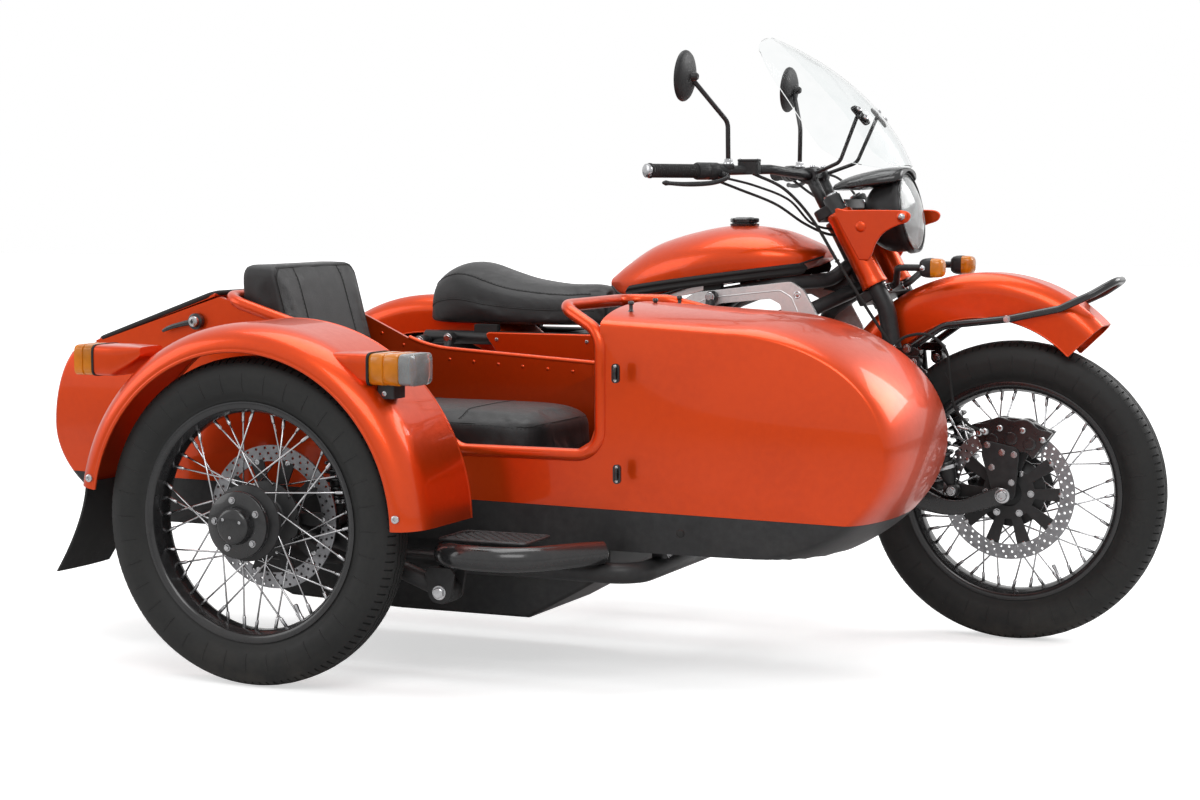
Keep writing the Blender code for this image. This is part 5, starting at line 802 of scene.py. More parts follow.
def carrierShape(centre, middle):
    # the plate's edge swings between the hub and the disc, once for each arm
    turn = np.arange(240) / 240 * tau
    swing = np.clip(np.cos(turn * disc["arms"]) * 2.1 + 0.35, 0, 1)
    swing = swing * swing * (3 - 2 * swing)
    radius = disc["carrierLow"] + (disc["carrierHigh"] - disc["carrierLow"]) * swing
    outer = np.stack([centre[0] + radius * np.cos(turn), centre[2] + radius * np.sin(turn)], -1)
    inner = np.stack([centre[0] + 0.030 * np.cos(turn), centre[2] + 0.030 * np.sin(turn)], -1)
    half = disc["carrierHalf"]
    low, high = centre[1] + middle - half, centre[1] + middle + half
    return frameRing(outer, inner, low, high)


def makeWheel(prefix):
    centre = np.array(wheelPlaces[prefix])
    side = discSides[prefix]
    body = prefix + "_wheel"
    piece(prefix + "TyreTread", tyreShape(centre), "rubber", body, [prefix + "_tyre"], smooth=50)
    piece(prefix + "Rim", about(rim["section"], centre), "blackPaint", body, [prefix + "_wheel"],
            smooth=60)
    piece(prefix + "Spokes", spokeShapes(centre), "steel", body, smooth=60)
    piece(prefix + "Hub", about(hub["section"], centre, 72), "satinBlack", body, smooth=50)
    middle = side * disc["offset"]
    piece(prefix + "Disc", drilledDisc(centre, middle), "brushed", body, smooth=30)
    post = about([(0.0118, side * 0.050), (0.042, side * 0.050), (0.044, side * 0.0525),
            (0.044, side * 0.0625), (0.0118, side * 0.0625)], centre, 60)
    piece(prefix + "DiscCarrier", carrierShape(centre, middle - side * 0.0004), "satinBlack", body,
            bevel=0.0008)
    piece(prefix + "DiscPost", post, "satinBlack", body)
    turn = np.arange(disc["arms"]) / disc["arms"] * tau
    places = np.stack([0.1205 * np.cos(turn), np.full(disc["arms"], middle), 0.1205 * np.sin(turn)],
            -1) + centre
    rivet = revolve([(0, -0.0036), (0.0035, -0.0036), (0.0055, -0.0030), (0.0055, 0.0030), (0.0035, 0.0036),
            (0, 0.0036)], steps=18)
    turn = np.arange(6) / 6 * tau
    bolts = np.stack([0.052 * np.cos(turn), np.full(6, middle + side * 0.0022), 0.052 * np.sin(turn)],
            -1) + centre
    fasteners = join(repeated(rivet, places, (0, 1, 0)), repeated(hexBolt(0.0062, 0.006), bolts,
            (0, side, 0)))
    piece(prefix + "DiscRivets", fasteners, "steel", body)


def makeHubCap():
    # the sidecar's wheel has no axle on its outer side, so a bolted cap closes its hub
    centre = np.array(wheelPlaces["sidecar"])
    cap = revolve([(0.030, 0.044), (0.062, 0.050), (0.0655, 0.0555), (0.0700, 0.0640), (0.0700, 0.0770),
            (0.0685, 0.0784), (0.0400, 0.0790), (0.0385, 0.0830), (0.0372, 0.0940), (0.0350, 0.0985),
            (0.0290, 0.1005), (0.0, 0.1010)], centre, (0, -1, 0), 72)
    piece("sidecarHubCap", cap, "blackPaint", "sidecar_wheel", smooth=50)
    turn = (np.arange(5) + 0.4) / 5 * tau
    places = np.stack([0.0525 * np.cos(turn), np.full(5, -0.0790), 0.0525 * np.sin(turn)], -1) + centre
    screws = repeated(hexBolt(0.0058, 0.0062), places, (0, -1, 0))
    turn = (np.arange(3) + 0.2) / 3 * tau
    places = np.stack([0.0230 * np.cos(turn), np.full(3, -0.1002), 0.0230 * np.sin(turn)], -1) + centre
    piece("sidecarHubScrews", join(screws, repeated(roundBolt(0.0034, 0.0026), places, (0, -1, 0))),
            "steel", "sidecar_wheel")


for prefix in wheelPlaces:
    makeWheel(prefix)
makeHubCap()
print("wheels ready")


# raised lines on the tyres' walls, and the valves

def makeWallLines(prefix):
    centre = np.array(wheelPlaces[prefix])
    half = curve(tyre["section"], 12)
    picked = half[(half[:, 1] < 0.312) & (half[:, 1] > 0.268)][::6]
    lines = []
    for number in range(36):
        turn = number / 36 * tau
        for side in (-1.0, 1.0):
            path = np.stack([picked[:, 1] * math.cos(turn), side * (picked[:, 0] + 0.0002),
                    picked[:, 1] * math.sin(turn)], -1)
            lines.append(pipe(path + centre, 0.0009, 4))
    piece(prefix + "TyreLines", join(*lines), "rubber", prefix + "_wheel")
    turn = math.radians(-62.0)
    way = np.array([math.cos(turn), 0.0, math.sin(turn)])
    stem = revolve([(0, 0.0), (0.0050, 0.0), (0.0050, 0.0060), (0.0038, 0.0080), (0.0038, 0.0260),
            (0.0046, 0.0275), (0.0046, 0.0350), (0.0030, 0.0365), (0, 0.0365)], centre + way * 0.2290, -way,
            18)
    piece(prefix + "Valve", stem, "steel", prefix + "_wheel")


for prefix in wheelPlaces:
    makeWallLines(prefix)


# front end: fork, ears, headlamp and cowl

steer = np.array([-0.46947, 0.0, 0.88295])
onward = np.array([0.88295, 0.0, 0.46947])
yoke = np.array([onward, (0.0, 1.0, 0.0), steer]).T
lampAxis = unit(np.array([0.9848, 0.0, 0.1736]))
lampTurn = np.array([np.cross((0.0, 1.0, 0.0), lampAxis), (0.0, 1.0, 0.0), lampAxis]).T
fork = {"radius": 0.021, "spread": 0.100, "bend": 0.120, "tops": (1.022, 0.762), "knee": (1.2241, 0.660),
    "pivot": (1.258, 0.352), "depth": 0.036, "reach": 0.1126, "half": 0.013, "round": 0.018,
    "clamps": (0.7832, 0.9768), "pinch": 0.0055, "stem": 0.0138, "shroudFoot": 0.815,
    "lug": [(1.238, 0.6556), (1.284, 0.6556), (1.2905, 0.6610), (1.2905, 0.6680), (1.2800, 0.6750),
    (1.2380, 0.6750)], "hanger": [(1.2625, 0.6556), (1.2895, 0.6556), (1.2895, 0.6390), (1.2760, 0.6260),
    (1.2625, 0.6390)], "shroud": [(0.0222, 0.0), (0.0312, 0.0), (0.0316, 0.003), (0.0302, 0.010),
    (0.0293, 0.022), (0.0293, 0.172), (0.0306, 0.178), (0.0306, 0.186), (0.0292, 0.1896), (0.0222, 0.1896)]}
ear = {"near": 0.1234, "far": 0.1306, "disc": (1.152, 0.950), "boss": (1.250, 0.973),
    "edge": [(1.1481, 0.8740), (1.0897, 0.9830), (1.1200, 0.9878), (1.1700, 0.9890), (1.2250, 0.9885),
    (1.2560, 0.9868), (1.2690, 0.9775), (1.2620, 0.9620), (1.2350, 0.9520), (1.2060, 0.9360),
    (1.1880, 0.9120), (1.1790, 0.8880), (1.1700, 0.8735)]}
lamp = {"place": (1.234, 0.0, 0.983), "bowl": [(0, -0.1050), (0.0300, -0.1036), (0.0520, -0.0970),
    (0.0690, -0.0810), (0.0805, -0.0640), (0.0865, -0.0460), (0.0888, -0.0220), (0.0894, -0.0165),
    (0.0942, -0.0158), (0.0950, -0.0142), (0.0950, -0.0020), (0.0938, -0.0004), (0.0912, 0.0),
    (0.0900, -0.0030), (0.0872, -0.0060), (0.0700, -0.0340), (0.0300, -0.0560), (0, -0.0600)],
    "bezel": [(0.0903, -0.0020), (0.0944, -0.0010), (0.0948, 0.0012), (0.0940, 0.0034), (0.0924, 0.0044),
    (0.0906, 0.0036)], "lens": [(0, 0.0220), (0.0300, 0.0196), (0.0600, 0.0124), (0.0800, 0.0049),
    (0.0896, 0.0006), (0.0902, -0.0010), (0.0885, -0.0018), (0.0780, 0.0025), (0.0580, 0.0098),
    (0.0300, 0.0166), (0, 0.0190)], "dish": [(0, -0.0460), (0.0200, -0.0458), (0.0460, -0.0360),
    (0.0700, -0.0210), (0.0855, -0.0052), (0.0862, -0.0066), (0.0715, -0.0228), (0.0470, -0.0386),
    (0.0200, -0.0490), (0, -0.0495)], "pin": 0.012, "pinReach": (0.081, 0.1227), "pinPlace": (1.190, 0.955)}
cowl = {"rear": 1.065, "front": 1.228, "low": 1.032, "high": 1.088, "half": 0.088,
    "sections": [(0.0, 0.0, 0.35, 0.78), (0.12, 0.0, 0.54, 0.90), (0.30, 0.0, 0.72, 1.0),
    (0.65, 0.12, 0.95, 1.0), (0.88, 0.24, 1.0, 0.90), (0.97, 0.34, 0.98, 0.80), (1.0, 0.44, 0.92, 0.70)]}


def axisAt(height):
    return np.array([1.567 - 0.5317 * height, 0.0, height])


def legAt(height, sign):
    return np.array([1.6123 - 0.5317 * height, sign * fork["spread"], height])


def makeFork():
    # the legs run along the steering axis to a bend below the lower clamp and stand nearly upright below it
    legs, lugs, pinches, plates = [], [], [], []
    for sign in (-1.0, 1.0):
        y = sign * fork["spread"]
        knee, pivot = fork["knee"], fork["pivot"]
        path = [legAt(fork["tops"][0], sign), legAt(fork["tops"][1], sign), (knee[0], y, knee[1]),
                (pivot[0], y, pivot[1])]
        legs.append(pipe(bent(path, fork["bend"], 14), fork["radius"], 32))
        legs.append(revolve([(0.0, -0.0230), (0.0245, -0.0230), (0.0262, -0.0205), (0.0262, 0.0205),
                (0.0245, 0.0230), (0.0, 0.0230)], (pivot[0], y, pivot[1]), (0, 1, 0), 36))
        lugs.append(prism(fork["lug"], y - 0.0148, y + 0.0148))
        for side in (-1.0, 1.0):
            edge = sorted((y + side * 0.0156, y + side * 0.0186))
            lugs.append(prism(rounded(fork["hanger"], [0, 0, 0.008, 0.012, 0.008], 4), *edge))
    for height in fork["clamps"]:
        middle = axisAt(height) + onward * 0.020
        plate = block((-fork["depth"], -fork["reach"], -fork["half"]), (fork["depth"], fork["reach"],
                fork["half"]), fork["round"])
        plates.append(moved(plate, middle, yoke))
        for sign in (-1.0, 1.0):
            for level in (-0.0055, 0.0055):
                place = middle + onward * (fork["depth"] - 0.0006) + np.array([0, sign * 0.080,
                        0]) + steer * level
                pinches.append((place, onward))
    piece("forkLegs", join(*legs), "satinBlack", "steering", ["fork"], smooth=50)
    piece("forkClamps", join(*plates), "satinBlack", "steering", bevel=0.0032)
    piece("forkLugs", join(*lugs), "blackPaint", "steering", bevel=0.0010)
    screws = placed(roundBolt(fork["pinch"], 0.0042), pinches)
    top = axisAt(fork["clamps"][1]) + steer * fork["half"]
    nut = revolve([(0, -0.004), (0.0138, -0.004), (0.0138, 0.0070), (0.0128, 0.0100), (0.0085, 0.0124),
            (0, 0.0130)], top, steer, 6)
    caps = [revolve([(0, -0.002), (0.0170, -0.002), (0.0170, 0.0010), (0.0155, 0.0022), (0.0090, 0.0024),
            (0.0085, 0.0012), (0, 0.0012)], legAt(fork["tops"][0], sign), steer, 28) for sign in (-1.0,
            1.0)]
    bolts = []
    for sign in (-1.0, 1.0):
        for side in (-1.0, 1.0):
            place = (1.276, sign * fork["spread"] + side * 0.0188, 0.640)
            bolts.append(repeated(hexBolt(0.0075, 0.0068), [place], (0, side, 0)))
    piece("forkFasteners", join(screws, nut, *caps, *bolts), "steel", "steering")
    stem = revolve([(0, -0.013), (fork["stem"], -0.013), (fork["stem"], 0.0), (0, 0.0)],
            axisAt(fork["clamps"][0]) - steer * fork["half"], steer, 28)
    piece("forkStemFoot", stem, "steel", "steering", bevel=0.0012)


def makeEar(prefix, sign):
    edge = curve(ear["edge"], 5)
    plate = prism(edge, *sorted((sign * ear["near"], sign * ear["far"])))
    piece("headlampEarPlate" + prefix, plate, "paint", "steering",
            ["headlamp_ear_" + prefix.lower()], bevel=0.0024, steps=3)
    foot = legAt(fork["shroudFoot"], sign)
    piece("forkShroud" + prefix, revolve(fork["shroud"], foot, steer, 48, ring=True), "paint", "steering",
            smooth=50)
    outside = sign * ear["far"]
    disc = revolve([(0, -0.002), (0.0125, -0.002), (0.0125, 0.0004), (0.0112, 0.0015), (0, 0.0019)],
            (ear["disc"][0], outside, ear["disc"][1]), (0, sign, 0), 40)
    boss = revolve([(0, -0.003), (0.0125, -0.003), (0.0125, 0.0020), (0.0112, 0.0034), (0, 0.0034)],
            (ear["boss"][0], outside, ear["boss"][1]), (0, sign, 0), 40)
    piece("headlampEarBosses" + prefix, join(disc, boss), "paint", "steering", smooth=50)
    bolt = revolve([(0, 0.0), (0.0082, 0.0), (0.0084, 0.0022), (0.0070, 0.0056), (0.0042, 0.0074),
            (0, 0.0080)], (ear["boss"][0], outside + sign * 0.0032, ear["boss"][1]), (0, sign, 0), 32)
    piece("headlampEarBolt" + prefix, bolt, "steel", "steering", smooth=60)


def makeHeadlamp():
    place = np.array(lamp["place"])
    piece("headlampBowl", revolve(lamp["bowl"], place, lampAxis, 96), "satinBlack", "steering",
            ["headlamp_shell"], smooth=40)
    piece("headlampBezel", revolve(lamp["bezel"], place, lampAxis, 96, ring=True), "blackPaint", "steering")
    piece("headlampFrontLens", revolve(lamp["lens"], place, lampAxis, 72), "lens", "steering",
            ["headlamp_lens"], smooth=50)
    dish = revolve(lamp["dish"], place, lampAxis, 18)
    piece("headlampReflector", dish, "mirror", "steering", smooth=12)
    bar = prism([(-0.0060, -0.0740), (0.0060, -0.0740), (0.0085, 0.0), (0.0060, 0.0740), (-0.0060, 0.0740),
            (-0.0085, 0.0)], -0.030, -0.0125, "z")
    frames = [revolve([(0.0215, -0.034), (0.0240, -0.034), (0.0255, -0.016), (0.0245, -0.0135),
            (0.0215, -0.0135)], (height, 0, 0), (0, 0, 1), 40, ring=True) for height in (-0.036, 0.036)]
    inside = [moved(some, place, lampTurn) for some in (bar, *frames)]
    piece("headlampInnerFrame", join(*inside), "steel", "steering", bevel=0.0008)
    domes = [revolve([(0, -0.030), (0.0212, -0.030), (0.0212, -0.0180), (0.0180, -0.0110),
            (0.0110, -0.0062), (0, -0.0044)], (height, 0, 0), (0, 0, 1), 32) for height in (-0.036, 0.036)]
    piece("headlampProjectors", join(*[moved(dome, place, lampTurn) for dome in domes]), "clear",
            "steering", smooth=50)
    x, z = lamp["pinPlace"]
    near, far = lamp["pinReach"]
    pins = [revolve([(0, near - 0.004), (lamp["pin"], near - 0.004), (lamp["pin"], far - 0.003),
            (0.0095, far), (0, far)], (x, 0, z), (0, sign, 0), 28) for sign in (-1.0, 1.0)]
    piece("headlampPins", join(*pins), "satinBlack", "steering")


def makeCowl():
    # each section is a rounded hood; its floor follows the bowl's hollow, cut below by the lamp's own shape
    table = curve(cowl["sections"], 6)
    share, low, high, wide = table.T
    turn = np.linspace(0, tau, 73)[:-1]
    half = cowl["half"] * wide[:, None]
    rise = cowl["high"] - cowl["low"]
    bottom, top = cowl["low"] + low[:, None] * rise, cowl["low"] + high[:, None] * rise
    across = np.sign(np.cos(turn)) * np.abs(np.cos(turn)) ** 0.8
    upward = np.where(np.sin(turn) > 0, np.abs(np.sin(turn)) ** 0.9, -0.28 * np.abs(np.sin(turn)) ** 0.5)
    height = bottom + (top - bottom) * (0.28 + 0.72 * upward)
    x = cowl["rear"] + share[:, None] * (cowl["front"] - cowl["rear"]) + np.zeros_like(height)
    shell = grid(np.stack([x, half * across, height], -1), closeColumns=True)
    lampCut = revolve([(radius + 0.0008, level) for radius, level in lamp["bowl"][1:10]] + [(0.0958, 0.03)],
            lamp["place"], lampAxis, 96)
    piece("instrumentCowlShell", carved(shell, [("DIFFERENCE", lampCut)]), "blackPaint", "steering",
            ["instrument_cowl"], smooth=34)


makeFork()
for prefix, sign in hands:
    makeEar(prefix, sign)
makeHeadlamp()
makeCowl()
print("fork and headlamp ready")


# windscreen, handlebar and mirrors

screen = {"low": (1.228, 1.092), "middle": (1.145, 1.285), "top": (0.890, 1.395), "half": 0.205,
    "sweep": 0.115, "drop": 0.029, "thickness": 0.0036, "rows": 70, "columns": 54,
    "shares": [(0.0, 0.50), (0.03, 0.68), (0.08, 0.86), (0.14, 0.955), (0.22, 1.0), (0.45, 0.97),
    (0.70, 0.84), (0.88, 0.62), (0.945, 0.47), (0.98, 0.30), (1.0, 0.10)], "padHeight": 0.34,
    "padAcross": 0.077}
bars = {"clamp": (0.9991, 0.040, 1.068), "rise": (0.945, 0.170, 1.082), "inner": (0.826, 0.310, 1.077),
    "outer": (0.752, 0.430, 1.077), "radius": 0.011, "bend": 0.050, "grip": 0.0158, "ribs": 22,
    "reservoir": 0.30, "riser": 0.0138, "stay": 0.0045}
mirror = {"share": 0.60, "head": (0.810, 0.360, 1.290), "stem": 0.0055, "knee": 0.0986,
    "facing": (-1.0, 0.0, 0.08), "shell": [(0, -0.0166), (0.0150, -0.0160), (0.0290, -0.0138),
    (0.0430, -0.0092), (0.0530, -0.0042), (0.0572, 0.0006), (0.0578, 0.0040), (0.0566, 0.0066),
    (0.0548, 0.0068), (0.0540, 0.0050), (0, 0.0050)]}


def screenPoint(level, across):
    # a curved spine, with each side swept back and down by the square of its distance from the middle
    low, middle, top = [np.array(screen[key]) for key in ("low", "middle", "top")]
    level = np.asarray(level, float)[..., None]
    spine = low * (1 - level) ** 2 + middle * 2 * level * (1 - level) + top * level ** 2
    share = (np.asarray(across) / screen["half"]) ** 2
    return np.stack([spine[..., 0] - screen["sweep"] * share, across + 0 * share,
            spine[..., 1] - screen["drop"] * share], -1)


def makeScreen():
    shares = curve(screen["shares"], 8)
    level = np.sin(np.linspace(0, np.pi / 2, screen["rows"]) - np.pi / 2) + 1
    level = 0.35 * level + 0.65 * np.linspace(0, 1, screen["rows"])
    half = np.interp(level, np.maximum.accumulate(shares[:, 0]), shares[:, 1]) * screen["half"]
    across = half[:, None] * np.sin(np.linspace(-1, 1, screen["columns"]) * np.pi / 2)[None]
    front = screenPoint(level[:, None] + 0 * across, across)
    normal = unit(np.cross(np.gradient(front, axis=0), np.gradient(front, axis=1)))
    normal = np.where(normal[..., :1] < 0, -normal, normal)
    back = front - normal * screen["thickness"]
    piece("windscreenSheet", sheet(front, back), "clear", "steering", ["windscreen"], smooth=30)
    nuts, cups = [], []
    for sign in (-1.0, 1.0):
        for offset in (-0.020, 0.020):
            place = screenPoint(screen["padHeight"] + offset * 1.4, sign * screen["padAcross"])
            ahead = screenPoint(screen["padHeight"] + offset * 1.4 + 0.01, sign * screen["padAcross"])
            side = screenPoint(screen["padHeight"] + offset * 1.4, sign * screen["padAcross"] + 0.01)
            way = unit(np.cross(ahead - place, side - place))
            way = way if way[0] > 0 else -way
            nuts.append((place + way * 0.0022, way))
            cups.append((place, way))
    heads = placed(roundBolt(0.0068, 0.0042), nuts)
    piece("windscreenScrews", heads, "steel", "steering")
    washer = revolve([(0.0035, -0.0004), (0.0100, -0.0004), (0.0102, 0.0008), (0.0094, 0.0022),
            (0.0035, 0.0022)], steps=24, ring=True)
    piece("windscreenWashers", placed(washer, cups), "grip", "steering")


def barPoints(sign):
    return [np.array([bars[key][0], sign * bars[key][1], bars[key][2]]) for key in ("rise", "inner",
            "outer")]


def leverShape(sign):
    # the lever widens to a blade for the fingers and ends in a ball
    _, inner, outer = barPoints(sign)
    heading = unit(outer - inner)
    perch = inner - heading * 0.040
    path = [perch, perch + np.array([0.034, 0, -0.012]), inner + np.array([0.0336, 0, -0.026]),
            (inner + outer) / 2 + np.array([0.0300, 0, -0.030]), outer + np.array([0.0308, 0, -0.027])]
    path = curve(path, 8)
    share = np.linspace(0, 1, len(path))
    wide = np.interp(share, [0, 0.15, 0.35, 0.70, 0.93, 0.97, 1.0], [0.0070, 0.0060, 0.0052, 0.0058, 0.0045,
            0.0062, 0.0030])
    return pipe(path, wide, 16), perch, heading


def makeHandlebar():
    bar, grips, switches, levers, buttons, ends = [], [], [], [], [], []
    path = [*barPoints(-1.0)[::-1], np.array(bars["clamp"]) * (1, -1, 1), np.array(bars["clamp"]),
            *barPoints(1.0)]
    bar.append(pipe(bent(path, bars["bend"], 10), bars["radius"], 24))
    for sign in (-1.0, 1.0):
        _, inner, outer = barPoints(sign)
        heading = unit(outer - inner)
        length = np.linalg.norm(outer - inner)
        count = bars["ribs"] * 4 + 1
        along = np.linspace(0.0125, length - 0.004, count)
        swell = bars["grip"] - 0.0013 * ((np.arange(count) % 4) == 2)
        profile = [(0.0112, 0.0120), (0.0172, 0.0120), (0.0176, 0.0122)]
        profile += list(zip(swell, along)) + [(0.0172, length - 0.002), (0.0172, length + 0.002),
                (0.0112, length + 0.002)]
        grips.append(revolve(profile, inner, heading, 40, ring=True))
        ends.append(revolve([(0, length), (0.0140, length), (0.0158, length + 0.0040),
                (0.0156, length + 0.0100), (0.0128, length + 0.0120), (0, length + 0.0120)], inner, heading,
                32))
        switches.append(revolve([(0.0112, -0.050), (0.0180, -0.050), (0.0198, -0.047), (0.0200, -0.022),
                (0.0188, -0.020), (0.0200, -0.018), (0.0200, 0.008), (0.0184, 0.0118), (0.0112, 0.0118)],
                inner, heading, 32, ring=True))
        shape, perch, _ = leverShape(sign)
        levers.append(shape)
        levers.append(revolve([(0.0112, -0.008), (0.0170, -0.008), (0.0178, -0.006), (0.0178, 0.006),
                (0.0170, 0.008), (0.0112, 0.008)], inner - heading * 0.060, heading, 32, ring=True))
        levers.append(pipe([inner - heading * 0.060 + (0.006, 0, -0.006), perch + (0.022, 0, -0.008),
                perch + (0.030, 0, -0.011)], [0.0075, 0.0080, 0.0080], 14))
        back = unit(np.cross(heading, (0, 0, 1.0)))
        back = back if back[0] < 0 else -back
        for offset, size in ((-0.038, 0.0042), (-0.026, 0.0036), (-0.010, 0.0050)):
            buttons.append(revolve([(0, 0.016), (size, 0.016), (size, 0.0205), (size * 0.8, 0.0222),
                    (0, 0.0225)], inner + heading * offset, back, 18))
        foot = axisAt(fork["clamps"][1]) + steer * (fork["half"] - 0.001) + np.array([0, sign * 0.040, 0])
        top = np.array(bars["clamp"]) * (1, sign, 1)
        bar.append(pipe([foot, foot + (top - foot) * 0.5, top - (top - foot) * 0.12], bars["riser"], 28))
        bar.append(revolve([(0.0108, -0.0130), (0.0178, -0.0130), (0.0188, -0.0118), (0.0188, 0.0118),
                (0.0178, 0.0130), (0.0108, 0.0130)], top, (0, 1, 0), 36, ring=True))
        ends.append(repeated(roundBolt(0.0045, 0.0044),
                [top + onward * 0.0155 + steer * 0.0150 + np.array([0, side * 0.0070, 0]) for side in (-1,
                1)], steer))
        behind = screenPoint(screen["padHeight"], sign * screen["padAcross"]) + np.array([-0.010, 0,
                -0.003])
        stay = [top, top + np.array([0.081, sign * 0.026, 0.0315]), behind]
        bar.append(pipe(bent(stay, 0.026, 8), bars["stay"], 14))
    piece("handlebarTube", join(*bar), "satinBlack", "steering", ["handlebar"], smooth=50)
    piece("handlebarGrips", join(*grips), "grip", "steering", smooth=60)
    piece("handlebarSwitches", join(*switches), "plastic", "steering", smooth=40)
    piece("handlebarLevers", join(*levers), "satinBlack", "steering", smooth=60)
    piece("handlebarButtons", join(*buttons), "plastic", "steering")
    piece("handlebarEnds", join(*ends), "steel", "steering")


def makePads():
    # a small plate behind the screen, facing along the screen's own slope
    pads = []
    for sign in (-1.0, 1.0):
        place = screenPoint(screen["padHeight"], sign * screen["padAcross"])
        up = unit(screenPoint(screen["padHeight"] + 0.02, sign * screen["padAcross"]) - place)
        side = screenPoint(screen["padHeight"], sign * screen["padAcross"] + 0.01) - place
        way = unit(np.cross(up, side))
        way = way if way[0] > 0 else -way
        turn = np.stack([np.cross(up, way), up, way], 1)
        plate = block((-0.0125, -0.028, -0.0085), (0.0125, 0.028, -0.0038), 0.008)
        pads.append(moved(plate, place, turn))
    piece("windscreenPads", join(*pads), "satinBlack", "steering", bevel=0.0010)


def makeReservoir():
    rise, inner, _ = barPoints(-1.0)
    place = rise + (inner - rise) * bars["reservoir"]
    x, y, z = place
    low, high = z - 0.0105, z + 0.0245
    cup = block((x - 0.0245, y - 0.0172, low), (x + 0.0245, y + 0.0172, high - 0.006), 0.0085)
    lid = block((x - 0.0250, y - 0.0175, high - 0.0058), (x + 0.0250, y + 0.0175, high), 0.0088)
    piece("brakeReservoirCup", cup, "plastic", "steering", bevel=0.0014)
    piece("brakeReservoirLid", lid, "satinBlack", "steering", bevel=0.0012)
    spots = [(x + side * 0.0175, y + turn * 0.0105, high) for side, turn in ((-1, -1), (1, 1))]
    window = revolve([(0, 0), (0.0056, 0), (0.0056, 0.0012), (0.0044, 0.0018), (0, 0.0018)],
            (x - 0.0245, y, low + 0.014), (-1, 0, 0), 24)
    piece("brakeReservoirWindow", window, "lens", "steering")
    piece("brakeReservoirScrews", repeated(roundBolt(0.0030, 0.0018), spots, (0, 0, 1)), "steel",
            "steering")


def makeMirror(prefix, sign):
    rise, inner, _ = barPoints(sign)
    base = rise + (inner - rise) * mirror["share"]
    foot = base + np.array([0, 0, bars["radius"] * 0.6])
    knee = base + np.array([0, sign * 0.004, bars["radius"] + mirror["knee"]])
    head = np.array(mirror["head"]) * (1, sign, 1)
    facing = unit(mirror["facing"])
    behind = head - facing * 0.010
    stem = pipe(bent([foot, knee, behind], 0.029, 12), mirror["stem"], 20)
    collar = revolve([(0, 0.004), (0.0135, 0.004), (0.0142, 0.006), (0.0142, 0.0125), (0.0130, 0.0145),
            (0.0, 0.0145)], base, (0, 0, 1), 28)
    joint = revolve([(0, -0.030), (0.0062, -0.030), (0.0092, -0.026), (0.0105, -0.019), (0.0120, -0.013),
            (0, -0.013)], head, facing, 28)
    piece("mirrorStem" + prefix, join(stem, collar, joint), "satinBlack", "steering",
            ["mirror_" + prefix.lower()], smooth=50)
    piece("mirrorShell" + prefix, revolve(mirror["shell"], head, facing, 72), "plastic", "steering",
            smooth=40)
    glass = revolve([(0, 0.0046), (0.0538, 0.0046), (0.0538, 0.0056), (0, 0.0060)], head, facing, 64)
    piece("mirrorGlass" + prefix, glass, "mirror", "steering", smooth=30)
    nut = repeated(hexBolt(0.0102, 0.0120, 1.12), [base + np.array([0, 0, 0.0145])], (0, 0, 1))
    piece("mirrorNut" + prefix, nut, "steel", "steering")


def makeCables():
    # from the switches and the levers forward, into the bowl's back or down beside the fork
    runs = []
    for sign in (-1.0, 1.0):
        side = lambda *points: [(x, sign * y, z) for x, y, z in points]
        runs.append((side((0.846, 0.287, 1.060), (0.895, 0.240, 1.036), (0.962, 0.178, 1.002),
                (1.012, 0.112, 0.956), (1.058, 0.052, 0.930), (1.108, 0.030, 0.940), (1.134, 0.024, 0.952)),
                0.0032))
        runs.append((side((0.868, 0.262, 1.062), (0.925, 0.214, 1.044), (0.985, 0.152, 1.012),
                (1.016, 0.080, 0.958), (1.062, 0.046, 0.944), (1.112, 0.012, 0.956), (1.135, 0.008, 0.964)),
                0.0028))
    runs.append(([(0.918, -0.216, 1.073), (0.990, -0.196, 1.036), (1.048, -0.166, 0.966),
            (1.104, -0.154, 0.872), (1.168, -0.150, 0.774), (1.212, -0.140, 0.706),
            (1.229, -0.1270, 0.676)], 0.0036))
    runs.append(([(0.880, 0.266, 1.060), (0.965, 0.226, 1.072), (1.040, 0.168, 1.030),
            (1.084, 0.118, 0.968), (1.116, 0.064, 0.944), (1.136, 0.036, 0.948)], 0.0030))
    piece("controlCables", join(*[pipe(curve(path, 10), radius, 12) for path, radius in runs]), "grip",
            "steering")
    plug = block((-0.009, -0.0075, -0.014), (0.009, 0.0075, 0.014), 0.003)
    plug = moved(plug, (1.078, -0.098, 0.962), yoke)
    piece("cableConnector", plug, "alloy", "steering", bevel=0.0010)
    ties = [revolve([(0.0034, -0.002), (0.0052, -0.002), (0.0056, 0), (0.0052, 0.002), (0.0034, 0.002)],
            place, way, 18, ring=True) for place, way in (((1.104, -0.154, 0.872), (0.5, 0.05, -0.85)),
            ((1.168, -0.150, 0.774), (0.5, 0.08, -0.85)))]
    piece("cableTies", join(*ties), "grip", "steering")


makeScreen()
makePads()
makeHandlebar()
makeReservoir()
for prefix, sign in hands:
    makeMirror(prefix, sign)
makeCables()
print("handlebar and windscreen ready")


# front fender with its bar, leading link, caliper and shocks

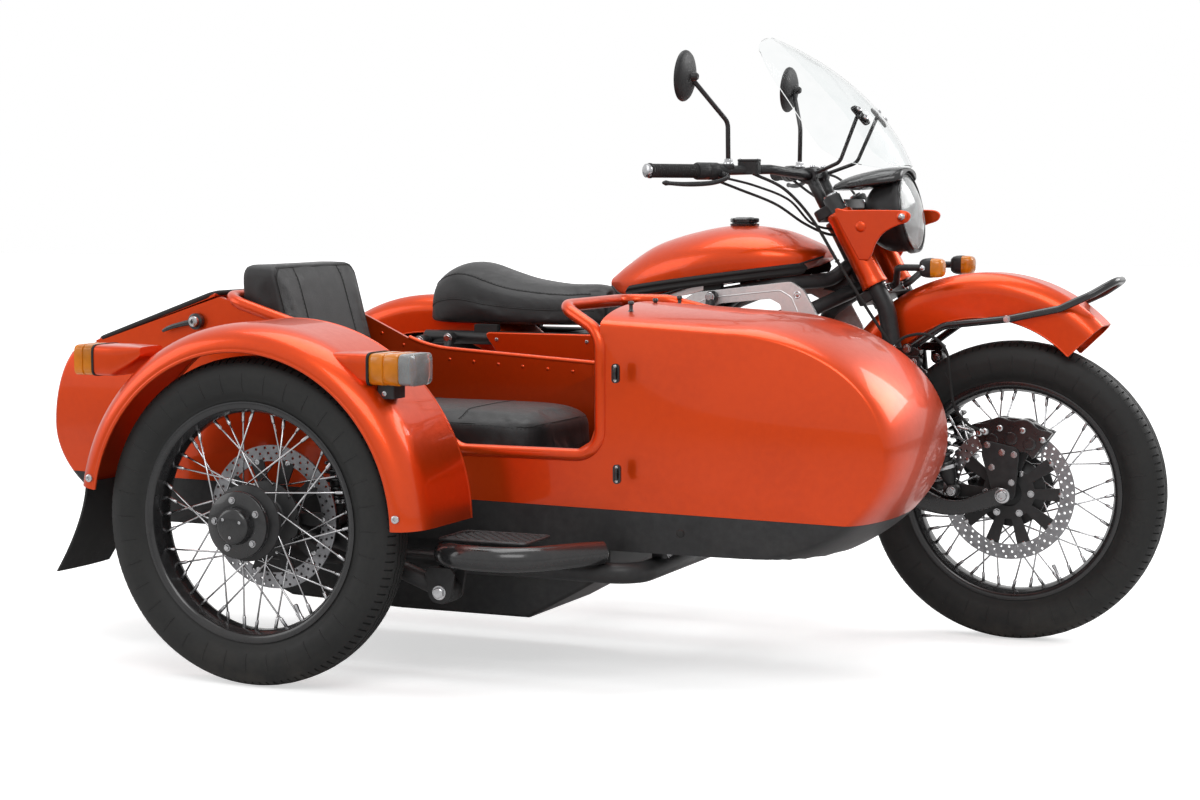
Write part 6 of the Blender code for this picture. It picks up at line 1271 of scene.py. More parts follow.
frontFender = {"centre": (1.423, 0.470), "radius": 0.376, "from": 44.0, "to": 184.0, "half": 0.072,
    "edge": 0.0396, "skirt": 0.062, "thickness": 0.0032, "ribs": 0.0440, "ribHeight": 0.0013,
    "ribWidth": 0.0030}
bumper = {"rear": 1.2536, "low": 0.6653, "tip": (1.720, 0.831), "radius": 0.0085, "bend": 0.060,
    "shares": [(0.0, 0.0), (0.18, 0.36), (0.50, 0.47), (0.75, 0.62), (0.90, 0.82), (1.0, 1.0)],
    "spread": [0.100, 0.088, 0.088, 0.083, 0.079, 0.053]}
link = {"edge": [(1.243, 0.367), (1.228, 0.352), (1.240, 0.322), (1.374, 0.289), (1.478, 0.321),
    (1.508, 0.333), (1.508, 0.357), (1.481, 0.366), (1.374, 0.319), (1.288, 0.362)],
    "bends": [0.014, 0.016, 0.040, 0.160, 0.060, 0.013, 0.013, 0.030, 0.130, 0.050], "spread": 0.100,
    "half": 0.0293, "cheek": 0.008, "axle": 0.010}
caliper = {"inner": 0.100, "outer": 0.176, "middle": 86.0, "span": 64.0, "near": -0.0402, "far": -0.0918,
    "slotNear": -0.0585, "slotFar": -0.0735, "bridge": 0.1648, "boltRadius": 0.151,
    "bolts": (57.0, 76.0, 96.0, 115.0), "plate": [(1.463, 0.330), (1.511, 0.333), (1.520, 0.4508),
    (1.436, 0.4675), (1.433, 0.4332)], "plateBends": [0.014, 0.014, 0.016, 0.012, 0.030],
    "plateNear": -0.0870, "plateFar": -0.0968, "plateBolts": [(1.446, 0.456), (1.480, 0.440),
    (1.508, 0.436), (1.457, 0.405), (1.503, 0.372)]}
frontShock = {"foot": (1.369, 0.348), "top": (1.276, 0.640), "turns": 8.5}
shock = {"coil": 0.0234, "wire": 0.0044, "can": 0.0225}
hose = [(1.229, -0.1262, 0.672), (1.262, -0.134, 0.700), (1.318, -0.140, 0.706), (1.358, -0.138, 0.672),
    (1.366, -0.130, 0.610), (1.374, -0.118, 0.545), (1.402, -0.104, 0.503), (1.440, -0.0962, 0.486)]


def makeFender(name, body, node, settings):
    # a channel swept round an arc: straight skirts, quarter rounds, a level crown with two ribs
    half, edge, skirt = settings["half"], settings["edge"], settings["skirt"]
    turn = np.linspace(0, np.pi / 2, 13)
    shoulder = np.stack([half - edge + edge * np.sin(turn), -edge + edge * np.cos(turn)], -1)
    side = np.stack([np.full(7, half), -edge - skirt * np.linspace(0, 1, 8)[1:]], -1)
    crown = np.stack([np.linspace(0, half - edge, 8)[:-1], np.zeros(7)], -1)
    right = np.vstack([crown, shoulder, side])
    section = np.vstack([right[:0:-1] * (-1, 1), right])
    slope = np.gradient(section, axis=0)
    normal = unit(np.stack([slope[:, 1], -slope[:, 0]], -1))
    normal = np.where((normal * (section - (0, -edge - skirt))).sum(-1, keepdims=True) < 0, -normal, normal)
    away = (np.abs(section[:, 0]) - settings["ribs"]) / settings["ribWidth"]
    raised = section + normal * (settings["ribHeight"] * np.exp(-away ** 2))[:, None]
    angle = np.radians(np.linspace(settings["from"], settings["to"], 84))[:, None]
    sides = []
    for line in (raised, section - normal * settings["thickness"]):
        away = settings["radius"] + line[None, :, 1]
        sides.append(np.stack([settings["centre"][0] + away * np.cos(angle), line[None, :, 0] + 0 * angle,
                settings["centre"][1] + away * np.sin(angle)], -1))
    outer, inner = sides
    piece(name + "Sheet", sheet(outer, inner), "paint", body, [node], smooth=50)
    rims = [pipe((outer[:, column] + inner[:, column]) / 2, 0.0023, 10) for column in (0, -1)]
    rims += [pipe((outer[row] + inner[row]) / 2, 0.0021, 10) for row in (0, -1)]
    piece(name + "Bead", join(*rims), "paint", body)


def bumperPath():
    tip, rear, low = bumper["tip"], bumper["rear"], bumper["low"]
    side = [(rear + along * (tip[0] - rear), low + up * (tip[1] - low)) for along, up in bumper["shares"]]
    right = [(x, -y, z) for (x, z), y in zip(side, bumper["spread"])]
    left = [(x, y, z) for (x, z), y in zip(side, bumper["spread"])]
    return right + left[::-1]


def makeBumper():
    path = bumperPath()
    tube = pipe(bent(path, bumper["bend"], 10), bumper["radius"], 24)
    x, z = path[2][0], path[2][2]
    clips, bolts = [], []
    for sign in (-1.0, 1.0):
        near, far = sorted((sign * 0.0722, sign * 0.0880))
        outline = rounded([(x - 0.012, z - 0.006), (x + 0.012, z - 0.006), (x + 0.012, z + 0.006),
                (x - 0.012, z + 0.006)], 0.004, 4)
        clips.append(prism(outline, near, far))
        bolts.append(repeated(hexBolt(0.0060, 0.0052), [(x, sign * 0.0962, z)], (0, sign, 0)))
        eye = revolve([(0, -0.0030), (0.0115, -0.0030), (0.0125, -0.0015), (0.0125, 0.0015),
                (0.0115, 0.0030), (0, 0.0030)], (1.2620, sign * 0.1185, 0.672), (0, sign, 0), 28)
        clips.append(eye)
        bolts.append(repeated(hexBolt(0.0068, 0.0060), [(1.2620, sign * 0.1215, 0.672)], (0, sign, 0)))
    piece("fenderBarTube", join(tube, *clips), "blackPaint", "steering", ["fender_bar"], smooth=50)
    piece("fenderBarBolts", join(*bolts), "steel", "steering")


def makeLink():
    # forged cheeks on both sides of each leg, joined by a beam below the shock's foot
    edge = rounded(link["edge"], link["bends"], 8)
    beam = rounded([(1.262, 0.328), (1.300, 0.302), (1.374, 0.2905), (1.470, 0.322), (1.470, 0.336),
            (1.374, 0.3085), (1.300, 0.322), (1.270, 0.334)], [0.006, 0.04, 0.14, 0.006, 0.006, 0.12, 0.04,
            0.006], 6)
    cheeks, screws = [], []
    for sign in (-1.0, 1.0):
        y = sign * link["spread"]
        for side in (-1.0, 1.0):
            cheeks.append(prism(edge,
                    *sorted((y + side * link["half"], y + side * (link["half"] - link["cheek"])))))
        cheeks.append(prism(beam, y - link["half"] + 0.003, y + link["half"] - 0.003))
        outside = sign * (link["spread"] + link["half"])
        way = (0, sign, 0)
        screws.append(repeated(hexBolt(0.0105, 0.0085, 1.30), [(1.258, outside, 0.352)], way))
        screws.append(repeated(hexBolt(0.0085, 0.0075, 1.30), [(1.369, outside - sign * 0.012, 0.348)],
                way))
        screws.append(revolve([(0, -0.004), (0.0168, -0.004), (0.0172, 0.0010), (0.0160, 0.0022),
                (0.0125, 0.0024), (0.0118, 0.0100), (0.0100, 0.0118), (0.0060, 0.0118), (0.0054, 0.0060),
                (0, 0.0060)], (frontX, outside, axleZ), way, 40))
    piece("leadingLinkArms", join(*cheeks), "blackPaint", "steering", ["leading_link"],
            bevel=0.0026, steps=3)
    piece("leadingLinkBolts", join(*screws), "steel", "steering")
    bar = pipe([(frontX, -0.1290, axleZ), (frontX, 0, axleZ), (frontX, 0.1290, axleZ)], link["axle"], 28)
    piece("frontAxle", bar, "steel", "steering")


def sector(inner, outer, low, high, lobes=0.0, steps=64):
    # an arc of a ring about the front axle; the outer edge dips between the bolts
    angle = np.radians(np.linspace(low, high, steps))
    dip = lobes * np.abs(np.sin((angle - angle[0]) / (angle[-1] - angle[0]) * 3 * np.pi)) ** 2
    far = np.stack([frontX + (outer - dip) * np.cos(angle), axleZ + (outer - dip) * np.sin(angle)], -1)
    near = np.stack([frontX + (inner + dip * 0.7) * np.cos(angle),
            axleZ + (inner + dip * 0.7) * np.sin(angle)], -1)
    return np.vstack([far, near[::-1]])


def makeCaliper():
    low, high = caliper["middle"] - caliper["span"] / 2, caliper["middle"] + caliper["span"] / 2
    outline = sector(caliper["inner"], caliper["outer"], low, high, 0.0075)
    halves = [prism(outline, caliper["far"] + 0.0006, caliper["slotFar"]), prism(outline,
            caliper["slotNear"], caliper["near"])]
    piece("brakeCaliperHalves", join(*halves), "blackPaint", "steering", bevel=0.0034, steps=3)
    bridge = prism(sector(caliper["bridge"], caliper["outer"] - 0.003, low + 5, high - 5, steps=24),
            caliper["slotFar"] - 0.004, caliper["slotNear"] + 0.004)
    piece("brakeCaliperBridge", bridge, "blackPaint", "steering", bevel=0.0012)
    angle = np.radians(caliper["bolts"])
    places = np.stack([frontX + caliper["boltRadius"] * np.cos(angle), np.full(4, caliper["far"] + 0.0004),
            axleZ + caliper["boltRadius"] * np.sin(angle)], -1)
    bolts = repeated(roundBolt(0.0078, 0.0056), places, (0, -1, 0))
    pistons = np.radians([66.0, 86.0, 106.0])
    spots = np.stack([frontX + 0.127 * np.cos(pistons), np.full(3, caliper["far"]),
            axleZ + 0.127 * np.sin(pistons)], -1)
    plug = revolve([(0, -0.002), (0.0150, -0.002), (0.0150, 0.0010), (0.0138, 0.0024), (0.0096, 0.0026),
            (0.0090, 0.0016), (0, 0.0016)], steps=32)
    piece("brakeCaliperPlugs", repeated(plug, spots, (0, -1, 0)), "blackPaint", "steering")
    plate = rounded(caliper["plate"], caliper["plateBends"], 6)
    piece("brakeCaliperPlate", prism(plate, caliper["plateFar"], caliper["plateNear"]), "satinBlack",
            "steering", bevel=0.0014)
    places = [(x, caliper["plateFar"] + 0.0004, z) for x, z in caliper["plateBolts"]]
    screws = repeated(hexBolt(0.0056, 0.0050), places, (0, -1, 0))
    rod = [pipe([(1.4100, -0.0850, 0.4860), (1.3950, -0.0850, 0.4890), (1.3780, -0.0850, 0.4925)], 0.0042,
            14)]
    rod.append(revolve([(0, -0.004), (0.0072, -0.004), (0.0072, 0.006), (0.0050, 0.0085), (0, 0.0085)],
            (1.4080, -0.0850, 0.4864), (-0.98, 0, 0.20), 6))
    rod.append(revolve([(0, -0.002), (0.0060, -0.002), (0.0064, 0.004), (0.0040, 0.0080), (0, 0.0080)],
            (1.3800, -0.0850, 0.4920), (-0.98, 0, 0.20), 20))
    piece("brakeCaliperBolts", join(bolts, screws, *rod), "steel", "steering")


def shockParts(foot, top, turns):
    # body, collar, spring and can along the line from foot to top; profiles are (radius, distance)
    coil, wire, can = shock["coil"], shock["wire"], shock["can"]
    foot, top = np.asarray(foot, float), np.asarray(top, float)
    length = np.linalg.norm(top - foot)
    way = (top - foot) / length
    low, high = 0.19 * length, 0.745 * length
    body = revolve([(0, 0.011), (0.0098, 0.011), (0.0110, 0.017), (0.0168, 0.030), (0.0200, low - 0.006),
            (0, low - 0.006)], foot, way, 40)
    core = revolve([(0, low - 0.008), (0.0162, low - 0.008), (0.0162, high + 0.004), (0, high + 0.004)],
            foot, way, 32)
    upper = revolve([(0.0120, high - 0.003), (coil + wire - 0.0006, high - 0.003),
            (coil + wire, high - 0.001), (coil + wire, high + 0.004), (coil + wire - 0.0030, high + 0.0065),
            (can, high + 0.0085), (can, length - 0.034), (can - 0.0025, length - 0.026),
            (0.0125, length - 0.018), (0.0110, length - 0.011), (0.0060, length - 0.011)], foot, way, 44,
            ring=True)
    collar = revolve([(0.0120, low - 0.0075), (coil + 0.0030, low - 0.0075), (coil + wire - 0.0008,
            low - 0.0060), (coil + wire - 0.0008, low + 0.0004), (coil, low + 0.0026),
            (0.0120, low + 0.0026)], foot, way, 44, ring=True)
    wind = spring(foot + way * (low + 0.004), foot + way * (high - 0.004), coil, wire, turns)
    eyes = [revolve([(0.0052, -0.0148), (0.0136, -0.0148), (0.0148, -0.0135), (0.0148, 0.0135),
            (0.0136, 0.0148), (0.0052, 0.0148)], place, (0, 1, 0), 32, ring=True) for place in (foot, top)]
    return {"black": join(body, core, *eyes), "gloss": upper, "spring": wind, "steel": collar}


def makeShock(name, body, node, foot, top, turns):
    made = shockParts(foot, top, turns)
    piece(name + "Body", made["black"], "satinBlack", body, [node], smooth=50)
    piece(name + "Can", made["gloss"], "blackPaint", body, smooth=40)
    piece(name + "Spring", made["spring"], "blackPaint", body, smooth=60)
    piece(name + "Collar", made["steel"], "steel", body, smooth=40)


def makeIndicator(prefix, sign):
    # rounded squares along the machine: a black half behind and the lens in front
    x, y, z = 1.318, sign * 0.135, 0.858
    turn = np.linspace(0, tau, 65)[:-1]
    square = np.stack([np.sign(np.cos(turn)) * np.abs(np.cos(turn)) ** 0.55,
            np.sign(np.sin(turn)) * np.abs(np.sin(turn)) ** 0.55], -1)

    def loft(table):
        rows = [np.stack([np.full(64, x + offset), y + square[:, 0] * size * 0.0252,
                z + square[:, 1] * size * 0.0225], -1) for offset, size in table]
        return grid(np.array(rows), closeColumns=True)
    case = loft([(-0.0224, 0.20), (-0.0220, 0.46), (-0.0200, 0.70), (-0.0150, 0.88), (-0.0080, 0.97),
            (0.0, 1.0), (0.0062, 1.0), (0.0066, 0.97)])
    lens = loft([(0.0066, 0.95), (0.0070, 0.975), (0.0180, 0.965), (0.0250, 0.93), (0.0300, 0.82),
            (0.0328, 0.62), (0.0336, 0.30)])
    piece("indicatorLens" + prefix, lens, "amber", "steering", ["indicator_" + prefix.lower()],
            smooth=40)
    foot = axisAt(fork["clamps"][0]) + onward * 0.056 + np.array([0, sign * 0.055, 0])
    bend = foot + onward * 0.018
    stalk = pipe(bent([foot, bend, (bend[0] + 0.026, y, z), (x - 0.014, y, z)], 0.016, 8), 0.0078, 20)
    piece("indicatorCase" + prefix, join(case, stalk), "satinBlack", "steering", smooth=40)
    bolt = repeated(hexBolt(0.0070, 0.0064), [foot + onward * 0.0016], onward)
    head = revolve([(0, 0.0), (0.0062, 0.0), (0.0062, 0.003), (0.0040, 0.0052), (0, 0.0056)],
            (x - 0.010, sign * 0.1598, z), (0, sign, 0), 20)
    piece("indicatorBolts" + prefix, join(bolt, head), "steel", "steering")


def makeHose():
    path = curve(hose, 12)
    piece("frontBrakeHoseRun", pipe(path, 0.0034, 16), "grip", "steering", ["front_brake_hose"],
            smooth=60)
    start, end = unit(path[1] - path[0]), unit(path[-1] - path[-2])
    ferrule = [(0, 0.0), (0.0046, 0.0), (0.0046, 0.0100), (0.0038, 0.0120), (0, 0.0120)]
    banjo = [(0, -0.0042), (0.0080, -0.0042), (0.0080, -0.0012), (0.0072, -0.0004), (0.0072, 0.0030),
            (0.0050, 0.0042), (0, 0.0042)]
    parts = [revolve(ferrule, path[0], start, 18), revolve(ferrule, path[-1] - end * 0.012, end, 18),
            revolve(banjo, hose[-1], (0, -1, 0), 24)]
    piece("frontBrakeHoseEnds", join(*parts), "steel", "steering")


makeFender("frontFender", "steering", "front_fender", frontFender)
makeBumper()
makeLink()
makeCaliper()
for prefix, sign in hands:
    foot, top = frontShock["foot"], frontShock["top"]
    makeShock("frontShock" + prefix, "steering", "front_shock_" + prefix.lower(),
            (foot[0], sign * 0.100, foot[1]), (top[0], sign * 0.100, top[1]), frontShock["turns"])
    makeIndicator(prefix, sign)
makeHose()
print("front end ready")


# motorcycle frame, battery and motor

bike = {"half": 0.125, "tube": 0.017, "bend": 0.070, "rail": [(0.963, 0.817), (0.762, 0.780),
    (0.640, 0.689), (0.500, 0.672), (0.020, 0.672)], "down": [(0.985, 0.735), (0.955, 0.225),
    (0.389, 0.225), (0.372, 0.672)], "cross": [(0.955, 0.295), (0.459, 0.225), (0.372, 0.672)],
    "crossRadius": 0.014, "neck": (1.053, 0.042, 0.824), "root": (1.1036, 0.0, 0.8715),
    "foot": (1.1335, 0.0, 0.8154), "headFoot": (1.1443, 0.0, 0.795), "head": [(0.0170, 0.0006),
    (0.0296, 0.0006), (0.0300, 0.0020), (0.0300, 0.0150), (0.0284, 0.0170), (0.0276, 0.0300),
    (0.0276, 0.1620), (0.0284, 0.1760), (0.0300, 0.1780), (0.0300, 0.1905), (0.0296, 0.1919),
    (0.0170, 0.1919)]}
battery = {"rear": 0.5856, "front": 0.9244, "half": 0.0996, "low": 0.3000, "high": 0.7346, "ribs": 13,
    "edge": [(0.600, 0.286), (0.880, 0.272), (0.962, 0.330), (1.052, 0.600), (1.082, 0.699), (1.023, 0.803),
    (0.991, 0.823), (0.753, 0.794), (0.638, 0.725), (0.594, 0.600)], "window": [(0.640, 0.330),
    (0.862, 0.318), (0.916, 0.360), (0.980, 0.600), (0.985, 0.697), (0.966, 0.770), (0.942, 0.782),
    (0.817, 0.769), (0.700, 0.722), (0.640, 0.600)], "near": 0.1412, "far": 0.1538,
    "bolts": [(1.008, 0.792), (0.738, 0.764), (0.616, 0.662), (0.618, 0.312), (0.900, 0.300),
    (1.056, 0.690)]}
motor = {"centre": (0.490, 0.345), "radius": 0.082, "half": 0.090, "fins": 9}
tank = {"rear": 0.492, "front": 1.036, "low": 0.762, "high": 0.951, "half": 0.148,
    "sections": [(0.0, 0.30, 0.20, 0.34), (0.08, 0.52, 0.08, 0.52), (0.22, 0.74, 0.05, 0.76),
    (0.42, 0.93, 0.20, 0.93), (0.60, 1.0, 0.32, 1.0), (0.78, 0.98, 0.40, 0.95), (0.90, 0.82, 0.48, 0.83),
    (0.97, 0.54, 0.56, 0.74), (1.0, 0.28, 0.60, 0.68)], "base": 0.35, "dome": 0.9, "corner": 0.30,
    "stripRear": 0.545, "stripFront": 1.012, "stripHalf": 0.0135, "filler": (0.822, 0.0, 0.951)}


def makeMainFrame():
    tubes = []
    for sign in (-1.0, 1.0):
        side = sign * bike["half"]
        neck = np.array(bike["neck"]) * (1, sign, 1)
        rail = [np.array(bike["root"]), neck] + [np.array((x, side, z)) for x, z in bike["rail"]]
        down = [np.array(bike["foot"])] + [np.array((x, side, z)) for x, z in bike["down"]]
        tubes += [pipe(bent(path, bike["bend"], 12), bike["tube"], 24) for path in (rail, down)]
    for x, z in bike["cross"]:
        tubes.append(pipe([(x, -bike["half"], z), (x, 0, z), (x, bike["half"], z)], bike["crossRadius"],
                20))
    for sign in (-1.0, 1.0):
        tubes.append(pipe([(0.040, sign * 0.120, 0.664), (0.040, sign * 0.145, 0.664),
                (0.040, sign * 0.1624, 0.664)], 0.0078, 16))
    head = revolve(bike["head"], bike["headFoot"], steer, 48, ring=True)
    piece("motorcycleFrameTubes", join(*tubes), "satinBlack", "chassis", ["main_frame"], smooth=50)
    piece("steeringHead", head, "satinBlack", "chassis", smooth=40)
    gusset = [(1.090, 0.862), (1.050, 0.832), (1.024, 0.800), (1.060, 0.796), (1.106, 0.812)]
    plates = [prism(gusset, level - 0.0022, level + 0.0022) for level in (-0.010, 0.010)]
    piece("steeringHeadGussets", join(*plates), "satinBlack", "chassis", bevel=0.0008)


def makeBattery():
    # a ribbed case with a bolted lid, on feet that stand on the cradle
    rear, front, half, low, high = [battery[key] for key in ("rear", "front", "half", "low", "high")]
    body = block((rear + 0.004, -half + 0.006, low), (front - 0.004, half - 0.006, high - 0.030), 0.012)
    lid = block((rear, -half, high - 0.030), (front, half, high), 0.014)
    lip = block((rear, -half, high - 0.046), (front, half, high - 0.036), 0.014)
    piece("batteryCaseBody", join(body, lip), "satinBlack", "chassis", ["battery_case"],
            bevel=0.0022)
    piece("batteryCaseLid", lid, "plastic", "chassis", bevel=0.0040, steps=3)
    ribs, feet = [], []
    for place in np.linspace(rear + 0.030, front - 0.030, battery["ribs"]):
        for sign in (-1.0, 1.0):
            near, far = sorted((sign * (half - 0.008), sign * (half - 0.0004)))
            ribs.append(block((place - 0.0028, near, low + 0.020), (place + 0.0028, far, high - 0.060)))
    for place in (rear + 0.0444, front - 0.0434):
        feet.append(block((place - 0.0118, -half * 0.9, 0.262), (place + 0.0118, half * 0.9, low + 0.002),
                0.002))
        feet.append(block((place - 0.0118, -0.1355, 0.2445), (place + 0.0118, 0.1355, 0.2620), 0.004))
    piece("batteryCaseRibs", join(*ribs), "satinBlack", "chassis", bevel=0.0008)
    piece("batteryCaseFeet", join(*feet), "satinBlack", "chassis", bevel=0.0014)
    spots = [(x, y, high) for x in (rear + 0.020, rear + 0.120, front - 0.120,
            front - 0.020) for y in (-half + 0.012, half - 0.012)]
    piece("batteryLidScrews", repeated(roundBolt(0.0048, 0.0034), spots, (0, 0, 1)), "steel", "chassis")
    leads = [curve([(0.905, sign * 0.040, 0.730), (0.935, sign * 0.042, 0.746),
            (0.944, sign * 0.046, 0.700), (0.940, sign * 0.050, 0.560), (0.938, sign * 0.050, 0.420),
            (0.930, sign * 0.046, 0.360), (0.915, sign * 0.042, 0.345)], 8) for sign in (-1.0, 1.0)]
    piece("batteryLeads", join(*[pipe(path, 0.0062, 14) for path in leads]), "grip", "chassis")


def makeBatteryFrames():
    edge = rounded(battery["edge"], [0.02, 0.04, 0.05, 0.20, 0.05, 0.03, 0.03, 0.06, 0.06, 0.10], 6)
    window = rounded(battery["window"], [0.012, 0.03, 0.03, 0.12, 0.04, 0.012, 0.012, 0.04, 0.04, 0.05], 6)
    strut = revolve([(0, 0.12), (0.0112, 0.12), (0.0112, 0.17), (0, 0.17)], (0.800, 0, 0.785), (0, -1, 0),
            24)
    inside = edge * 0.5 + window * 0.5
    for prefix, sign in hands:
        low, high = sorted((sign * battery["near"], sign * battery["far"]))
        ring = prism(edge, low, high)
        cuts = [("DIFFERENCE", prism(window, low - 0.01, high + 0.01))]
        if sign < 0:
            cuts.append(("DIFFERENCE", strut))
        piece("batteryFrame" + prefix, carved(ring, cuts), "alloy", "chassis",
                ["battery_frame_" + prefix.lower()], bevel=0.0036, steps=3, smooth=0)
        bead = np.stack([inside[:, 0], np.full(len(inside), sign * (battery["far"] - 0.0008)),
                inside[:, 1]], -1)
        piece("batteryFrameRib" + prefix, pipe(bead, 0.0018, 8, closed=True), "alloy", "chassis")
        places = [(x, sign * (battery["far"] - 0.0006), z) for x, z in battery["bolts"]]
        cup = revolve([(0, -0.001), (0.0088, -0.001), (0.0088, 0.0006), (0.0074, 0.0012), (0.0048, 0.0002),
                (0, 0.0002)], steps=24)
        heads = join(repeated(cup, places, (0, sign, 0)), repeated(roundBolt(0.0046, 0.0022), places,
                (0, sign, 0)))
        piece("batteryFrameBolts" + prefix, heads, "steel", "chassis")


def makeMotor():
    # a drum with cooling fins round its middle and bolted covers at both ends
    x, z = motor["centre"]
    radius, half = motor["radius"], motor["half"]
    profile = [(0, -half), (0.030, -half), (0.034, -half + 0.003), (0.066, -half + 0.005),
            (0.074, -half + 0.010), (0.0745, -half + 0.022), (radius, -half + 0.024),
            (radius, -half + 0.030)]
    for place in np.linspace(-half + 0.034, half - 0.034, motor["fins"]):
        profile += [(0.0715, place - 0.0028), (0.0715, place - 0.0012), (radius - 0.0006, place - 0.0006),
                (radius - 0.0006, place + 0.0030)]
    profile += [(radius, half - 0.028), (radius, half - 0.022), (0.0745, half - 0.020),
            (0.074, half - 0.010), (0.066, half - 0.005), (0.034, half - 0.003), (0.030, half), (0, half)]
    piece("motorDrum", revolve(profile, (x, 0, z), (0, 1, 0), 72), "iron", "chassis", ["motor"],
            smooth=40)
    mount = block((x + 0.010, -0.056, z - 0.048), (0.5845, 0.056, z + 0.048), 0.004)
    piece("motorMount", mount, "iron", "chassis", bevel=0.0030)
    turn = np.arange(8) / 8 * tau + 0.2
    for prefix, sign in hands:
        places = np.stack([x + 0.060 * np.cos(turn), np.full(8, sign * (half - 0.0048)),
                z + 0.060 * np.sin(turn)], -1)
        piece("motorCoverBolts" + prefix, repeated(hexBolt(0.0048, 0.0044), places, (0, sign, 0)), "steel",
                "chassis")
    lead = curve([(0.470, 0.030, 0.424), (0.466, 0.032, 0.462), (0.500, 0.030, 0.498),
            (0.556, 0.024, 0.512), (0.590, 0.020, 0.512)], 8)
    piece("motorLead", pipe(lead, 0.0078, 16), "grip", "chassis")


def tankTable(x):
    # half width, bottom, top and shoulder of the tank at distances along the machine
    table = curve(tank["sections"], 10)
    share = (np.asarray(x) - tank["rear"]) / (tank["front"] - tank["rear"])
    order = np.maximum.accumulate(table[:, 0])
    wide, low, high = [np.interp(share, order, table[:, column]) for column in (1, 2, 3)]
    height = tank["high"] - tank["low"]
    low, high = tank["low"] + low * height, tank["low"] + high * height
    return wide * tank["half"], low, high, low + (high - low) * tank["base"]


def tankSide(x, z):
    # the half width at a height; above the shoulder it follows the dome's curve
    half, _, high, shoulder = tankTable(x)
    up = np.clip((z - shoulder) / (high - shoulder), 0, 1) ** (1 / tank["dome"])
    return half * np.sqrt(1 - up ** 2)


def makeTank():
    start, end = tank["rear"], tank["front"]
    x = start + (end - start) * (0.5 - 0.5 * np.cos(np.linspace(0.0, np.pi, 84)))
    half, low, high, shoulder = [some[:, None] for some in tankTable(x)]
    turn = np.linspace(0, tau, 97)[:-1]
    sine, cosine = np.sin(turn)[None], np.cos(turn)[None]
    dome = cosine + 0 * half
    box = np.sign(cosine) * np.abs(cosine) ** tank["corner"]
    y = half * np.where(sine >= 0, dome, box)
    z = np.where(sine >= 0, shoulder + (high - shoulder) * np.abs(sine) ** tank["dome"],
            shoulder - (shoulder - low) * np.abs(sine) ** tank["corner"])
    rows = np.stack([x[:, None] + 0 * y, y, z], -1)
    middle = rows.mean(1, keepdims=True)
    first = middle[:1] + (rows[:1] - middle[:1]) * 0.72
    last = middle[-1:] + (rows[-1:] - middle[-1:]) * 0.72
    rows[0], rows[-1] = first[0], last[0]
    piece("tankShell", grid(rows, closeColumns=True), "paint", "chassis", ["tank"], smooth=50)
    seam = []
    for prefix, sign in hands:
        path = np.stack([x[4:-3], sign * (half[4:-3, 0] * 0.992), low[4:-3, 0] + 0.004], -1)
        seam.append(pipe(path, 0.0026, 10))
        line = np.linspace(tank["stripRear"], tank["stripFront"], 70)
        share = (line - line[0]) / (line[-1] - line[0])
        centre = 0.789 + 0.064 * share ** 0.9
        taper = np.clip(np.minimum(share / 0.03, (1 - share) / 0.022), 0, 1) ** 0.5
        level = np.linspace(-1, 1, 25)
        height = centre[:, None] + tank["stripHalf"] * taper[:, None] * level[None]
        ridge = 0.0012 + 0.0034 * np.exp(-((np.abs(level) - 0.5) / 0.26) ** 4)
        ridge = ridge * np.clip((1 - np.abs(level)) / 0.12, 0.1, 1)
        away = tankSide(line[:, None], height) + ridge[None] * taper[:, None] ** 0.5
        outer = np.stack([line[:, None] + 0 * away, sign * away, height], -1)
        inner = np.stack([line[:, None] + 0 * away, sign * (tankSide(line[:, None], height) - 0.0030),
                height], -1)
        piece("tankStrip" + prefix, sheet(outer, inner), "grip", "chassis", smooth=45)
    piece("tankSeam", join(*seam), "satinBlack", "chassis")
    feet = [block((0.767, sign * 0.125 - 0.010, 0.7845), (0.813, sign * 0.125 + 0.010, 0.832),
            0.003) for sign in (-1.0, 1.0)]
    piece("tankFeet", join(*feet), "grip", "chassis", bevel=0.001)
    # the filler cap's rim swings in and out six times, and every other radius follows it less
    turn = np.linspace(0, tau, 97)[:-1]
    lobes = np.cos(turn * 6)[None]
    profile = np.array([(0.0300, -0.008, 0.0), (0.0345, 0.0, 0.0), (0.0350, 0.0040, 0.0),
            (0.0300, 0.0052, 0.0), (0.0300, 0.0066, 0.0), (0.0338, 0.0080, 0.0016),
            (0.0344, 0.0150, 0.0018), (0.0320, 0.0176, 0.0020), (0.0230, 0.0184, 0.0012),
            (0.0210, 0.0196, 0.0), (0.0100, 0.0198, 0.0), (0.0030, 0.0198, 0.0)])
    away = profile[:, :1] + profile[:, 2:] * lobes
    rows = np.stack([away * np.cos(turn), away * np.sin(turn), profile[:, 1:2] + 0 * away], -1)
    rows = rows + np.array(tank["filler"]) - (0, 0, 0.0005)
    piece("tankFillerCap", grid(rows, closeColumns=True), "blackPaint", "chassis", smooth=35)
    print("tank ready")


makeMainFrame()
makeBattery()
makeBatteryFrames()
makeMotor()
makeTank()


# saddle, covers, rear fender, swing arm and rear shocks

